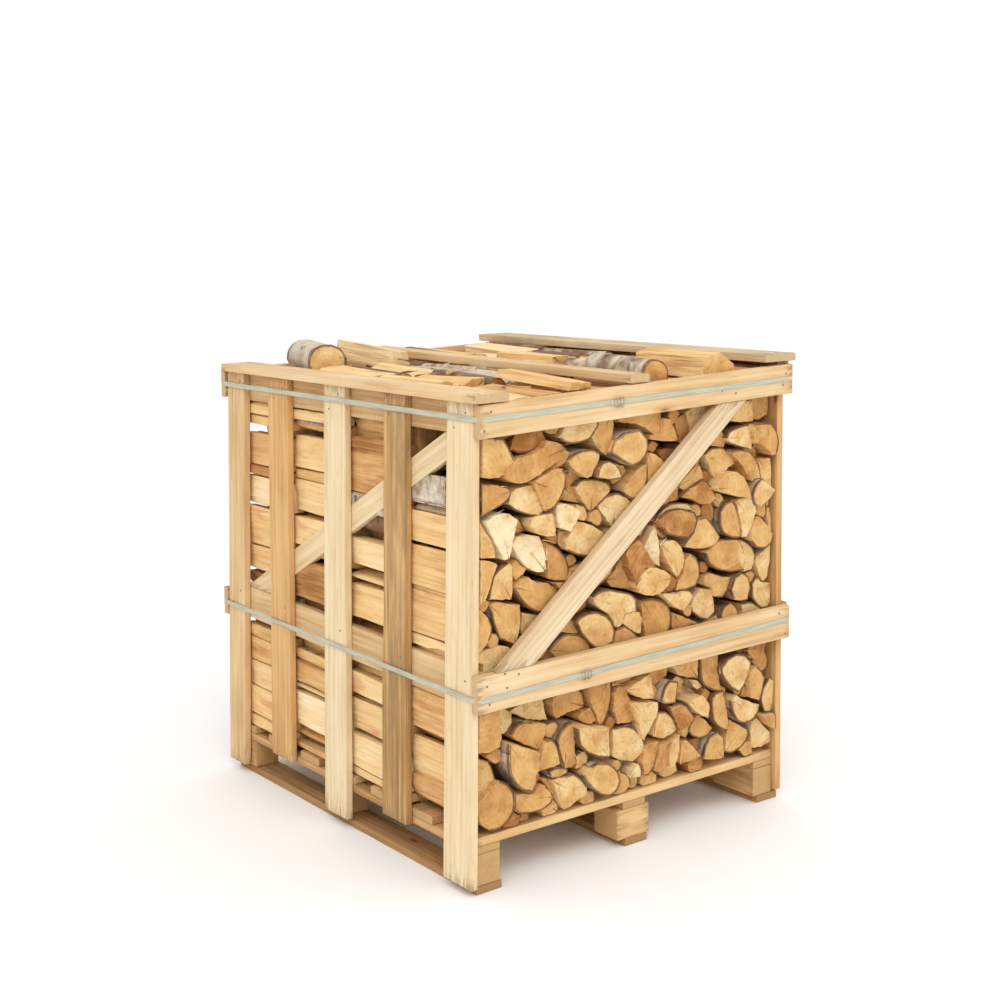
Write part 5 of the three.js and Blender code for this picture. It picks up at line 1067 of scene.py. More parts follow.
3 w 4.3 304,1014 323,1026 351,1033 386,1033 406,1021 402,1001 386,983 379,967 360,966 335,981 313,996
3 s -6 306,1039 322,1030 306,1007 281,998 259,995 250,996 275,1010 294,1026
3 o -2.5 190,976 226,989 260,1000 278,1000 291,982 287,956 275,930 256,906 228,899 216,920 207,943
3 s 3.8 134,954 161,965 194,966 212,943 224,917 229,897 217,889 184,896 148,910 125,927
3 s -3.6 337,945 359,960 407,957 443,944 453,928 430,908 407,893 384,878 365,903 346,927
3 s -0.6 406,894 432,911 471,916 504,902 521,885 494,861 454,830 431,856 415,875
3 s 6.6 479,921 499,939 519,960 542,977 566,980 563,945 552,916 535,897 505,898
3 p 8.2 266,911 294,913 322,900 341,885 328,865 309,840 290,848 274,852 265,880
3 s 6.3 186,888 213,894 250,894 259,867 259,837 228,839 201,852 180,872
3 p -1.2 136,829 154,846 193,846 224,839 236,816 244,783 241,749 213,751 183,767 159,790
3 o 11 234,828 262,815 290,791 308,764 314,739 311,719 273,722 248,731 249,777
3 s 1.2 337,862 379,850 414,830 437,812 434,790 411,773 378,768 337,778 302,795 299,818 318,840
3 o -1.4 253,722 303,717 312,745 341,749 389,755 373,699 324,677 287,695 265,708
3 n 5.6 138,726 159,742 186,746 213,727 247,722 269,707 284,692 262,676 234,655 219,653 188,668 161,694
3 s -1 171,659 195,653 229,645 244,625 195,589 167,608
3 o 4.6 215,521 237,540 259,551 284,529 328,501 280,492 233,501
3 o 1.6 249,555 274,573 306,585 350,575 382,555 389,531 366,505 305,500 270,534
3 o 1.7 292,591 311,613 331,617 346,597 366,574 330,580
3 r -2.7 328,614 341,624 367,630 396,628 425,613 445,592 455,568 451,543 428,534 395,535 372,554 347,581
3 n 7.8 377,669 403,680 442,677 509,657 526,639 526,611 485,609 475,583 455,578 439,609 416,628 390,642
3 s 9.1 486,582 493,606 517,610 544,603 551,582 547,549 533,548 510,565
3 s 2.6 464,570 491,576 525,555 549,530 545,492 477,503 451,534
3 o -5.9 480,767 504,789 527,793 548,770 568,737 585,716 548,719 531,696 514,688 497,716
3 p 5 514,681 531,707 559,721 593,713 628,695 638,678 621,657 589,644 552,645 521,660
3 p -0.3 558,768 579,799 596,818 610,780 613,746 613,712 596,717 579,737
3 p 7.2 612,767 633,777 665,773 686,752 697,725 693,699 672,673 650,695 629,726
3 s 2.4 704,714 726,727 744,717 758,691 758,662 744,640 708,635 672,638 676,658 697,679
3 d -2.4 599,837 630,854 672,856 722,840 733,818 722,785 704,774 665,782 630,794 613,812
3 g 11.9 714,764 732,790 746,818 775,819 801,795 827,762 816,740 775,735 728,741 696,750
3 g 2.2 824,827 842,846 872,853 887,820 899,783 903,750 869,752 839,767 824,790
3 s 10.5 879,853 917,856 963,843 959,811 948,772 929,747 910,747 906,782 891,822
3 s 0.1 971,799 1002,774 1030,742 1026,718 1003,708 964,713 937,736 941,765 956,787
3 s -4 1009,812 1030,817 1030,786 1030,733 1030,742 1021,770
3 g -3.5 1030,729 1030,723 1030,667 1030,620 1030,613 998,632 970,661 970,683 1001,692 1030,704
3 o -3.7 825,750 888,745 892,717 885,699 915,660 870,661 814,674 781,698 770,726 799,738
3 o 8.5 767,667 797,668 838,651 875,646 864,618 838,597 808,602 797,628 768,638
3 s 8.6 866,647 893,657 919,642 927,611 916,586 889,582 863,588 852,617
3 g 1.7 978,630 1017,613 1030,607 1030,576 1030,539 1010,542 979,558 959,575 955,614
3 s -0.7 727,586 745,612 767,628 807,622 815,591 819,558 793,541 763,551 734,572
3 s -5.4 605,643 657,635 707,635 718,620 700,597 682,586 654,601 629,623
3 s 2.6 552,632 600,630 642,610 656,585 653,543 617,504 569,513 559,574
3 o 8.3 660,585 695,568 746,544 746,496 667,497 656,543
3 s -5.3 827,551 839,571 865,578 887,561 895,527 831,524
3 s 3.4 915,565 950,565 997,541 1021,509 970,498 916,521
3 s -3.8 920,1053 996,1050 1020,1026 1030,993 1024,964 1009,960 978,984 951,1000 928,999
3 s 2.5 858,1065 880,1089 906,1111 936,1117 941,1058 895,1057
3 s -5.8 772,982 801,998 838,997 868,976 890,952 864,939 834,920 812,912 798,932 787,960
3 o 2.6 846,985 884,987 925,978 948,951 941,925 922,903 907,923 888,949
3 p 9.5 783,892 801,911 830,932 867,933 897,914 916,880 924,853 871,864 819,880
3 o 8.6 678,883 706,898 757,919 775,912 797,889 808,869 789,852 757,854 721,871
3 o 2.2 789,1004 811,1023 836,1039 851,1017 844,996
3 s 0.6 974,952 1030,951 1030,914 1030,865 1021,882 989,902 985,926
3 w 3.5 939,860 954,886 977,899 1008,882 1030,864 1020,849 989,833 970,822 947,835
3 o -1.7 571,1041 571,1051 609,1060 609,1095 643,1088 657,1058 668,1029 633,1030
3 o -4.9 673,1081 722,1097 733,1050 729,1019 701,1019 687,1046
3 s -2 568,1010 596,1002 616,988 630,968 596,939 568,921 565,965
3 d 0.6 614,1009 652,1011 694,1004 659,974 635,971
3 g 7 104,360 142,344 182,326 200,317 197,280 187,263 184,241 174,226 150,232 126,252 108,283 103,321
3 s 10.8 132,366 144,385 169,393 205,383 240,373 242,355 230,330 220,312 183,330 147,350
3 g 1 138,419 174,434 246,440 251,406 261,374 217,381 186,392 159,410
3 o -0.1 270,426 302,443 350,444 372,412 376,385 343,382 308,379 282,374 270,389
3 s 3.7 229,335 248,334 263,320 272,296 278,267 263,263 237,263 209,262 216,291
3 g 2 268,327 277,347 300,363 319,364 325,322 328,278 331,257 315,246 295,252 286,275 274,308
3 s 8.9 318,353 360,347 392,335 425,331 425,295 428,253 392,263 353,282 327,305 321,330
3 s -3.1 455,316 492,317 526,304 553,278 563,252 549,231 525,218 478,228 454,244
3 s 5.3 377,436 407,458 453,457 453,398 443,364 429,336 416,328 403,359 387,398
3 s -1.3 453,410 473,425 496,412 520,366 534,332 510,321 469,327 456,361
3 s 6.4 245,233 280,233 312,236 337,217 360,189 356,172 327,163 301,152 285,150 269,172 257,203
3 s 10.6 131,225 158,221 189,213 208,232 223,228 248,192 241,181 216,169 182,168 142,175 130,188
3 w 9.3 241,255 266,257 298,250 301,239 275,234 247,238
3 w 2.5 336,230 356,243 385,249 425,238 451,214 461,186 451,165 428,155 398,164 369,187 349,209
3 s 11 486,416 513,429 565,445 571,410 578,375 540,382 510,396
3 w 11.8 605,367 616,396 633,411 661,403 658,372 654,349 615,354
3 s -5.3 588,300 602,332 623,330 648,309 662,277 641,266 606,262 585,272
3 o 0.8 634,343 666,347 691,334 716,300 698,277 669,272 655,299 637,326
3 s 4.7 650,445 693,467 744,471 744,396 708,403 675,414
3 o 8 755,444 818,460 825,407 829,368 844,338 807,348 770,371 759,390
3 p 4.7 690,345 712,354 744,353 763,330 766,308 759,293 737,300 708,322
3 g 10.2 719,254 734,278 752,293 781,273 807,246 789,231 759,229 730,241
3 s -3.1 797,326 811,342 838,343 849,311 857,265 853,230 823,245 800,271
3 s -2 818,412 840,432 874,440 908,431 931,408 924,379 908,351 889,333 863,346 836,373 818,396
3 g 9.8 862,313 881,326 904,310 966,282 962,263 943,247 912,242 885,253 866,282
3 w 5.8 937,375 956,391 976,376 991,351 980,320 968,294 937,306 933,343
3 s 5.3 977,293 988,324 1012,347 1030,338 1028,297 1020,253 989,260
3 s -5 955,232 983,241 1011,216 1030,188 1030,163 1011,156 972,156 952,160 952,200
3 s -3.7 875,254 905,236 944,214 948,200 936,182 913,168 879,161 856,169 856,202 863,226
3 w -5.5 771,202 789,228 815,234 834,216 838,160 801,163 760,172
3 s 2.8 684,242 698,242 724,220 753,184 720,178 680,178 680,216
3 p 3.1 642,248 667,262 667,227 660,202 645,178 631,184 628,217
3 o -0.5 603,251 635,252 628,214 617,182 596,176 579,185 589,220
3 s -3.2 550,240 567,260 602,258 592,226 581,196 560,177 546,178 540,216
3 p -2.9 497,184 510,205 527,214 534,197 534,178
3 o 3.4 923,440 966,460 1017,468 993,422 966,404 943,414
3 w -1 714,394 739,392 761,369 739,365 721,379
3 g 11.6 562.1,913.5 588.1,869.9 640.6,858.1 680.1,864.5 695.3,901 693.9,967.2 652.1,968.3 613.8,949.1
3 o -2.8 752.1,1092.8 737.5,1056 752.7,1019.2 802.4,1020 824.6,1034.6 863,1048.4 879.7,1103.9 844.1,1142.6 798.4,1135.7 771.8,1121.4
3 o 5.1 400.1,768.1 384,726.1 401.8,682.7 432.1,680 472.8,670.2 490,727.4 479.8,770.7 426.9,779.5
3 o 7.1 587,866.6 558.4,896.7 535.1,892.9 499.2,860.7 482.3,820.9 506.3,798.5 544,780 579,803.2 598,838.3
3 w 8.6 216.7,514.3 193.8,541.2 145.3,530.5 132.2,486.3 129.1,453.2 178.8,438.3 221.3,442.9 238,482.6
3 g 7.2 629.7,512.9 569.4,507.5 552.8,469.1 568.3,441.5 582.5,396.2 632.9,415.5 652.9,437.5 651,496.6
3 d -1.6 842.9,470 876.2,445.2 904.4,434.8 927.5,446.4 969.5,471.3 936.8,508.9 913.9,533.1 885.5,522.7 830.4,504.4
3 s 4.5 101.5,1163.8 78,1128.3 128.5,1094.6 147.4,1098 184.2,1123 207.4,1134.1 203.8,1194.9 161.7,1195.3 135.5,1194.7 109.1,1179.5
3 s 14.2 781.6,964.2 767.5,1001.9 740.9,1013.8 699.1,1002.8 697.1,967.1 696.9,949.5 699.8,926.5 725.2,909.2 754,920.1 794.7,923.8
3 w -0.7 817.2,463.1 833.1,487.2 829,521 798.5,540.8 768.7,537.8 750.4,509.6 724.3,472.3 759.8,454.7 783.7,454.2
3 s 2.4 249.6,663.5 236,639.7 243.8,618.2 255,590.9 287.8,594.4 308.6,615.8 328,639.6 332.7,668.2 297.4,681.2 278.5,685.9
3 o 9.2 456.2,447.7 473.2,428.2 497.2,424.7 527.5,437 531.4,475 504.2,495.2 479.8,498.7 444,479.5
3 w -0.8 371,504.7 364.2,463.7 401.5,459 440,461.2 448.2,484.1 457.1,522.4 418.3,531 386.5,520.6
3 d 3.4 169.8,968.1 193.2,981.4 226,993.1 221.6,1014.5 198.3,1040.7 171.2,1042 149.2,1043.3 132.9,1028.3 136.7,994 139.6,978.2
3 w 6.2 899.3,717.7 903,681.9 910.5,670.7 934,642 960.4,651 966.4,680.2 970.2,706.6 951,720.5 923.6,734.3
3 o 2.9 878.1,988.9 907.3,985.8 922.2,1010.4 919.7,1034.6 916.5,1053.7 889.3,1055.8 868.7,1051.2 848.4,1040.7 853.3,1012.7 853.3,992.5
3 g 4.4 548.6,296.1 584.2,294.8 594.4,325.7 609.8,336.5 600.3,363.5 570.4,373.9 556.2,376.1 527.2,368.9 538.4,335.2 536.9,306.1
3 o 11.7 166.2,571 173.9,601.4 162.8,616 145.7,644.5 117.2,636.5 106.7,610.5 100.6,584.7 119.6,569.4 142.7,567.2
3 o 10.1 251.8,569.3 245.6,602.8 215.8,599.9 185,591.9 184,566.6 198.1,538.4 225.4,532.8 238.7,547.1
3 s 0.9 249.2,443.2 269.5,428 285.9,439 310.7,451.7 313.5,486.6 284.5,490.5 256,495.2 243.2,479.5 230.2,448.5
3 s 5.5 138.7,842.8 158.2,850.8 179.7,871.9 174.9,897.5 153.8,907 132.3,904.9 102.9,892.1 119.3,855
3 s -2.6 680.5,1142.9 654.6,1137.7 633.4,1125.3 636.6,1093 650.9,1081.8 674.5,1085.4 702.4,1099.1 705,1125.6
3 g 11.2 1031.6,386.9 1031.7,418.8 1003.4,424 988.6,416.6 966.9,399.9 979.7,378.7 999.4,356.1 1019.7,351.7
3 g 2.6 257.4,1009.1 282.1,1021.6 301.7,1037.6 290.4,1059.5 275.4,1076.8 253,1064.5 235,1049.8 231.7,1017.7
3 s -2.8 687.3,340 700.1,353 723.9,373.2 711.4,391.3 688.4,408 666.2,407.1 663.1,383.6 661.5,361.9
3 s -1.3 292.8,1090 294.8,1112.8 276,1127.1 266.2,1143.9 239.3,1135.5 229.6,1114.6 240,1094 246.2,1082.4 266,1074.1 285.5,1080.3
3 s -0.9 1023.8,1201.6 1004.7,1202 978.1,1192.8 968.5,1167.8 989.9,1154.5 1010.9,1140.7 1031,1156.8 1031.9,1172.2
3 g 11.2 272,914.4 303.9,912.4 329.3,899.8 341.6,930.9 344.4,960.7 313.5,973.6 290.8,963 284.7,941.9
3 s 1.5 455.5,777.6 470.7,774.9 495.3,782.2 495.6,804.7 485.7,814.3 467.5,831.8 443.6,824.7 441.8,809.1 432.4,782.7
3 s 12.5 153.6,698.3 137.3,695 118.8,691.7 119,665 114.3,651.6 139.3,646.4 162.2,636.4 166.3,658.7 172,671 161.5,691.2
3 s 8.1 798.8,1208.9 776.4,1209.8 754.3,1209.2 738.2,1208.9 738.1,1183.2 742.7,1167.1 762.6,1162.2 770.7,1160.4 781.9,1170.8 801.4,1192.6
3 s 4.9 350.6,499 324.8,496.4 316.3,484.2 315.1,466.8 313.8,447.3 339.5,446 357.8,451.5 361.4,468.8 365.5,490.4
3 o 7.1 509.5,143.4 519.9,167 493.3,197.4 476.4,199.8 461.4,175.7 452.2,160.3 470,142.2 487,143.1
3 s 1.1 928.6,1181.2 931.3,1171.7 945.7,1152.1 959.4,1158.2 968.7,1178.5 975.7,1190.4 967.6,1203.1 956.6,1208.4 939.8,1212.8 917.1,1200.2
3 g 5.5 818.3,795.9 820.7,820.3 825.6,833 811.5,852.5 791.9,851.2 778.3,847.9 770,826.7 781.9,816.2 793.7,806.4
3 o 11.5 379.8,678.3 359.3,681.8 346.1,682.3 336.7,664.5 334.3,650.5 341.3,632.6 355.1,630 368.2,633.4 385.4,641.3 379.3,659.9
3 o -0.2 503.7,949 511.8,964.9 515,983.4 487.8,987.9 468,988.5 463.2,969.6 464,962.1 467.1,941.3 479.7,938.8 496,940.2
3 s 6 691,154.4 691.1,169.3 676.9,194.8 654.4,186.9 643.2,177 636.2,158.9 641.4,143 654.6,143.4 669.7,143.5
3 d -1.7 677.4,663.7 661.1,680.2 642.3,677.8 635.4,669.1 626.7,652 644.3,639.6 658.1,639 670.7,646.4
3 w 12.9 941.7,896.7 951.2,888 968.6,899.3 984.6,907.8 981.2,921.7 975.5,940.5 957.9,939.6 947.3,929.6 936,914.7
3 w 5.7 898.5,1148.4 881,1148.3 861.5,1144.5 864.6,1131.5 872.4,1116.5 878.6,1107.2 895.7,1106.8 903.7,1111.4 918,1126.1 915.7,1141.5
3 o 13.7 582.7,179.4 566.1,178.5 556.9,175.2 550,160.3 564.3,142.8 572.3,142.9 584.2,143.1 601,147.8 601.8,163 589.2,176.6
3 g 6.2 493.5,1181 481.3,1194.9 464,1195.1 445,1183.2 453.2,1169.5 457,1153.5 474.2,1156.5 497.1,1169
3 w 3.6 1016.9,1042.5 1029.6,1046.9 1031.6,1062.1 1030.4,1073.8 1026.8,1084.9 1011.6,1088 996.3,1084.1 989.1,1073.3 986.6,1054.2 1000.3,1052.4
3 s -1.1 718.1,162.6 720.5,149.3 735.6,143.2 746.7,142.6 759,143 766,160.8 758.9,170.7 750.4,180.3 738.7,179.7 724.7,173.6
3 s -0.2 100.4,236.7 92.3,222.8 88,214.7 90.4,200.9 102,197 113.4,192.7 127,203 128,214.8 134.1,232.5 118.9,239.8
3 o 12.2 247.5,142.2 274.1,142.2 271.8,156.9 263.1,177.7 251.7,192 232.4,173.2 228.3,156.3 232.5,143.6
3 s 14.1 262,843.1 252.5,822.9 267.2,816.2 285.4,807.3 295.4,818.1 307.7,832.3 288.6,847.3 272.5,851.4
3 s 15.8 987.7,974.2 974.6,983.6 962.3,991.9 947,994.8 937.2,977.6 938.3,966.5 950.7,954.6 966.5,946.9 973.3,955
3 o -2.9 112.5,794.7 129.1,785 143.4,791.9 143.8,813 133.2,826.5 127.4,835.4 110.4,828.7 105.3,816.8 104.6,800.1
3 w 10.7 400.9,354.6 395.6,365.8 391.7,380.2 370.9,381.3 359.6,379.6 354.3,358.7 361.7,351.1 370.4,347 382.9,343.2
3 s 1.8 799.1,334.2 799.7,349.8 787.1,356.5 772,366.8 759.4,355.8 762.2,337.3 766.1,328.6 776.5,312.2 792.7,324.6
3 s 15.7 538.9,1157.3 540.9,1175.8 530.6,1183.3 513.1,1182.8 497.2,1180.2 494.1,1165.8 510.3,1151.3 516.2,1138.3 531.3,1150
3 w -2.4 412.9,838.3 428,850.8 416.4,869.9 409.9,878.1 392.2,881.2 387.2,876.4 372.2,859 382.5,852.9 392.4,847
3 w 2.9 353,861.6 365.2,858.8 375.4,866.6 381.9,877.9 374.3,887 369.1,893.8 350.3,895.7 338.4,890.4 338.1,873.5 342.5,866.4
3 d 13.9 340.1,160.4 356.3,143.4 367.3,142.2 388.1,142.2 392,157.8 383.1,173.1 373.3,181.8 359.2,169.8
3 s 3.3 1003.5,503.4 995.1,501.3 986.1,488.5 981.3,472.2 997.4,469 1010.6,470.2 1023.4,467.6 1030.7,478.3 1030.5,494.4 1025.8,507.7
3 g -3.2 1005.4,819.9 989.5,829.9 983.1,827.3 965.9,819.4 961.2,801.9 980.7,795.8 994.4,786.9 1002.2,795.9 1007.7,806.6
3 d -0 888,326.8 900.5,316.1 911.4,310.2 929.3,312.2 931.4,323.6 929.9,336.4 925.3,349.2 908.6,347.3 895.2,334.9
3 g -1.4 365.9,272.1 350.3,282 337.6,275.7 334.3,263.2 327.7,251.1 339.5,240.7 351.9,244.1 371.7,249.8 373.6,264.6
3 s 9.9 952.7,142.3 952,159.2 949.9,166.9 943.1,179.3 925.2,172.5 918.6,170 912,158.5 909,145.9 928.7,142.3 934.2,142.2
3 s 3.4 476.7,1091.8 476.7,1070.4 493.7,1071.3 505.5,1073.1 521.4,1081 518.6,1093.4 505.9,1105.1 492.7,1100.2
3 s 13.8 730.8,856.6 724.6,842.9 728.1,836.1 734.9,826.5 743.5,816.1 759.3,823 767.8,827.9 767.5,842.8 755.1,851.2 748.3,855.9
3 o 1.4 922.5,569.2 940.2,568.6 955.4,573.6 953.9,585.9 946,605.8 931.3,603.4 925.2,592.9 912.3,580.3
3 s -0.7 671.7,458.1 679.7,463.3 689.5,471.7 686.2,490.9 672.8,493.8 654.2,494.1 654,476.1 657.2,460.6
3 o 11.3 629.8,1142.3 619.6,1147.1 600.5,1152.2 593,1141.7 598.4,1126.7 600.8,1121 606.9,1107.1 625.4,1113.6 629.1,1120.3 635.7,1133.9
3 o 15.7 847.8,867.6 836.3,874 827.1,876 816,878.8 809.4,865.4 816.6,852 820.4,846.2 826.2,838.1 836.8,844.6 848.7,850.6
3 o -4 584.2,1079.5 565.8,1083.6 548.9,1081.2 536,1067.5 547.1,1060.1 557.2,1042.5 570.6,1054.9 581.9,1063.7
3 w 5.5 515.1,667.5 512,682 509.8,693.6 502.9,702.9 486.6,697.3 482.8,686.7 478.3,678.7 488.9,667.7 502.4,663
3 o 4.8 429.3,321.1 443.1,310.2 454.4,320.8 464,331.5 459.6,343.8 451.8,349 437.6,347.9 432.6,336.1
3 s -2.1 625.4,143.3 635.4,154.1 636.9,170.4 627.2,179.5 619.3,181.9 606.5,177.9 602,164.7 605.6,157.5 612.6,144.7
3 o 11.4 282.6,364 265.4,375.3 253.9,372.9 247.2,361.6 243.7,348.3 253.7,339.1 266.8,339.3 274.8,350
3 s 7 137.8,177.1 123,162.7 119.1,148.6 134.5,143.1 143.6,142 153.2,142.9 162,156.1 163.6,165.9 150.1,170.8
3 o 6 837,476 823,466.1 824.7,445.7 825.7,434.2 838.6,434 849.1,438.5 858,449.7 847,463.2
3 s 6 794.5,304.6 782.4,313.9 770.7,307 764.6,298.2 769.6,284.6 776,280.6 795.2,272.9 796,292.8
3 g 12.3 574.6,1161.7 584.9,1152 596.8,1159.3 603.9,1169.7 600.9,1178.2 589.7,1189.1 579.3,1191.4 572.5,1183.2 560.3,1168
3 s 12.3 936.3,641 922.4,639.8 926,624.9 929.2,616.4 937.9,606.4 951.8,613.4 956.9,620.1 961.5,630.3 953.2,640.1
3 g 4.2 771.9,208.4 771.3,223.5 760.3,226.8 741.8,230.7 736.1,211.6 741.3,204.2 750.3,194.4 763.5,190.2
3 o 8.5 1000.7,229.4 1009.6,223.3 1012.8,218.3 1028.9,211.4 1031.6,230.3 1032,235.2 1029.2,251.6 1016.6,252 1006.1,249 994.9,245.5
3 d 14.2 855.3,1174.7 864.3,1188.7 868,1195.9 871.1,1207.5 852.4,1211.8 843.1,1210.5 833.9,1204 828.1,1198.1 840.1,1186.1 846.7,1178.3
3 w 8.6 695.9,591.2 686,579.2 696.8,571 704.7,569 715,562.7 720.3,567.7 728,580 722.7,585.9 719.4,597.6 705.9,597.5
3 o 7.1 349.9,762 338.2,774.4 330.8,779.2 321.6,783.5 311.8,780.8 312,764.3 314.1,756.7 316.9,748.5 331.2,751 339.7,752.3
3 d 13.2 715.6,266.5 711.9,279.8 696.7,273.1 686.7,267.5 681.6,249.7 698.7,246.5 710.9,242.4 715.7,255.2
3 s 14.8 536.6,177.8 523.9,177.8 518.3,159.3 518.4,146.9 528.9,143 539.3,143 550,147.8 546.8,161.7
3 s -0.8 606.6,1001.2 619.4,1013.3 613.5,1026.6 603.2,1033.7 593.8,1032.7 580.5,1022.4 585,1008.1 594.6,1007.3
3 w 8.8 728.3,1164.8 739,1169.8 735.6,1179.7 728.6,1189.5 718.7,1198 709.4,1185.2 704,1177.2 706.8,1167 719.7,1160
3 s 8.3 456.8,209.7 460.8,199.7 471,194.2 482.1,202.8 489.9,212 481.8,222 469.5,233.9 458.8,236.2 450.6,218.4
3 o -1.4 241.1,234.1 241.9,246.2 237.7,251.7 229.9,259.5 215.5,258.6 208.5,248.3 208.7,239 221.9,232.7 234.9,221.7
3 s 13.4 149,766 152.9,755.1 160.3,747.2 169.9,746.5 182.2,748.3 185.8,757.1 180,767.8 167.8,777.9 158.7,774.2
3 g 0.4 52.6,398.1 55.9,406.3 53.5,416.5 44.6,423.3 31.8,424 29.4,417.2 28,408.3 29,399.3 33.5,393.4 48.6,392.2
3 s 11.6 322.5,362.5 324.5,354.9 336.1,352 351.6,350.5 354,366.7 352.6,380.5 336.9,380 324.8,377.5
3 s 13.9 66.1,1124.1 66.4,1111.2 67.2,1099.1 72.1,1097.5 83.3,1097.2 92.1,1100.4 97.4,1112.7 87,1118.7 79.8,1123.9
3 w 2.7 773,702 762,692.6 762,681.6 763.1,670.3 776.6,670.3 792.7,670.4 793.9,680 781.2,694
3 w 12.9 859,314 863.4,317.1 870.8,324.4 871.8,332.4 870.6,339.8 859.6,345.9 849.9,348.3 844.9,334.9 846.3,327.4 850.7,320.5
3 o 14.9 1020.5,455.8 1013.3,451.2 1008.6,445.4 1004,437 1006.1,427.3 1013.7,426.8 1024.8,423.5 1030.8,432.3 1032,438.8 1028.8,449.8
3 g 12.9 610.3,391.6 599.3,399.1 591.9,397.8 580.4,392.4 580,382.9 583.3,378.6 590.4,368.4 600.5,369.4 604.9,375.2 610,384.7
3 s -1.3 70,1076.4 64.8,1087.8 54.3,1090 48.9,1089 42.6,1079.7 42.4,1072.9 44,1063.5 58,1064.7 66,1068.8
3 g 7.1 920.4,878.8 922,872.2 934.5,866.2 939.7,868 947.5,878 946.2,889.4 939.1,894.1 933.1,900 921,896.2 917,887.5
3 s 1.3 556.6,291.2 550.6,284.6 558.3,272.9 563.7,260.5 579.3,263.5 582,280 583,290 570.3,293.8
3 s 7 1006.3,837.7 1003,824.4 1009.6,816.4 1018.3,816 1028.9,821.2 1031.7,827 1030.1,840.5 1021.2,843.6 1014.1,843.4
4 s 1.8 25.6,143.5 27.5,175.4 94.9,174.9 141.1,160.7 106.9,143.8
4 p -0.3 26,180.4 27.4,258.8 71.5,258.7 101.8,234.4 79,183.4
4 s 1 34.5,263.8 30.4,335.9 79.5,333 112.2,317.2 102.3,268.1
4 s 0.1 28.3,340.9 29.8,406.9 94.3,402.9 138.3,369 111.4,346.8
4 d 0.9 61.6,411.8 62.6,451.1 130.2,450.6 176,436.2 154.6,413.2
4 s 0.2 54.6,456 57.5,556.8 120.1,554.8 163.8,535.6 144.6,462.1
4 d 0.2 51.5,561.8 46.8,594.9 92.1,594.6 122.4,577.8 105.8,562.6
4 p -1.4 41.4,605.7 37.8,676.6 104,671.6 148.2,656.4 121.8,605.4
4 s -1.2 41.3,681.5 37.4,792.8 83.3,784.8 113.9,771.5 87.7,683.8
4 p 0.8 44.4,797.7 41.5,879.5 95.2,874.3 131,826.7 116.1,800.7
4 o -1.3 40.7,884.4 42.2,908.4 89.7,907.9 122.3,895.5 93.8,884
4 s -1.4 44.7,913.2 48.1,1003.2 96.8,999.5 131.5,949.7 107.5,915.6
4 o -1.5 45.5,1028.1 46.4,1051.9 95.3,1050.7 128.5,1040.3 96.4,1028.8
4 d -1.2 81.9,1068.2 85.5,1097.6 139.5,1097.2 178,1094.6 159.8,1070.2
4 o -5 280,1117.6 249.1,1094.5 223.3,1074.3 254.2,1056.9 300.6,1059.8 326.4,1077.2 305.8,1100.3
4 w 8.8 407.8,1067.7 403.8,1094.5 392.8,1116 376.9,1128 359.3,1128 343.4,1116 332.4,1094.5 328.4,1067.7 360.2,1055.7
4 p 3.8 505.3,1132.9 477.1,1137.1 439.4,1139.9 411.1,1134.7 418.7,1100.7 448.8,1073.3 486.5,1087
4 p 15.3 582.9,1166.8 560.4,1174 530.5,1175.5 508,1176.1 514,1139.6 538,1113.7 567.9,1126.7
4 s -4.3 625.8,1181 603.9,1161.9 585.6,1145.2 607.5,1130.9 640.4,1133.3 658.7,1147.6 644.1,1166.7
4 s 0.1 705.5,1203.6 681.8,1183.5 662,1165.9 685.7,1150.8 721.3,1153.4 741,1168.4 725.2,1188.5
4 p -4.8 827,1196.7 802.6,1194.6 770.1,1197.1 745.7,1191 752.2,1162.4 778.2,1138.8 810.8,1150.6
4 p -4 914.8,1208.3 889.9,1205.7 856.6,1204.1 831.6,1197.6 838.3,1175.3 864.9,1152.7 898.2,1164
4 s 14.1 982.6,1179.8 963.2,1179.8 937.3,1177.6 917.9,1173.5 923.1,1143.6 943.8,1117.7 969.7,1130.7
4 s -0.2 1005,1090 947,1085 927,1055 915,1030 927,1010 951,996 986,995 1006,1000
4 o -3.7 908,1075 890,1111 830,1118 803,1068 821,1050 855,1044 891,1045 915,1054
4 s -1.1 942,987 947,1004 926,1023 909,1037 873,1041 839,1052 818,1072 784,1061 763,1047 775,1027 806,1008 828,998 843,990 874,977 903,973
4 g 7.9 773,1071 748,1102 704,1121 646,1123 643,1091 669,1061 695,1054 736,1053 761,1062
4 o -2.8 670,1066 644,1101 644,1118 595,1119 592,1087 602,1030 616,1012 635,1024 651,1042
4 w 11.8 617,1022 601,1050 571,1067 525,1070 501,1048 498,1025 508,1004 525,990 552,983 585,1001
4 r -3 669,966 666,985 653,999 634,1004 611,994 598,978 591,958 631,957
4 w -5.9 749,1014 730,1026 702,1033 667,1033 647,1021 651,1001 667,983 674,967 693,966 718,981 740,996
4 s 8.8 747,1039 731,1030 747,1007 772,998 794,995 803,996 778,1010 759,1026
4 o -5.2 863,976 827,989 793,1000 775,1000 762,982 766,956 778,930 797,906 825,899 837,920 846,943
4 s 6 1023,985 988,982 956,974 927,961 933,945 957,931 986,921 1021,911
4 s 3 919,954 892,965 859,966 841,943 829,917 824,897 836,889 869,896 905,910 928,927
4 s 1.4 716,945 694,960 646,957 610,944 600,928 623,908 646,893 669,878 688,903 707,927
4 s 4.5 647,894 621,911 582,916 549,902 532,885 559,861 599,830 622,856 638,875
4 s -5.7 574,921 554,939 534,960 511,977 487,980 490,945 501,916 518,897 548,898
4 p 9.1 787,911 759,913 731,900 712,885 725,865 744,840 763,848 779,852 788,880
4 s -5.3 867,888 840,894 803,894 794,867 794,837 825,839 852,852 873,872
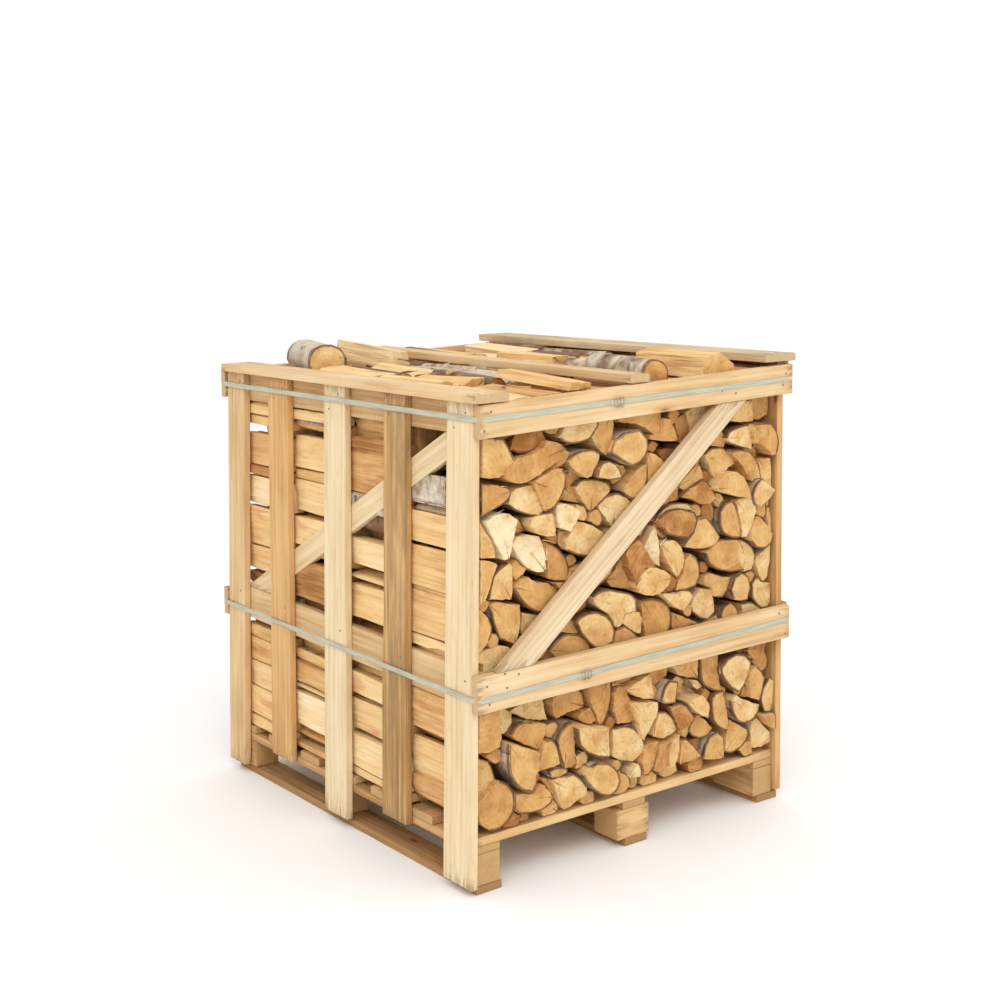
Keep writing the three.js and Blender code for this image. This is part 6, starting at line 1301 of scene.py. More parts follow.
4 p -0.9 1003,895 980,908 954,912 927,904 910,888 919,858 928,826 935,799 952,801 969,832 986,862
4 s 9.1 1025,895 1006,880 989,857 977,832 975,808 1027,813
4 p -2.5 917,829 899,846 860,846 829,839 817,816 809,783 812,749 840,751 870,767 894,790
4 o -3.4 819,828 791,815 763,791 745,764 739,739 742,719 780,722 805,731 804,777
4 s 8.5 716,862 674,850 639,830 616,812 619,790 642,773 675,768 716,778 751,795 754,818 735,840
4 o 11.8 800,722 750,717 741,745 712,749 664,755 680,699 729,677 766,695 788,708
4 s -2.5 1030,807 989,803 968,791 983,765 993,735 1005,713 1019,704 1030,707
4 s -3.6 971,763 950,779 926,790 915,779 915,741 919,698 954,703 987,708 980,736
4 n -5.8 915,726 894,742 867,746 840,727 806,722 784,707 769,692 791,676 819,655 834,653 865,668 892,694
4 o -3.9 982,693 961,699 923,688 890,681 890,640 897,612 906,586 936,601 954,609 968,638
4 s -0.1 882,659 858,653 824,645 809,625 858,589 886,608
4 s 11.3 1030,695 1010,686 990,668 979,643 982,624 997,600 1017,585 1030,586
4 s 7.6 1026,580 993,587 961,593 928,585 902,568 917,546 935,516 983,505 1030,514
4 o -2.7 838,521 816,540 794,551 769,529 725,501 773,492 820,501
4 o 1.1 804,555 779,573 747,585 703,575 671,555 664,531 687,505 748,500 783,534
4 o 3.9 761,591 742,613 722,617 707,597 687,574 723,580
4 r -3.2 725,614 712,624 686,630 657,628 628,613 608,592 598,568 602,543 625,534 658,535 681,554 706,581
4 n -5 676,669 650,680 611,677 544,657 527,639 527,611 568,609 578,583 598,578 614,609 637,628 663,642
4 s -2.6 567,582 560,606 536,610 509,603 502,582 506,549 520,548 543,565
4 s -0.6 589,570 562,576 528,555 504,530 508,492 576,503 602,534
4 o -5.3 573,767 549,789 526,793 505,770 485,737 468,716 505,719 522,696 539,688 556,716
4 p 11.5 539,681 522,707 494,721 460,713 425,695 415,678 432,657 464,644 501,645 532,660
4 p 11.5 495,768 474,799 457,818 443,780 440,746 440,712 457,717 474,737
4 p 2.5 441,767 420,777 388,773 367,752 356,725 360,699 381,673 403,695 424,726
4 s 1.8 349,714 327,727 309,717 295,691 295,662 309,640 345,635 381,638 377,658 356,679
4 d 4 454,837 423,854 381,856 331,840 320,818 331,785 349,774 388,782 423,794 440,812
4 g 9 339,764 321,790 307,818 278,819 252,795 226,762 237,740 278,735 325,741 357,750
4 g 1.4 229,827 211,846 181,853 166,820 154,783 150,750 184,752 214,767 229,790
4 o 11.2 228,750 165,745 161,717 168,699 138,660 183,661 239,674 272,698 283,726 254,738
4 o -0.5 286,667 256,668 215,651 178,646 189,618 215,597 245,602 256,628 285,638
4 s 6.1 326,586 308,612 286,628 246,622 238,591 234,558 260,541 290,551 319,572
4 s -4.3 448,643 396,635 346,635 335,620 353,597 371,586 399,601 424,623
4 s 1.1 501,632 453,630 411,610 397,585 400,543 436,504 484,513 494,574
4 o 5.8 393,585 358,568 307,544 307,496 386,497 397,543
4 s -2.3 226,551 214,571 188,578 166,561 158,527 222,524
4 s 4.2 217,1020 206,1037 169,1047 124,1051 116,1019 120,984 157,993 199,1008
4 s -0.4 281,982 252,998 215,997 185,976 163,952 189,939 219,920 241,912 255,932 266,960
4 p 7.2 270,892 252,911 223,932 186,933 156,914 137,880 129,853 182,864 234,880
4 o 8 375,883 347,898 296,919 278,912 256,889 245,869 264,852 296,854 332,871
4 o 2.5 482,1041 482,1051 444,1060 444,1095 410,1088 396,1058 385,1029 420,1030
4 s -3.4 485,1010 457,1002 437,988 423,968 457,939 485,921 488,965
4 d -2.2 439,1009 401,1011 359,1004 394,974 418,971
4 s 10.7 1030,446 1004,461 965,458 963,412 958,372 964,351 994,343 1030,347
4 s -2.3 1020,326 982,315 971,293 962,264 972,241 990,228 1013,226 1021,265
4 g 2.1 949,360 911,344 871,326 853,317 856,280 866,263 869,241 879,226 903,232 927,252 945,283 950,321
4 s -0.9 921,366 909,385 884,393 848,383 813,373 811,355 823,330 833,312 870,330 906,350
4 g -4.6 915,419 879,434 807,440 802,406 792,374 836,381 867,392 894,410
4 o -1.8 783,426 751,443 703,444 681,412 677,385 710,382 745,379 771,374 783,389
4 s 6.7 824,335 805,334 790,320 781,296 775,267 790,263 816,263 844,262 837,291
4 g 0.3 785,327 776,347 753,363 734,364 728,322 725,278 722,257 738,246 758,252 767,275 779,308
4 s 11 735,353 693,347 661,335 628,331 628,295 625,253 661,263 700,282 726,305 732,330
4 s -3.2 598,316 561,317 527,304 500,278 490,252 504,231 528,218 575,228 599,244
4 s -0.5 676,436 646,458 600,457 600,398 610,364 624,336 637,328 650,359 666,398
4 s 2.9 600,410 580,425 557,412 533,366 519,332 543,321 584,327 597,361
4 s 0 808,233 773,233 741,236 716,217 693,189 697,172 726,163 752,152 768,150 784,172 796,203
4 s -0.7 922,225 895,221 864,213 845,232 830,228 805,192 812,181 837,169 871,168 911,175 923,188
4 w 3.1 812,255 787,257 755,250 752,239 778,234 806,238
4 w 7.5 717,230 697,243 668,249 628,238 602,214 592,186 602,165 625,155 655,164 684,187 704,209
4 s 0.6 567,416 540,429 488,445 482,410 475,375 513,382 543,396
4 w 5.2 448,367 437,396 420,411 392,403 395,372 399,349 438,354
4 s 0.5 465,300 451,332 430,330 405,309 391,277 412,266 447,262 468,272
4 o 0.6 419,343 387,347 362,334 337,300 355,277 384,272 398,299 416,326
4 s -1 403,445 360,467 309,471 309,396 345,403 378,414
4 o -4.3 298,444 235,460 228,407 224,368 209,338 246,348 283,371 294,390
4 p 2.5 363,345 341,354 309,353 290,330 287,308 294,293 316,300 345,322
4 g 3.6 334,254 319,278 301,293 272,273 246,246 264,231 294,229 323,241
4 s 8.3 256,326 242,342 215,343 204,311 196,265 200,230 230,245 253,271
4 g -5.5 191,313 172,326 149,310 87,282 91,263 110,247 141,242 168,253 187,282
4 s -1 178,254 148,236 109,214 105,200 117,182 140,168 174,161 197,169 197,202 190,226
4 w -2.8 282,202 264,228 238,234 219,216 215,160 252,163 293,172
4 s 8 369,242 355,242 329,220 300,184 333,178 373,178 373,216
4 p -0.6 411,248 386,262 386,227 393,202 408,178 422,184 425,217
4 o 3 450,251 418,252 425,214 436,182 457,176 474,185 464,220
4 s -6 503,240 486,260 451,258 461,226 472,196 493,177 507,178 513,216
4 p 4.5 556,184 543,205 526,214 519,197 519,178
4 w 10.7 339,394 314,392 292,369 314,365 332,379
4 s 14.8 377,885.3 403.8,858 430.7,861.8 448.4,889.2 470,920.1 433.7,955.1 407.9,969.8 366.2,976.5 339.9,967.9 349.1,909
4 d 14.9 936,458.9 942.4,504.7 910.5,542.8 857.8,550.5 833.5,538.1 825.4,500.1 802,465.2 848.7,440 881,436.9 911.8,442.7
4 o 13.9 566.4,734.3 566,696 608.5,678.1 652.8,686.8 667.4,735.9 652.5,769.5 615.9,793.9 575.6,775.7
4 s 10.1 515.7,784.8 546.2,792.2 575.9,812.1 567.2,851.9 533.5,895.3 508.4,900 466.5,902.2 438.2,859.3 461.5,819.1 474.8,805.5
4 d 10.4 996.6,226 958.2,255 926.3,224.2 917,175.4 941.8,142.3 984.6,142.4 1027.3,153.2 1030.3,207.4
4 w 9.4 281.2,1053.4 261.1,1024.6 279.1,987.9 306.3,958.3 346.2,972.2 380,1011.7 359.7,1043.3 329.2,1063.1
4 d 1.4 429.8,507.3 391,496.5 390.2,455.3 396.5,407.7 438.2,398.5 479.3,410.1 511.3,450.1 494.4,479 471.9,507.4
4 s -2.9 195.2,412 225.8,429.5 241.5,462.3 242.3,502.1 202.8,523.1 177.7,523.1 157,493.3 148.1,464 162.4,444.5
4 w 11.8 223.5,380.5 206.4,411.7 183.3,421.9 138.4,408.5 132.1,377.7 135.9,350.4 167.1,327.8 195.8,330.8 213.9,356.8
4 s 8.9 781.6,600.7 803.6,602.5 815.4,636.6 809.1,660 775.5,684.9 760.6,689.7 731.9,671.9 713.2,655.4 723.6,621.6 747.5,613.1
4 w 5.3 518.1,462.7 540.9,433.4 563.2,422 593,420.8 597.6,454.7 603.4,503.4 568.8,499.4 526.5,492.3
4 s -1.1 659.6,452.2 680.9,486.7 678.3,507.5 658.1,531.7 628.7,530.2 601.5,527.9 604,495.9 603.9,467.5 637.8,460.1
4 s 5.1 210.7,1060 234.8,1087.9 259.2,1105.1 259.6,1147.7 207.2,1149.9 174.9,1149.6 152.2,1109.7 177.3,1087.6
4 w 8.2 152.7,556.3 179.1,576 201.4,593 189,614 171.4,637.7 142.7,637 131.2,613.5 111.9,586.6 125,570.8
4 o 10 524.9,323.7 521.1,348.3 511.6,371.6 478.6,373.6 451,372.1 436.5,347 458,325 470.4,294 505.1,290.3
4 s 13.6 100.1,717.6 93.4,692.2 117.3,671.8 137.4,665.2 154.3,687.6 158.9,710.4 141.5,739.6 116.9,746.6
4 o 0.3 245.9,473.2 260.6,458.3 288.2,450.1 304.7,469.8 325.8,479.6 301.6,514.8 286.2,528.8 254.3,520 247.6,493.8
4 d -3.1 754.2,1122.8 757.2,1097.7 767.4,1082.5 777.3,1069 799.9,1068.5 813,1092.9 823.6,1119.7 813.7,1132 793.7,1141.2 766,1142.9
4 s 5.5 959.4,1089.6 992.9,1092.8 1011.4,1085.8 1030.8,1096.5 1031.8,1118.9 1023.8,1146.3 1007.9,1161.2 987.4,1170.4 974.9,1134.4 962.2,1125.5
4 g 7.3 817.9,610.7 797.2,586.4 799.4,562.8 814.2,547.7 833.9,542.6 847.5,549.2 867.6,566.3 856.1,587.3 840.4,599.3
4 w 9.2 389.7,401.2 369.9,409.5 342.6,399.8 332,374.8 346.1,357.1 360.2,350.3 381.1,349 391.8,372.7
4 s 14.6 700.5,447 727.3,446 740.8,464.9 736.9,495.4 708.8,502 686.2,500.1 680.6,479.7 676.7,449.1
4 o 8.7 745.2,448 766.1,439.3 788.3,431.2 814,449.3 802.9,470.2 788,493 766.7,491.1 742.3,479.1
4 g 15.7 133.3,1148.6 124.1,1149.7 103.7,1149.2 84.5,1137.6 80.8,1108.9 99,1102.6 119.2,1100 142.1,1098.2 147.7,1112.6 153.3,1131
4 s -2.5 530.8,1075.4 556.8,1071.1 576.2,1066.6 589.4,1074.6 589.4,1099.7 593.3,1124.1 569.3,1123.5 548.8,1112.6 520.2,1098.3
4 g 13.1 766.5,949.1 761.3,962.9 731.6,967.7 722.1,956.5 714,934.9 716.4,912.9 744.4,910 755.3,914.8 775.5,930.6
4 s 13 896.2,394.7 917.9,378.6 928.6,358.1 951,367.4 956.7,384.7 957.8,401.4 950.7,424 935.2,439.9 921.9,428.4 905.7,407.5
4 o 1.2 335.3,1149.5 316.2,1150 285.2,1146.3 282.3,1119.3 300.4,1108.4 312.1,1096.3 335.1,1106.4 355.7,1129.2
4 o -1.4 500.6,1190.5 480.7,1192 467.3,1185.9 459.2,1169.6 453.1,1153.8 467.4,1140.5 480.9,1138 502.3,1137.3 508.6,1148.1 507.3,1168.1
4 g 1.4 881,1114.7 894.8,1108 919,1105.7 929.5,1130.3 919.1,1147.9 904.2,1166.9 893.3,1159.8 876.4,1153.1 866.4,1131.3
4 w -0.9 602.9,145.5 594.2,173.1 589.4,183.3 564.3,203.3 557.6,180.7 540.4,169.1 539.4,144.6 566.5,142.7 582.5,142.4
4 w 13.1 320,940.7 315.1,955.2 292.7,967.1 280.5,971.5 270.9,958 262,942.1 263.4,922.3 277,915.5 293,921.2 311.7,926.6
4 o 5.3 223.3,1005.3 240.2,1004.1 263.9,1008.2 261.5,1030.9 270.2,1046.9 250,1054.4 228.3,1068.6 220.8,1055.5 211,1043.4 217.6,1027.7
4 s -1.1 823.2,1126.6 837.8,1120.1 858.4,1119.2 865.4,1136.1 858.9,1154.4 848,1162.8 831.1,1175.6 814.5,1152.6 812.7,1136.3
4 o 1.3 285.1,835.6 266.6,850.7 248,863.5 228.3,853.2 228,838.5 233.6,819.9 232.9,801.3 255.3,800 263.4,808.1 281.5,822.9
4 d 7.5 1005.2,464.2 1024.5,461.4 1032,484.5 1030.2,504.1 1011.2,507.8 987.7,503.3 978.1,485.9 994.5,464.2
4 d 4.5 585.7,939.3 587.7,958.7 591,981.9 569,989.8 549.1,981.7 540.1,964.4 548.4,952.4 557.3,941.8
4 w 6.3 421.2,169.1 406.3,176.8 389.6,188 374.2,177.3 358,162 374.8,143.5 393.3,142.3 410.3,142.7
4 o 14.6 721.1,1116.2 733.2,1112 751.8,1121.1 758,1133.2 759.4,1153.5 731.4,1157.9 721.2,1149.4 710.4,1129.6
4 w 0.5 403.7,638.3 413,640.3 431.9,655.3 413.8,675.1 403.3,691.8 386.4,672.7 380,659.1 385.5,638.8
4 o 15.3 495.2,175.1 486.1,178.4 469.4,179.5 453.2,175.6 450.4,155.9 452.2,142.4 470.9,142.3 489.9,142 499.6,155.6
4 s 0.4 102.2,785.2 111,775.6 121.3,751.2 133.9,760.3 149.6,772 151.9,780.2 146.9,801.8 129.8,816 117.8,797.8
4 g 11.9 667.2,1172 679.9,1185.9 678.3,1206.2 659.4,1206.6 645.4,1206.9 630.5,1202.7 626.4,1183.6 640.8,1173.9 648.1,1168.4
4 d 2.6 334,150.4 333.3,165.4 322.2,177.2 305.9,181.1 290.2,170 284.2,157 301.6,142.9 319.1,143.5
4 d 8.4 871,567.6 886,552.1 900.5,565.5 910,579.2 899.3,595.8 883.1,604 873.4,594.6 862,580
4 g 4.2 128.2,958.4 142.2,944.7 161.4,943.4 172,966.5 171.6,978.9 150.2,989.9 134.7,985.5 127,974.5
4 s -2.2 792.7,835 790.5,850.6 771.6,847.9 758.8,843.9 748,829.1 758.2,819.3 766.7,807.3 777.4,806.3 787.9,816.6 797.1,821.4
4 o 8.8 790.2,177.1 782.4,164.4 779.7,142.4 794.5,142.4 807.6,142.4 822.3,147.8 833.5,165.3 818.6,173.7 807.9,183.7
4 w -0.7 564.1,803.5 577.7,785.7 591.9,784.1 604.7,791.5 615.1,799.9 615.9,815.8 600.5,827 582,831.3 579.1,811.9
4 o 5.9 985.3,1174.3 1003.8,1166.6 1013.5,1158.6 1030.2,1172.8 1027.2,1192.8 1014.6,1200.9 997.3,1201.2 982.1,1197.1
4 d -2.2 113,342.9 110.8,320.5 114.2,307.9 134.6,308.6 146.4,314.6 153.3,331.7 143.2,341 122.3,352.9
4 o 10.7 697,350.4 702.3,371.6 685.7,381.7 667.8,386.7 659.3,368.7 653.3,354.2 672,342.4 682.7,347.5
4 o 9.9 143.8,808.7 163,823.6 167.6,832.4 170,845.1 158.3,856.4 144.4,853.1 124.2,851.2 126,837 136.3,816.3
4 s 5.8 875.3,888 872.1,865.8 876.8,852.1 893,850 910.7,853 911.8,871.1 908.5,882.6 889.9,893.9
4 s 8.8 677.1,881.8 663,868.4 677.5,859.4 691.1,858 703.9,862.5 718.1,865.9 711.2,881.6 712.7,897.7 689.6,899.9 680.2,889.6
4 g -2.4 291.9,341.5 293,358.5 277.1,363.5 257.8,351.1 246.2,342.9 259.4,330.2 273.2,320 285.3,325.1
4 g 0.6 667.1,642.7 677.2,632.1 694.6,632.6 708.6,631.8 712.6,641.9 712,659.7 703.1,672.4 688.9,674 678.8,666.6 672.7,654.8
4 o -3.8 115.4,920.9 108.4,909.5 122.6,898.7 126.2,884.6 141.3,896.3 149.2,908.7 156.1,923.7 150.5,929.2 132.4,936 121.9,928.9
4 d 2.3 942.9,1215.1 928.7,1215.7 916.1,1204.4 912.5,1191.6 922.8,1176 937.1,1180.8 955.3,1184.5 954.7,1208.7
4 s 9.8 78,1070.7 78.4,1077.7 67.2,1092.9 54.2,1089.1 42.4,1083.2 42.4,1073.9 42.1,1061.1 54.1,1055.1 62,1054.1 76.9,1055.9
4 w 6.4 883.6,747.3 896.6,744.2 911.2,745.2 911.1,767.5 907.3,784.3 890.4,783.7 880.1,773.4 864.3,757.5
4 s 1.7 606.4,1208 599.6,1206.8 592.8,1199 584.2,1187.1 590.3,1177.6 605.2,1166 615.2,1176.9 622.7,1183.3 625.4,1194.9 625.4,1207.3
4 g -0.7 667,142.8 680.7,142 693.8,143.5 704,157.9 694.5,171.8 684.2,183.7 670.4,170.8 661.5,165.7 657.1,151
4 s -2.8 510.4,176.5 501.5,165.3 502,158.6 504.4,143.3 513,142.8 521.8,142.5 534.7,146.9 538,156.7 539.1,173.1 525.7,176.5
4 d 5 528,1076.9 520.7,1089 513.3,1106.5 496.2,1100.7 490.3,1086.3 480.5,1073.2 493.2,1058.8 503.8,1056 515.4,1066.7
4 s 0.9 307.3,822.1 321.7,829.2 328,838.3 326,854.7 320.6,861.9 302.3,853.6 294.1,851.5 280.5,843.2 286.8,827.3 301.6,822.6
4 o 9.7 721.7,277 702.8,282 686.7,272.9 678,259.8 689.6,247 704,240.1 721.3,245.7 719.6,263.8
4 d -2.4 943.4,471 955.2,452.5 967.3,463.7 979,471.9 974.6,484.6 964.3,499.6 945.8,497.4 942.4,481.8
4 w 15.2 945.9,1087.8 933.8,1103.4 920.5,1103.7 907.2,1092.5 908.5,1082 914.8,1072.9 928.3,1062.4 936.5,1076
4 g 12.8 958.5,349.1 954.4,337.1 955.5,321.3 954.8,312.1 972.5,306.1 977.6,313.9 992.7,320.3 989,334.3 979.3,343.4 973.6,345.6
4 w 4 624.7,850.7 639.3,837.1 649.7,840.4 657,844.4 664,855.4 661.1,865.8 648,883.9 637.1,869.3 630.6,860.4
4 s -1.4 617,343.6 610,355.7 598.2,356.8 593.7,338.7 590,332.9 588.9,321.6 601,318.9 610.2,314.5 620.4,321.2 624,332.3
4 g 13.7 547.2,660.9 560.1,664.1 568.9,668.3 577.9,681.5 578.7,687.4 566.7,693.4 555.8,699.9 545.2,692.6 540.3,683.1 538.5,669.8
4 w 9.3 156.3,1065.7 155.6,1053.3 171.3,1049.7 181.5,1046.4 193,1052.1 200,1062.6 189.6,1075.7 175,1081.8 164.3,1073.7
4 w 9.5 585.2,190.2 595.5,200.1 596.9,206.2 601.1,217.9 598.2,232.3 580.3,229.9 566.9,225.1 564,213.3 560.9,205.9 575.4,199.6
4 g 1.3 283.5,309.8 276.2,319.6 261.2,312.8 259.2,301.6 258.4,287.5 265.1,270.9 273.5,278.1 285.1,286.9 290,296.7
4 o 7 47.2,443.2 32.6,443.7 28.7,430.2 28.3,423.3 32.4,408.4 42.7,408 57.3,416.5 58,425.3 58.6,440.4
4 s -3.8 904.7,142.1 917.7,142.3 923.4,146.1 925.8,158.6 917.3,167.3 907.2,172 896.1,168.5 888.2,165.1 884.1,153.5 897.7,142.3
4 w 11.4 778.5,350.3 783,343.2 786.3,330.7 801.3,336.3 812.3,345.6 807.5,358.1 805.5,373.8 791.2,374 780.8,370.6 768.7,365.6
4 s 2 314.7,216.6 314.9,229.7 295.5,225.8 284.9,219.3 280.2,212.7 288.5,199.7 291.5,189 305.5,195.8 310,202.9
4 o 2.6 739.8,778.4 727,782 720.9,777 707.1,770.5 706.2,761.2 712.2,752.5 723.1,750.3 730.9,748.8 738.8,758.4 743.2,769.2
4 o 0.5 230.8,546.1 226,531.3 226.3,519.6 241.4,510 251.7,519.3 258.3,524.4 261.7,535.4 251.3,545 236.2,553.2
4 d 4.3 349.7,595 341.9,603.9 327,599.6 328.2,582.5 330.3,568.3 339.2,562.7 347.2,566.4 354.6,570.9 364,580 358.8,590.2
4 o 14.5 363.1,272.3 348.4,281.9 335.6,276.7 336.2,257.7 331.7,244.4 353.1,244.3 362.4,246.9 369.9,257.8
4 s 8.3 451.4,1034 442.7,1031 435.4,1024.9 441.5,1012.1 443.4,999.9 454.2,1004.2 462.8,1009.1 472,1018.8 468.3,1032.7
4 s -1.9 987.8,610.2 983.7,618.9 969,631.8 962.4,618.2 958.3,610.9 955.1,601.7 965.6,595.6 978.4,593.3 990.5,592.7
4 s 7.9 843.8,241.2 846.1,253 828,259.9 817.7,257.7 812,244.2 812.5,235.5 825.7,224 832.1,233.7
4 s 4.9 359.5,493.6 354.2,480.4 353.4,470.7 367.2,467 382.1,458.4 386.8,471.9 387.5,481.8 382.6,492.6 374.5,493.8
4 s 3.5 674.8,1124.3 684.5,1128 691.2,1132.4 684,1148.6 675.8,1153.5 664.8,1154.5 661.4,1143.6 654.2,1135.3 663.9,1124.2
4 o -2.8 1009.9,688.6 1017.9,694.4 1013.1,705.7 999.4,711.9 989.8,718.6 982.3,704.8 984.1,694.3 987.3,684.1 993.6,674.4 1001.6,680.4
4 s 9.8 341.2,926.7 341.5,933.9 329.5,939.9 319.5,933.2 312.4,925.6 312.1,919.9 319.3,913.8 328.7,908 335.7,908 343.1,916.6
4 s 13.3 108.2,861.2 120.6,859.4 129.2,869 129.6,877.4 122.8,884.9 113.8,890 105.7,885.3 98.6,878.2 103.3,868.5
4 d -1.8 378.8,1131.4 387.8,1124.8 402.3,1118.9 409.5,1126.4 409.4,1140.5 395.2,1149.6 386.4,1148.8 371.7,1144.4
4 o 13.6 472.8,382.4 475,393.6 468.5,403.8 456,401.4 442.7,392.9 447.7,381.4 457,376.4 467.5,376.2
4 o 3.8 280.8,697.7 271.8,692.3 260.9,687.7 256.1,680.3 266.2,671.2 277.5,670 281.1,670.4 290.4,675.4 292,682.3 291.4,690.7
4 s 13.9 447.3,162.3 443.1,171.2 434.3,178 424,167.8 422.6,161.7 415.6,145.9 429.1,142.8 437.2,142.3 448.6,147.5
4 d 15.4 731.1,985.8 728.8,969.8 742.3,968.6 750.9,966.9 761.9,971.6 760,980.2 757.8,993.6 744.5,999.9 736.1,989.9
4 w 8.7 730.6,359.9 737.8,368.9 727.1,379.1 717.9,380 705.9,381.9 706.2,368.3 704.4,357.6 712.7,353 721.4,354.5"""

ROWS = [(5, 288), (294, 578), (584, 866), (872, 1150)]
TONE = {"s": -0.02, "p": 0.24, "o": -0.30, "d": -0.58, "w": 0.05, "g": -0.02, "n": -0.14, "r": 0.10}


def left_limit(z, y):
    """how far left a log may reach: the slats and rails of the leaning side"""
    lim = 17.5 + 0.022 * z
    if 447 < z < 556 or 1093 < z < 1174:
        lim += 22.0
    return lim


def refine(poly, flags, spacing):
    """the outline with small bevels at sharp corners, rounded elsewhere; flags mark the bark edges"""
    n = len(poly)
    P = np.array(poly, float)
    ang = np.degrees(turns(P))
    pts, fl = [], []
    for i in range(n):
        p, a, b = P[i], P[i - 1], P[(i + 1) % n]
        la, lb = np.linalg.norm(a - p), np.linalg.norm(b - p)
        sharp = ang[i] > 40 or ang[i] < -20
        if sharp:
            c = min(1.9, 0.3 * la, 0.3 * lb)
            p1, p2 = p + (a - p) / la * c, p + (b - p) / lb * c
            mid = 0.62 * p + 0.19 * (p1 + p2)
        else:
            p1, p2 = p + (a - p) * 0.27, p + (b - p) * 0.27
            mid = 0.55 * p + 0.225 * (p1 + p2)
        f0, f1 = flags[i - 1], flags[i]
        pts += [p1, mid, p2]
        fl += [f0, f0 and f1, f1]
    Q, F = [], []
    n = len(pts)
    for i in range(n):
        p, q = pts[i], pts[(i + 1) % n]
        d = np.linalg.norm(q - p)
        k = max(1, int(round(d / spacing)))
        f = fl[i] and fl[(i + 1) % n]
        for j in range(k):
            Q.append(p + (q - p) * j / k)
            F.append(fl[i] if j == 0 else f)
    return np.array(Q), np.array(F, bool)


def turns(poly):
    p = np.array(poly, float)
    a = p - np.roll(p, 1, axis=0)
    b = np.roll(p, -1, axis=0) - p
    ang = np.arctan2(a[:, 0] * b[:, 1] - a[:, 1] * b[:, 0], (a * b).sum(1))
    return ang


def bark_run(poly):
    """the longest run of the outline that bends gently: the log's round outside"""
    p = [tuple(q) for q in poly]
    n = len(p)
    ang = np.degrees(turns(p))
    seg = [math.dist(p[i], p[(i + 1) % n]) for i in range(n)]
    best, span = None, 0.0
    for s in range(n):
        length, k = seg[s], 1
        while k < n - 1 and ang[(s + k) % n] < 52 and ang[(s + k) % n] > 4:
            length += seg[(s + k) % n]
            k += 1
        bend = sum(ang[(s + j) % n] for j in range(1, k))
        if k >= 3 and bend > 50 and length > span:
            best, span = (s, k), length
    return best


class Bag:
    """a growing joined mesh of logs"""

    def __init__(self):
        self.v, self.f, self.m, self.sm = [], [], [], []
        self.grain, self.ring, self.tone, self.bark, self.rim = [], [], [], [], []
        self.n = 0


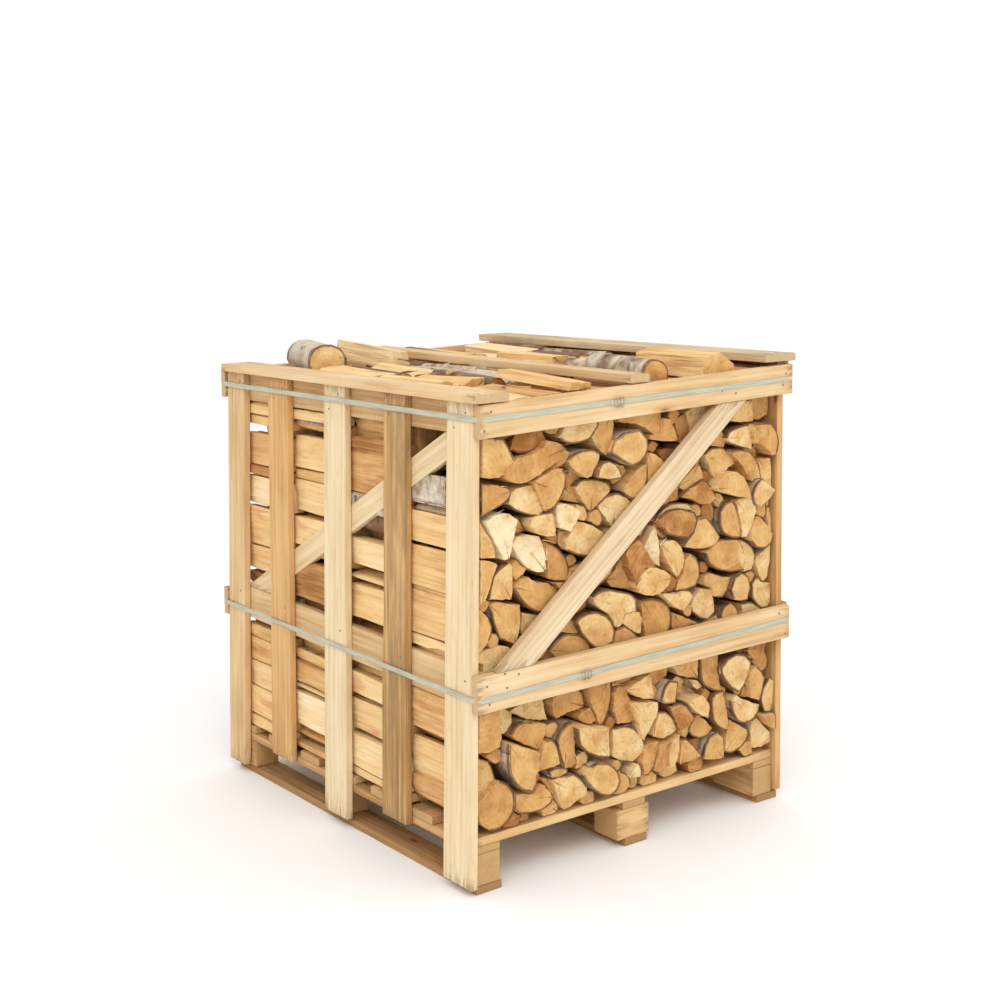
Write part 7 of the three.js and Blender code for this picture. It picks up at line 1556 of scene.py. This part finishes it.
def add_log(bag, kind, poly, y0, y1, lrng, spacing=9.0, along=(0.04, 0.14, 0.4), limit=True,
            shrink=0.35, caps=(3, 1), skew=6.0, endrough=1.0, endtilt=0.05, shell=False):
    """one log: outline at its front end, swept to its back end"""
    p = [tuple(q) for q in poly]
    area = 0.5 * sum(p[i][0] * p[(i + 1) % len(p)][1] - p[(i + 1) % len(p)][0] * p[i][1] for i in range(len(p)))
    if area < 0:
        p = p[::-1]
    size = math.sqrt(abs(area))
    left_bark = kind == "B"
    if kind == "S":                  # a short one, with a hollow behind it
        y1 = y0 + 132.0
    kind = {"S": "s", "B": "s"}.get(kind, kind)
    flags = [kind == "r"] * len(p)
    if kind not in "rp":
        run = bark_run(p)
        if run is not None:
            for k in range(run[1]):
                flags[(run[0] + k) % len(p)] = True
    if kind == "w" and not any(flags):
        flags = [True] * len(p)
    q, isb = refine(p, flags, spacing)
    if left_bark:
        isb = isb | (q[:, 0] < q[:, 0].min() + 26.0)
    elif limit and kind in "spo" and q[:, 0].min() < 62.0:
        isb = isb & (q[:, 0] > q[:, 0].min() + 30.0)
    n = len(q)
    c = q.mean(0)
    tang = np.roll(q, -1, axis=0) - np.roll(q, 1, axis=0)
    nor = np.stack([tang[:, 1], -tang[:, 0]], 1)
    nor /= np.maximum(np.linalg.norm(nor, axis=1, keepdims=True), 1e-6)
    q = q - nor * shrink
    seed = lrng.uniform(0, 900)
    off = [lrng.uniform(0, 5000) for _ in range(3)]
    tn = TONE[kind] + lrng.uniform(-0.28, 0.28)
    bk = {"w": 0.86, "g": 0.52, "n": 0.22}.get(kind, lrng.choice((0.0, 0.1, 0.2, 0.45)))
    # the pith: beyond the split corner, or inside a round log
    if isb.any() and not isb.all():
        away = c - q[isb].mean(0)
        pith = c + away * lrng.uniform(0.8, 1.7)
    elif isb.all():
        pith = c + np.array([lrng.uniform(-4, 4), lrng.uniform(-4, 4)])
    else:
        a = lrng.uniform(0, 6.28)
        pith = c + size * 0.7 * np.array([math.cos(a), math.sin(a)])
    sc1 = lrng.uniform(0.94, 1.0)
    sh1 = np.array([lrng.uniform(-skew, skew), lrng.uniform(-skew, skew)]) * 0.7
    tilt = (lrng.uniform(-endtilt, endtilt), lrng.uniform(-endtilt, endtilt))
    tilt1 = (lrng.uniform(-0.05, 0.05), lrng.uniform(-0.05, 0.05))
    twist = lrng.uniform(-0.04, 0.04)
    jit = lrng.uniform(0.0, 2.6)
    if left_bark:
        bk = 0.5
    length = y1 - y0
    ts = [0.0, 0.9 / length] + list(along) + [1 - 0.9 / length, 1.0]
    peri = np.concatenate([[0], np.cumsum(np.linalg.norm(np.diff(q, axis=0), axis=1))])
    rings = []

    def put(x, y, z, g, rim=0.0):
        if limit:
            x = max(x, left_limit(z, y) + jit)
            x = min(x, 1031.0 - jit if y > -2.0 else 1057.0 - jit)
            z = max(z, 141.0 + 0.4 * jit)
        bag.v.append((x, y, z))
        bag.grain.append(g)
        bag.ring.append((0.0, x - pith[0], z - pith[1]))
        bag.tone.append(tn)
        bag.bark.append(bk)
        bag.rim.append(rim)
        bag.n += 1
        return bag.n - 1

    soft = min(1.0, size / 70.0)
    for ti, t in enumerate(ts):
        ca, sa = math.cos(twist * t), math.sin(twist * t)
        s = 1 + (sc1 - 1) * t
        ring = []
        y = y0 + length * t
        endin = 0.8 if ti in (0, len(ts) - 1) else 0.0
        for i in range(n):
            d = q[i] - nor[i] * endin - c
            # torn fibres on the split faces, gentle lumps on the bark
            if isb[i]:
                h = 1.3 * n3(seed + peri[i] / 40.0, y / 60.0, 2.0) + 0.6 * n3(seed + peri[i] / 9.0, y / 24.0, 4.0)
            else:
                h = 2.8 * n3(seed + peri[i] / 13.0, y / 200.0, 0.0) + 2.0 * n3(seed + peri[i] / 5.0, y / 80.0, 8.0) - 0.9
            d = d + nor[i] * h * soft
            x = c[0] + (d[0] * ca - d[1] * sa) * s + sh1[0] * t
            z = c[1] + (d[0] * sa + d[1] * ca) * s + sh1[1] * t
            yy = y
            if ti <= 1:
                yy = y + tilt[0] * (x - c[0]) + tilt[1] * (z - c[1])
            elif ti >= len(ts) - 2:
                yy = y + tilt1[0] * (x - c[0]) + tilt1[1] * (z - c[1])
            ring.append(put(x, yy, z, (yy + off[0], (peri[i] if isb[i] else x) + off[1], (0 if isb[i] else z) + off[2])))
        rings.append(ring)
    for a, b in zip(rings, rings[1:]):
        for i in range(n):
            j = (i + 1) % n
            bag.f.append((a[i], a[j], b[j], b[i]))
            bag.m.append(2 if (isb[i] and isb[j]) else 0)
            bag.sm.append(isb[i] and isb[j])
    # the bark's own thickness round the front end, ragged, standing a little proud
    if shell and isb.any():
        runs, k = [], 0
        start = next((i for i in range(n) if not isb[i - 1] and isb[i]), 0)
        while k < n:
            i = (start + k) % n
            if isb[i]:
                run = []
                while k < n and isb[(start + k) % n]:
                    run.append((start + k) % n)
                    k += 1
                if len(run) > 2:
                    runs.append(run)
            else:
                k += 1
        for run in runs:
            base = []
            for e, i in enumerate(run):
                taper = min(1.0, 0.35 + e / 2.0, 0.35 + (len(run) - 1 - e) / 2.0)
                rag = 0.6 + 2.6 * abs(n3(seed + peri[i] / 7.0, 3.3, 1.0)) + 1.2 * n3(seed + peri[i] / 2.5, 1.0, 7.0)
                th = (1.15 + 0.9 * n3(seed + peri[i] / 11.0, 9.0, 2.0)) * taper
                px, py, pz = bag.v[rings[1][i]]
                four = []
                for o, yy, dark in ((0.05, py - rag * taper, True), (th, py - rag * taper * 0.7, True), (th * 0.8, py + 11.0, False), (-0.6, py + 11.0, False)):
                    four.append(put(px + nor[i][0] * o, yy, pz + nor[i][1] * o, (yy + off[0], peri[i] + off[1], off[2])))
                    if dark:
                        bag.bark[-1] = -0.35
                base.append(four)
            for u, v in zip(base, base[1:]):
                for c_ in range(4):
                    d_ = (c_ + 1) % 4
                    bag.f.append((u[c_], v[c_], v[d_], u[d_]))
                    bag.m.append(2)
                    bag.sm.append(False)
            bag.f.append(tuple(base[0]))
            bag.f.append(tuple(base[-1][::-1]))
            bag.m += [2, 2]
            bag.sm += [False, False]
    # sawn ends, with their own points so the rim stays crisp
    for end in (0, 1):
        src = rings[0] if end == 0 else rings[-1]
        P = np.array([bag.v[k] for k in src])
        cc = P.mean(0)
        prev = [put(P[i][0], P[i][1], P[i][2], (off[0], P[i][0] + off[1], P[i][2] + off[2]), 1.0 if isb[i] else 0.0) for i in range(n)]
        for f_ in {1: [0.55], 2: [0.92, 0.5], 3: [0.93, 0.66, 0.33], 4: [0.95, 0.78, 0.55, 0.28]}[caps[end]]:
            cur = []
            for i in range(n):
                x, y, z = cc + (P[i] - cc) * f_
                y += endrough * (0.8 * n3(x / 13.0 + seed, z / 13.0, end * 5.0) + 0.4 * n3(x / 4.0, z / 4.0 + seed, end * 9.0)) * (1 if end == 0 else -1)
                rim = 0.72 if (isb[i] and f_ > 0.9) else 0.0
                cur.append(put(x, y, z, (off[0], x + off[1], z + off[2]), rim))
            for i in range(n):
                j = (i + 1) % n
                bag.f.append((prev[j], prev[i], cur[i], cur[j]) if end == 0 else (prev[i], prev[j], cur[j], cur[i]))
                bag.m.append(1)
                bag.sm.append(True)
            prev = cur
        k = put(cc[0], cc[1], cc[2], (off[0], cc[0] + off[1], cc[2] + off[2]))
        for i in range(n):
            j = (i + 1) % n
            bag.f.append((prev[j], prev[i], k) if end == 0 else (prev[i], prev[j], k))
            bag.m.append(1)
            bag.sm.append(True)


def bag_mesh(bag, name):
    return new_mesh(name, bag.v, bag.f, [M_SPLIT, M_END, M_BARK], mat_index=bag.m, smooth=bag.sm,
                    vec={"grain": bag.grain, "ring": bag.ring},
                    flt={"tone": bag.tone, "bark": bag.bark, "rim": bag.rim})


def build_rows():
    rows = {1: [], 2: [], 3: [], 4: []}
    for line in LOGS.strip().split("\n"):
        a = line.split()
        rows[int(a[0])].append((a[1], float(a[2]), [tuple(map(float, s.split(","))) for s in a[3:]]))
    for r, logs in rows.items():
        bags = [Bag(), Bag()]
        lrng = random.Random(100 + r)
        ya, yb = ROWS[r - 1]
        for kind, y0, poly in logs:
            xs = [p[0] for p in poly]
            if max(xs) > 1027.0:             # keep clear of the right slats without flattening
                x0 = min(xs)
                f = (1027.0 - x0) / (max(xs) - x0)
                poly = [(x0 + (p[0] - x0) * f, p[1]) for p in poly]
                xs = [p[0] for p in poly]
            zs = [p[1] for p in poly]
            # the front row is two meshes, below and above the middle rail
            bag = bags[1] if r == 1 and sum(zs) / len(zs) > 640 else bags[0]
            edge = min(xs) < 62
            showy = edge or max(zs) > 1120 or max(xs) > 985
            back = yb + (3.0 if edge else lrng.uniform(-9, 0))
            start = y0 if r == 1 else ya + (0.0 if edge else max(0.0, y0))
            if r == 4:
                back = yb + lrng.uniform(-14, 12)
            steps = (0.03, 0.12, 0.26, 0.42, 0.58, 0.74, 0.89) if showy else (0.04, 0.16, 0.5)
            lift = -1.6 if (edge and r == 4) else (-0.6 if edge else 0.35)
            top = max(zs) > 1120
            if r == 1:
                add_log(bag, kind, poly, start, back, lrng, spacing=7.5, along=steps, caps=(4, 1), skew=3.0 if edge else (13.0 if top else 6.0), endrough=1.2, shrink=lift, shell=True)
            elif showy:
                add_log(bag, kind, poly, start, back, lrng, spacing=8.0, along=steps, caps=(3, 3), skew=(2.0 if r == 4 else 8.0) if edge else (13.0 if top else 5.0), shrink=lift)
            elif r == 4:
                add_log(bag, kind, poly, start, back, lrng, spacing=10.0, along=(0.5, 0.9), caps=(1, 3), skew=4.0)
            else:
                add_log(bag, kind, poly, start, back, lrng, spacing=16.0, along=(0.5,), caps=(1, 1), skew=4.0)
        for k, bag in enumerate(bags):
            if not bag.n:
                continue
            ob = bag_mesh(bag, "split_logs_row_%d%s" % (r, "_upper" if k else ""))
            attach(ob, "root")
            if k == 0:
                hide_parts("firewood_row_%d" % r)


def loose_log(node, kind, a, b, section, seed, tilt=0.05, rough=1.6):
    """a log lying on top, between two end points, its section as (across, up)"""
    lrng = random.Random(seed)
    bag = Bag()
    a, b = np.array(a, float), np.array(b, float)
    length = float(np.linalg.norm(b - a))
    add_log(bag, kind, section, 0.0, length, lrng, spacing=4.5, along=[k / 22.0 for k in range(1, 22)],
            limit=False, shrink=0.0, skew=0.0, caps=(4, 4), endrough=rough, endtilt=tilt, shell=True)
    along = (b - a) / length
    across = np.cross(along, (0, 0, 1.0))
    across /= np.linalg.norm(across)
    up = np.cross(across, along)
    R = np.stack([across, along, up])
    V = a + np.array(bag.v) @ R
    nb = np.array([tuple(v.co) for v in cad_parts[node].data.vertices]) * 1000.0 + np.array([ORIGIN[0], ORIGIN[1], 0.0])
    V = np.clip(V, nb.min(0), nb.max(0))
    bag.v = V.tolist()
    ob = bag_mesh(bag, node + "_log")
    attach(ob, "root")
    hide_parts(node)
    return ob


def circle(r, n, sq=1.0):
    return [(r * math.cos(2 * math.pi * k / n), sq * r * math.sin(2 * math.pi * k / n)) for k in range(n)]


def build_top():
    loose_log("top_log_white_bark", "w", (172, 884, 1204), (243, 1142, 1206),
              [(-54, -4), (-50, 22), (-36, 42), (-14, 52), (12, 52), (34, 42), (50, 22), (52, -6), (30, -26), (4, -30), (-20, -46), (-40, -34)], 3, tilt=0.5, rough=5.0)
    loose_log("top_log_leaning", "p", (398, 872, 1204), (372, 1124, 1224), [(-38, -28), (44, -20), (30, 22), (-30, 30)], 5)
    loose_log("top_log_flat_split", "p", (350, 8, 1184), (338, 284, 1200), [(-40, -3), (36, -3), (34, 14), (-30, 20)], 6)
    loose_log("top_log_grey_bark", "g", (603, 12, 1206), (640, 284, 1210), [(-40, -24), (34, -26), (36, 4), (26, 22), (8, 33), (-16, 34), (-34, 20), (-40, 0)], 8)
    loose_log("top_log_big_split", "p", (818, 9, 1206), (824, 284, 1208), [(-56, -26), (54, -30), (58, 6), (6, 42), (-46, 30)], 9)


# ------------------------------------------------------------------ straps
def plan_offset(points, d):
    out = []
    n = len(points)
    for i in range(n):
        p, q, r = points[i - 1], points[i], points[(i + 1) % n]
        a = (q[0] - p[0], q[1] - p[1])
        b = (r[0] - q[0], r[1] - q[1])
        la, lb = math.hypot(*a), math.hypot(*b)
        na, nb = (a[1] / la, -a[0] / la), (b[1] / lb, -b[0] / lb)
        k = 1 + na[0] * nb[0] + na[1] * nb[1]
        out.append((q[0] + d * (na[0] + nb[0]) / k, q[1] + d * (na[1] + nb[1]) / k))
    return out


def strap(node, plan, z0, sx, sy, seed):
    pts = plan_offset(plan, 0.15)
    path = []
    n = len(pts)
    for i in range(n):
        p, q = pts[i], pts[(i + 1) % n]
        L = math.dist(p, q)
        k = max(1, int(L / 16.0))
        for j in range(k):
            t = j / k
            path.append((p[0] + (q[0] - p[0]) * t, p[1] + (q[1] - p[1]) * t))
    # ease the corners
    P = np.array(path)
    for _ in range(2):
        P = 0.6 * P + 0.2 * (np.roll(P, 1, axis=0) + np.roll(P, -1, axis=0))
    n = len(P)
    tang = np.roll(P, -1, axis=0) - np.roll(P, 1, axis=0)
    tang /= np.linalg.norm(tang, axis=1, keepdims=True)
    nor = np.stack([tang[:, 1], -tang[:, 0]], 1)
    s = np.concatenate([[0], np.cumsum(np.linalg.norm(np.diff(P, axis=0), axis=1))])
    half, th = 6.4, 0.75
    prof = [(-half, 0.1), (-half + 0.5, 0.0), (half - 0.5, 0.0), (half, 0.1), (half, th - 0.1), (half - 0.5, th), (0.0, th), (-half + 0.5, th), (-half, th - 0.1)]
    V, F, G = [], [], []
    for i in range(n):
        x, y = P[i]
        wob = 0.8 * n3(s[i] / 160.0 + seed, 0, 0)
        lift = 0.10 + 0.12 * n3(s[i] / 70.0, seed, 0)
        z = z0 + sx * x + sy * y + wob
        for h, d in prof:
            V.append((x + nor[i, 0] * (d + lift), y + nor[i, 1] * (d + lift), z + h))
            G.append((s[i], h, d))
    m = len(prof)
    for i in range(n):
        j = (i + 1) % n
        for k in range(m):
            l = (k + 1) % m
            F.append((i * m + k, j * m + k, j * m + l, i * m + l))
    V = np.array(V)
    ob = new_mesh(node + "_band", V, F, [M_STRAP], vec={"grain": G})
    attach(ob, "root")
    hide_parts(node)
    return ob


def tube(points, r, sides=8, closed=False):
    """a wire along points, as verts and faces"""
    P = np.array(points, float)
    n = len(P)
    V, F = [], []
    for i in range(n):
        if closed:
            t = P[(i + 1) % n] - P[i - 1]
        else:
            t = P[min(i + 1, n - 1)] - P[max(i - 1, 0)]
        t /= np.linalg.norm(t)
        ref = np.array([0, 1.0, 0]) if abs(t[1]) < 0.9 else np.array([1.0, 0, 0])
        a = np.cross(t, ref)
        a /= np.linalg.norm(a)
        b = np.cross(t, a)
        for k in range(sides):
            u = 2 * math.pi * k / sides
            V.append(P[i] + r * (math.cos(u) * a + math.sin(u) * b))
    for i in range(n if closed else n - 1):
        j = (i + 1) % n
        for k in range(sides):
            l = (k + 1) % sides
            F.append((i * sides + k, i * sides + l, j * sides + l, j * sides + k))
    if not closed:
        F.append(tuple(range(sides))[::-1])
        F.append(tuple((n - 1) * sides + k for k in range(sides)))
    return V, F


def buckle(node, x, z, w, h, tilt):
    """a wire buckle: an outer frame with two cross wires, the strap threaded through and doubled back"""
    V, F = [], []

    def add(vf):
        base = len(V)
        V.extend(vf[0])
        F.extend([tuple(i + base for i in f) for f in vf[1]])

    yb = -27.75
    hw, hh, r = w * 0.30, h / 2, 1.25

    def loop(x0, hw_, hh_):
        pts = []
        for k in range(28):
            a = 2 * math.pi * k / 28
            cx, cz = math.cos(a), math.sin(a)
            sx = math.copysign(abs(cx) ** 0.35, cx) * hw_
            sz = math.copysign(abs(cz) ** 0.35, cz) * hh_
            pts.append((x0 + sx, yb - 0.3 * abs(cz), sz))
        return pts
    add(tube([(p[0], p[1], p[2]) for p in loop(0, hw, hh)], r, closed=True))
    for dx in (-hw * 0.32, hw * 0.32):
        add(tube([(dx, yb, -hh + 1), (dx, yb - 0.9, -hh * 0.4), (dx, yb - 0.9, hh * 0.4), (dx, yb, hh - 1)], r))
    out = []
    ca, sa = math.cos(tilt), math.sin(tilt)
    for p in V:
        out.append((x + p[0] * ca - p[2] * sa, p[1], z + p[0] * sa + p[2] * ca))
    ob = new_mesh(node + "_wire", out, F, [M_STEEL], vec={"grain": out})
    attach(ob, "root")
    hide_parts(node)
    # the doubled strap under and beside it
    V2, F2, G2 = [], [], []
    xs = np.linspace(-w * 0.5, w * 0.5, 14)
    for i, dx in enumerate(xs):
        yy = -26.3 - 0.4 * math.sin(math.pi * i / 13.0)
        for zz, dy in ((-6.2, 0.35), (-5.8, 0.0), (5.8, 0.0), (6.2, 0.35), (6.2, 0.75), (5.8, 0.8), (-5.8, 0.8), (-6.2, 0.75)):
            V2.append((x + dx * ca - zz * sa, yy + dy - 0.5, z + dx * sa + zz * ca))
            G2.append((dx + 300, zz, 0))
    for i in range(13):
        for k in range(8):
            l = (k + 1) % 8
            F2.append((i * 8 + k, i * 8 + l, (i + 1) * 8 + l, (i + 1) * 8 + k))
    F2.append(tuple(range(8))[::-1])
    F2.append(tuple(13 * 8 + k for k in range(8)))
    t = new_mesh(node + "_strap_end", V2, F2, [M_STRAP], vec={"grain": G2})
    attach(t, "root")


# ------------------------------------------------------------------ nails
def build_nails():
    V, F = [], []
    heads = []                               # centre, outward normal
    front = [(55, 1154), (35, 1111), (33, 514), (86, 549 - 14), (127, 527), (1028, 1150), (1040, 1180), (1046, 470), (1020, 530), (40, 470),
             (800, 1150), (850, 1140), (92, 500), (140, 480)]
    for x, z in front:
        heads.append(((x, -24.0, z), (0, -1, 0)))
    for y, z in ((30, 1150), (75, 1112), (28, 520), (82, 476), (310, 1140), (352, 1120), (300, 520), (345, 470), (590, 1152), (636, 1110),
                 (585, 530), (632, 482), (880, 1146), (930, 1116), (875, 536), (925, 490), (1125, 1150), (1175, 1110), (1135, 540), (1180, 498)):
        heads.append(((-4 + 0.022 * z, y, z), (-1, 0, 0.022)))
    for x, y in ((30, -10), (75, 4), (30, 300), (80, 330), (36, 610), (78, 640), (30, 900), (84, 930), (40, 1150), (80, 1180)):
        heads.append(((x, y, 1196.0), (0, 0, 1)))
    for x, y in ((985, 0), (1040, 14), (1000, 320), (1050, 350), (1046, 620), (1000, 900), (1046, 1190), (990, 1225)):
        heads.append(((x, y, 1233.5), (0, 0, 1)))
    for c, nrm in heads:
        c = np.array(c, float)
        nrm = np.array(nrm, float)
        nrm /= np.linalg.norm(nrm)
        a = np.cross(nrm, (0.3, 0.9, 0.1))
        a /= np.linalg.norm(a)
        b = np.cross(nrm, a)
        base = len(V)
        r = 3.4
        prof = [(r * 0.98, -0.9), (r, 0.0), (r * 0.86, 0.28), (r * 0.4, 0.36)]
        for rr, h in prof:
            for k in range(12):
                u = 2 * math.pi * k / 12
                V.append(c + nrm * (h - 0.35) + rr * (math.cos(u) * a + math.sin(u) * b))
        V.append(c + nrm * 0.0)
        V.append(c + nrm * -1.3)
        for q in range(3):
            for k in range(12):
                l = (k + 1) % 12
                F.append((base + q * 12 + k, base + q * 12 + l, base + (q + 1) * 12 + l, base + (q + 1) * 12 + k))
        for k in range(12):
            l = (k + 1) % 12
            F.append((base + 36 + k, base + 36 + l, base + 48))
            F.append((base + l, base + k, base + 49))
    ob = new_mesh("nail_heads", V, F, [M_NAIL], vec={"grain": V})
    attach(ob, "root")


# ------------------------------------------------------------------ splinters
def build_splinters():
    """torn slivers and curls of bark left in the gaps of the front face and on top"""
    srng = random.Random(77)
    logs = [l.split() for l in LOGS.strip().split("\n")]
    front = [(float(a[2]), [tuple(map(float, p.split(","))) for p in a[3:]]) for a in logs if a[0] == "1"]
    V, F, G, B, M = [], [], [], [], []

    def clear(x, z):
        if not (62 < x < 1000 and 165 < z < 1070) or 430 < z < 580:
            return False
        t = ((x - 118) * 721 + (z - 540) * 578) / (721.0 ** 2 + 578.0 ** 2)
        return abs((x - 118) * 578 - (z - 540) * 721) / math.hypot(721, 578) > 84 or not (-0.08 < t < 1.08)

    def sliver(p, d, length, r, bend, bark):
        p, d = np.array(p, float), np.array(d, float)
        d /= np.linalg.norm(d)
        side = np.cross(d, (0.1, 1.0, 0.2))
        side /= np.linalg.norm(side)
        up = np.cross(side, d)
        base = len(V)
        for k in range(7):
            t = k / 6.0
            c = p + d * length * t + up * bend * t * t + side * 0.6 * math.sin(5 * t)
            w_, h_ = r * (1 - 0.85 * t) * (0.8 + 0.3 * math.sin(9 * t + length)), r * 0.45 * (1 - 0.8 * t)
            for a_, b_ in ((-w_, -h_), (w_, -h_ * 0.6), (w_ * 0.7, h_), (-w_ * 0.8, h_)):
                V.append(c + side * a_ + up * b_)
                G.append((length * t + p[0], a_ * 3 + p[2], b_ * 3))
                B.append(bark)
        for k in range(6):
            for q in range(4):
                l = (q + 1) % 4
                F.append((base + k * 4 + q, base + k * 4 + l, base + k * 4 + 4 + l, base + k * 4 + 4 + q))
                M.append(0 if bark < 0 else 1)
        F.append((base + 3, base + 2, base + 1, base))
        F.append((base + 24, base + 25, base + 26, base + 27))
        M.extend([0 if bark < 0 else 1] * 2)

    count = 0
    while count < 120:
        y0, poly = srng.choice(front)
        i = srng.randrange(len(poly))
        x, z = poly[i]
        if not clear(x, z):
            continue
        nx, nz = poly[(i + 1) % len(poly)]
        ang = math.atan2(nz - z, nx - x) + srng.uniform(-0.4, 0.4)
        kind = srng.random()
        bark = -1.0 if kind < 0.5 else (0.1 if kind < 0.9 else 0.6)
        ln = srng.uniform(14, 40)
        ex, ez = x + math.cos(ang) * ln, z + math.sin(ang) * ln
        if not clear(ex, ez):
            continue
        sliver((x, max(y0, -14) + srng.uniform(1, 4), z), (math.cos(ang), srng.uniform(-0.30, -0.05), math.sin(ang)), ln,
               srng.uniform(0.9, 2.2) if bark < 0 else srng.uniform(1.6, 3.6), srng.uniform(-5, 5), bark)
        count += 1
    # on top, lying on the logs between the caps
    for _ in range(46):
        x = srng.choice((srng.uniform(150, 470), srng.uniform(600, 930)))
        y = srng.uniform(40, 1120)
        z = 1181 if x < 480 and y < 288 else (1199 if y < 860 else 1190)
        if x < 480 and y > 850:
            continue
        a = srng.uniform(0, 6.28)
        kind = srng.random()
        sliver((x, y, z), (math.cos(a), math.sin(a), srng.uniform(0.02, 0.16)), srng.uniform(25, 70), srng.uniform(2.0, 5.0),
               srng.uniform(0, 8), -1.0 if kind < 0.35 else (0.0 if kind < 0.6 else 0.95))
    V_ = np.array(V)
    n = len(V_)
    ob = new_mesh("splinters", V_, F, [M_SPLIT, M_BARK], mat_index=M, smooth=[False] * len(F),
                  vec={"grain": G}, flt={"tone": [0.1] * n, "bark": [max(b, 0.0) for b in B]})
    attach(ob, "root")


# ------------------------------------------------------------------ floor and light
def build_stage():
    me = bpy.data.meshes.new("floor")
    s = 60.0
    me.from_pydata([(-s, -s, 0), (s, -s, 0), (s, s, 0), (-s, s, 0)], [], [(0, 1, 2, 3)])
    fl = bpy.data.objects.new("floor", me)
    bpy.context.scene.collection.objects.link(fl)
    w = Net("floor_paint")
    tc = w.node("ShaderNodeTexCoord").outputs["Object"]
    n = w.noise(tc, 0.6, 3, 0.5)
    w.put(w.bsdf.inputs["Base Color"], w.ramp(n, [(0.3, (0.94, 0.94, 0.94)), (0.7, (0.96, 0.96, 0.96))]))
    w.bsdf.inputs["Roughness"].default_value = 0.9
    w.bsdf.inputs["Specular IOR Level"].default_value = 0.1
    me.materials.append(w.mat)

    world = bpy.data.worlds.new("studio")
    bpy.context.scene.world = world
    world.use_nodes = True
    bg = world.node_tree.nodes["Background"]
    bg.inputs[0].default_value = (1.0, 1.0, 1.0, 1)
    bg.inputs[1].default_value = 1.07

    def area(name, loc, target, size, power, color=(1, 1, 1)):
        d = bpy.data.lights.new(name, "AREA")
        d.shape = "RECTANGLE"
        d.size, d.size_y = size
        d.energy = power
        d.color = color
        o = bpy.data.objects.new(name, d)
        o.location = loc
        o.rotation_euler = (Vector(target) - Vector(loc)).to_track_quat("-Z", "Y").to_euler()
        bpy.context.scene.collection.objects.link(o)
        return o
    area("key", (-2.6, -3.6, 4.2), (0, 0, 0.5), (2.6, 2.2), 74, (1.0, 0.985, 0.96))
    area("fill", (3.6, -3.0, 2.2), (0, 0, 0.5), (2.4, 2.0), 16, (1.0, 1.0, 1.0))


build_boards()
build_rows()
build_top()
strap("strap_upper", [(21.2, -25), (1067, -25), (1079, -1), (1079, 1214), (1072, 1235.4), (15.5, 1235.4), (15.5, 1208), (18.8, 0)], 1136.4, 0.0273, 0.0, 1.7)
strap("strap_lower", [(3.2, -25), (1061, -25), (1079, -2), (1079, 1213), (1069, 1235.4), (3.8, 1235.4)], 481.6, 0.0262, 0.0098, 6.1)
buckle("strap_buckle_upper", 443, 1147.5, 52, 24, 0.027)
buckle("strap_buckle_lower", 334, 488, 48, 24, 0.026)
build_nails()
build_splinters()
build_stage()
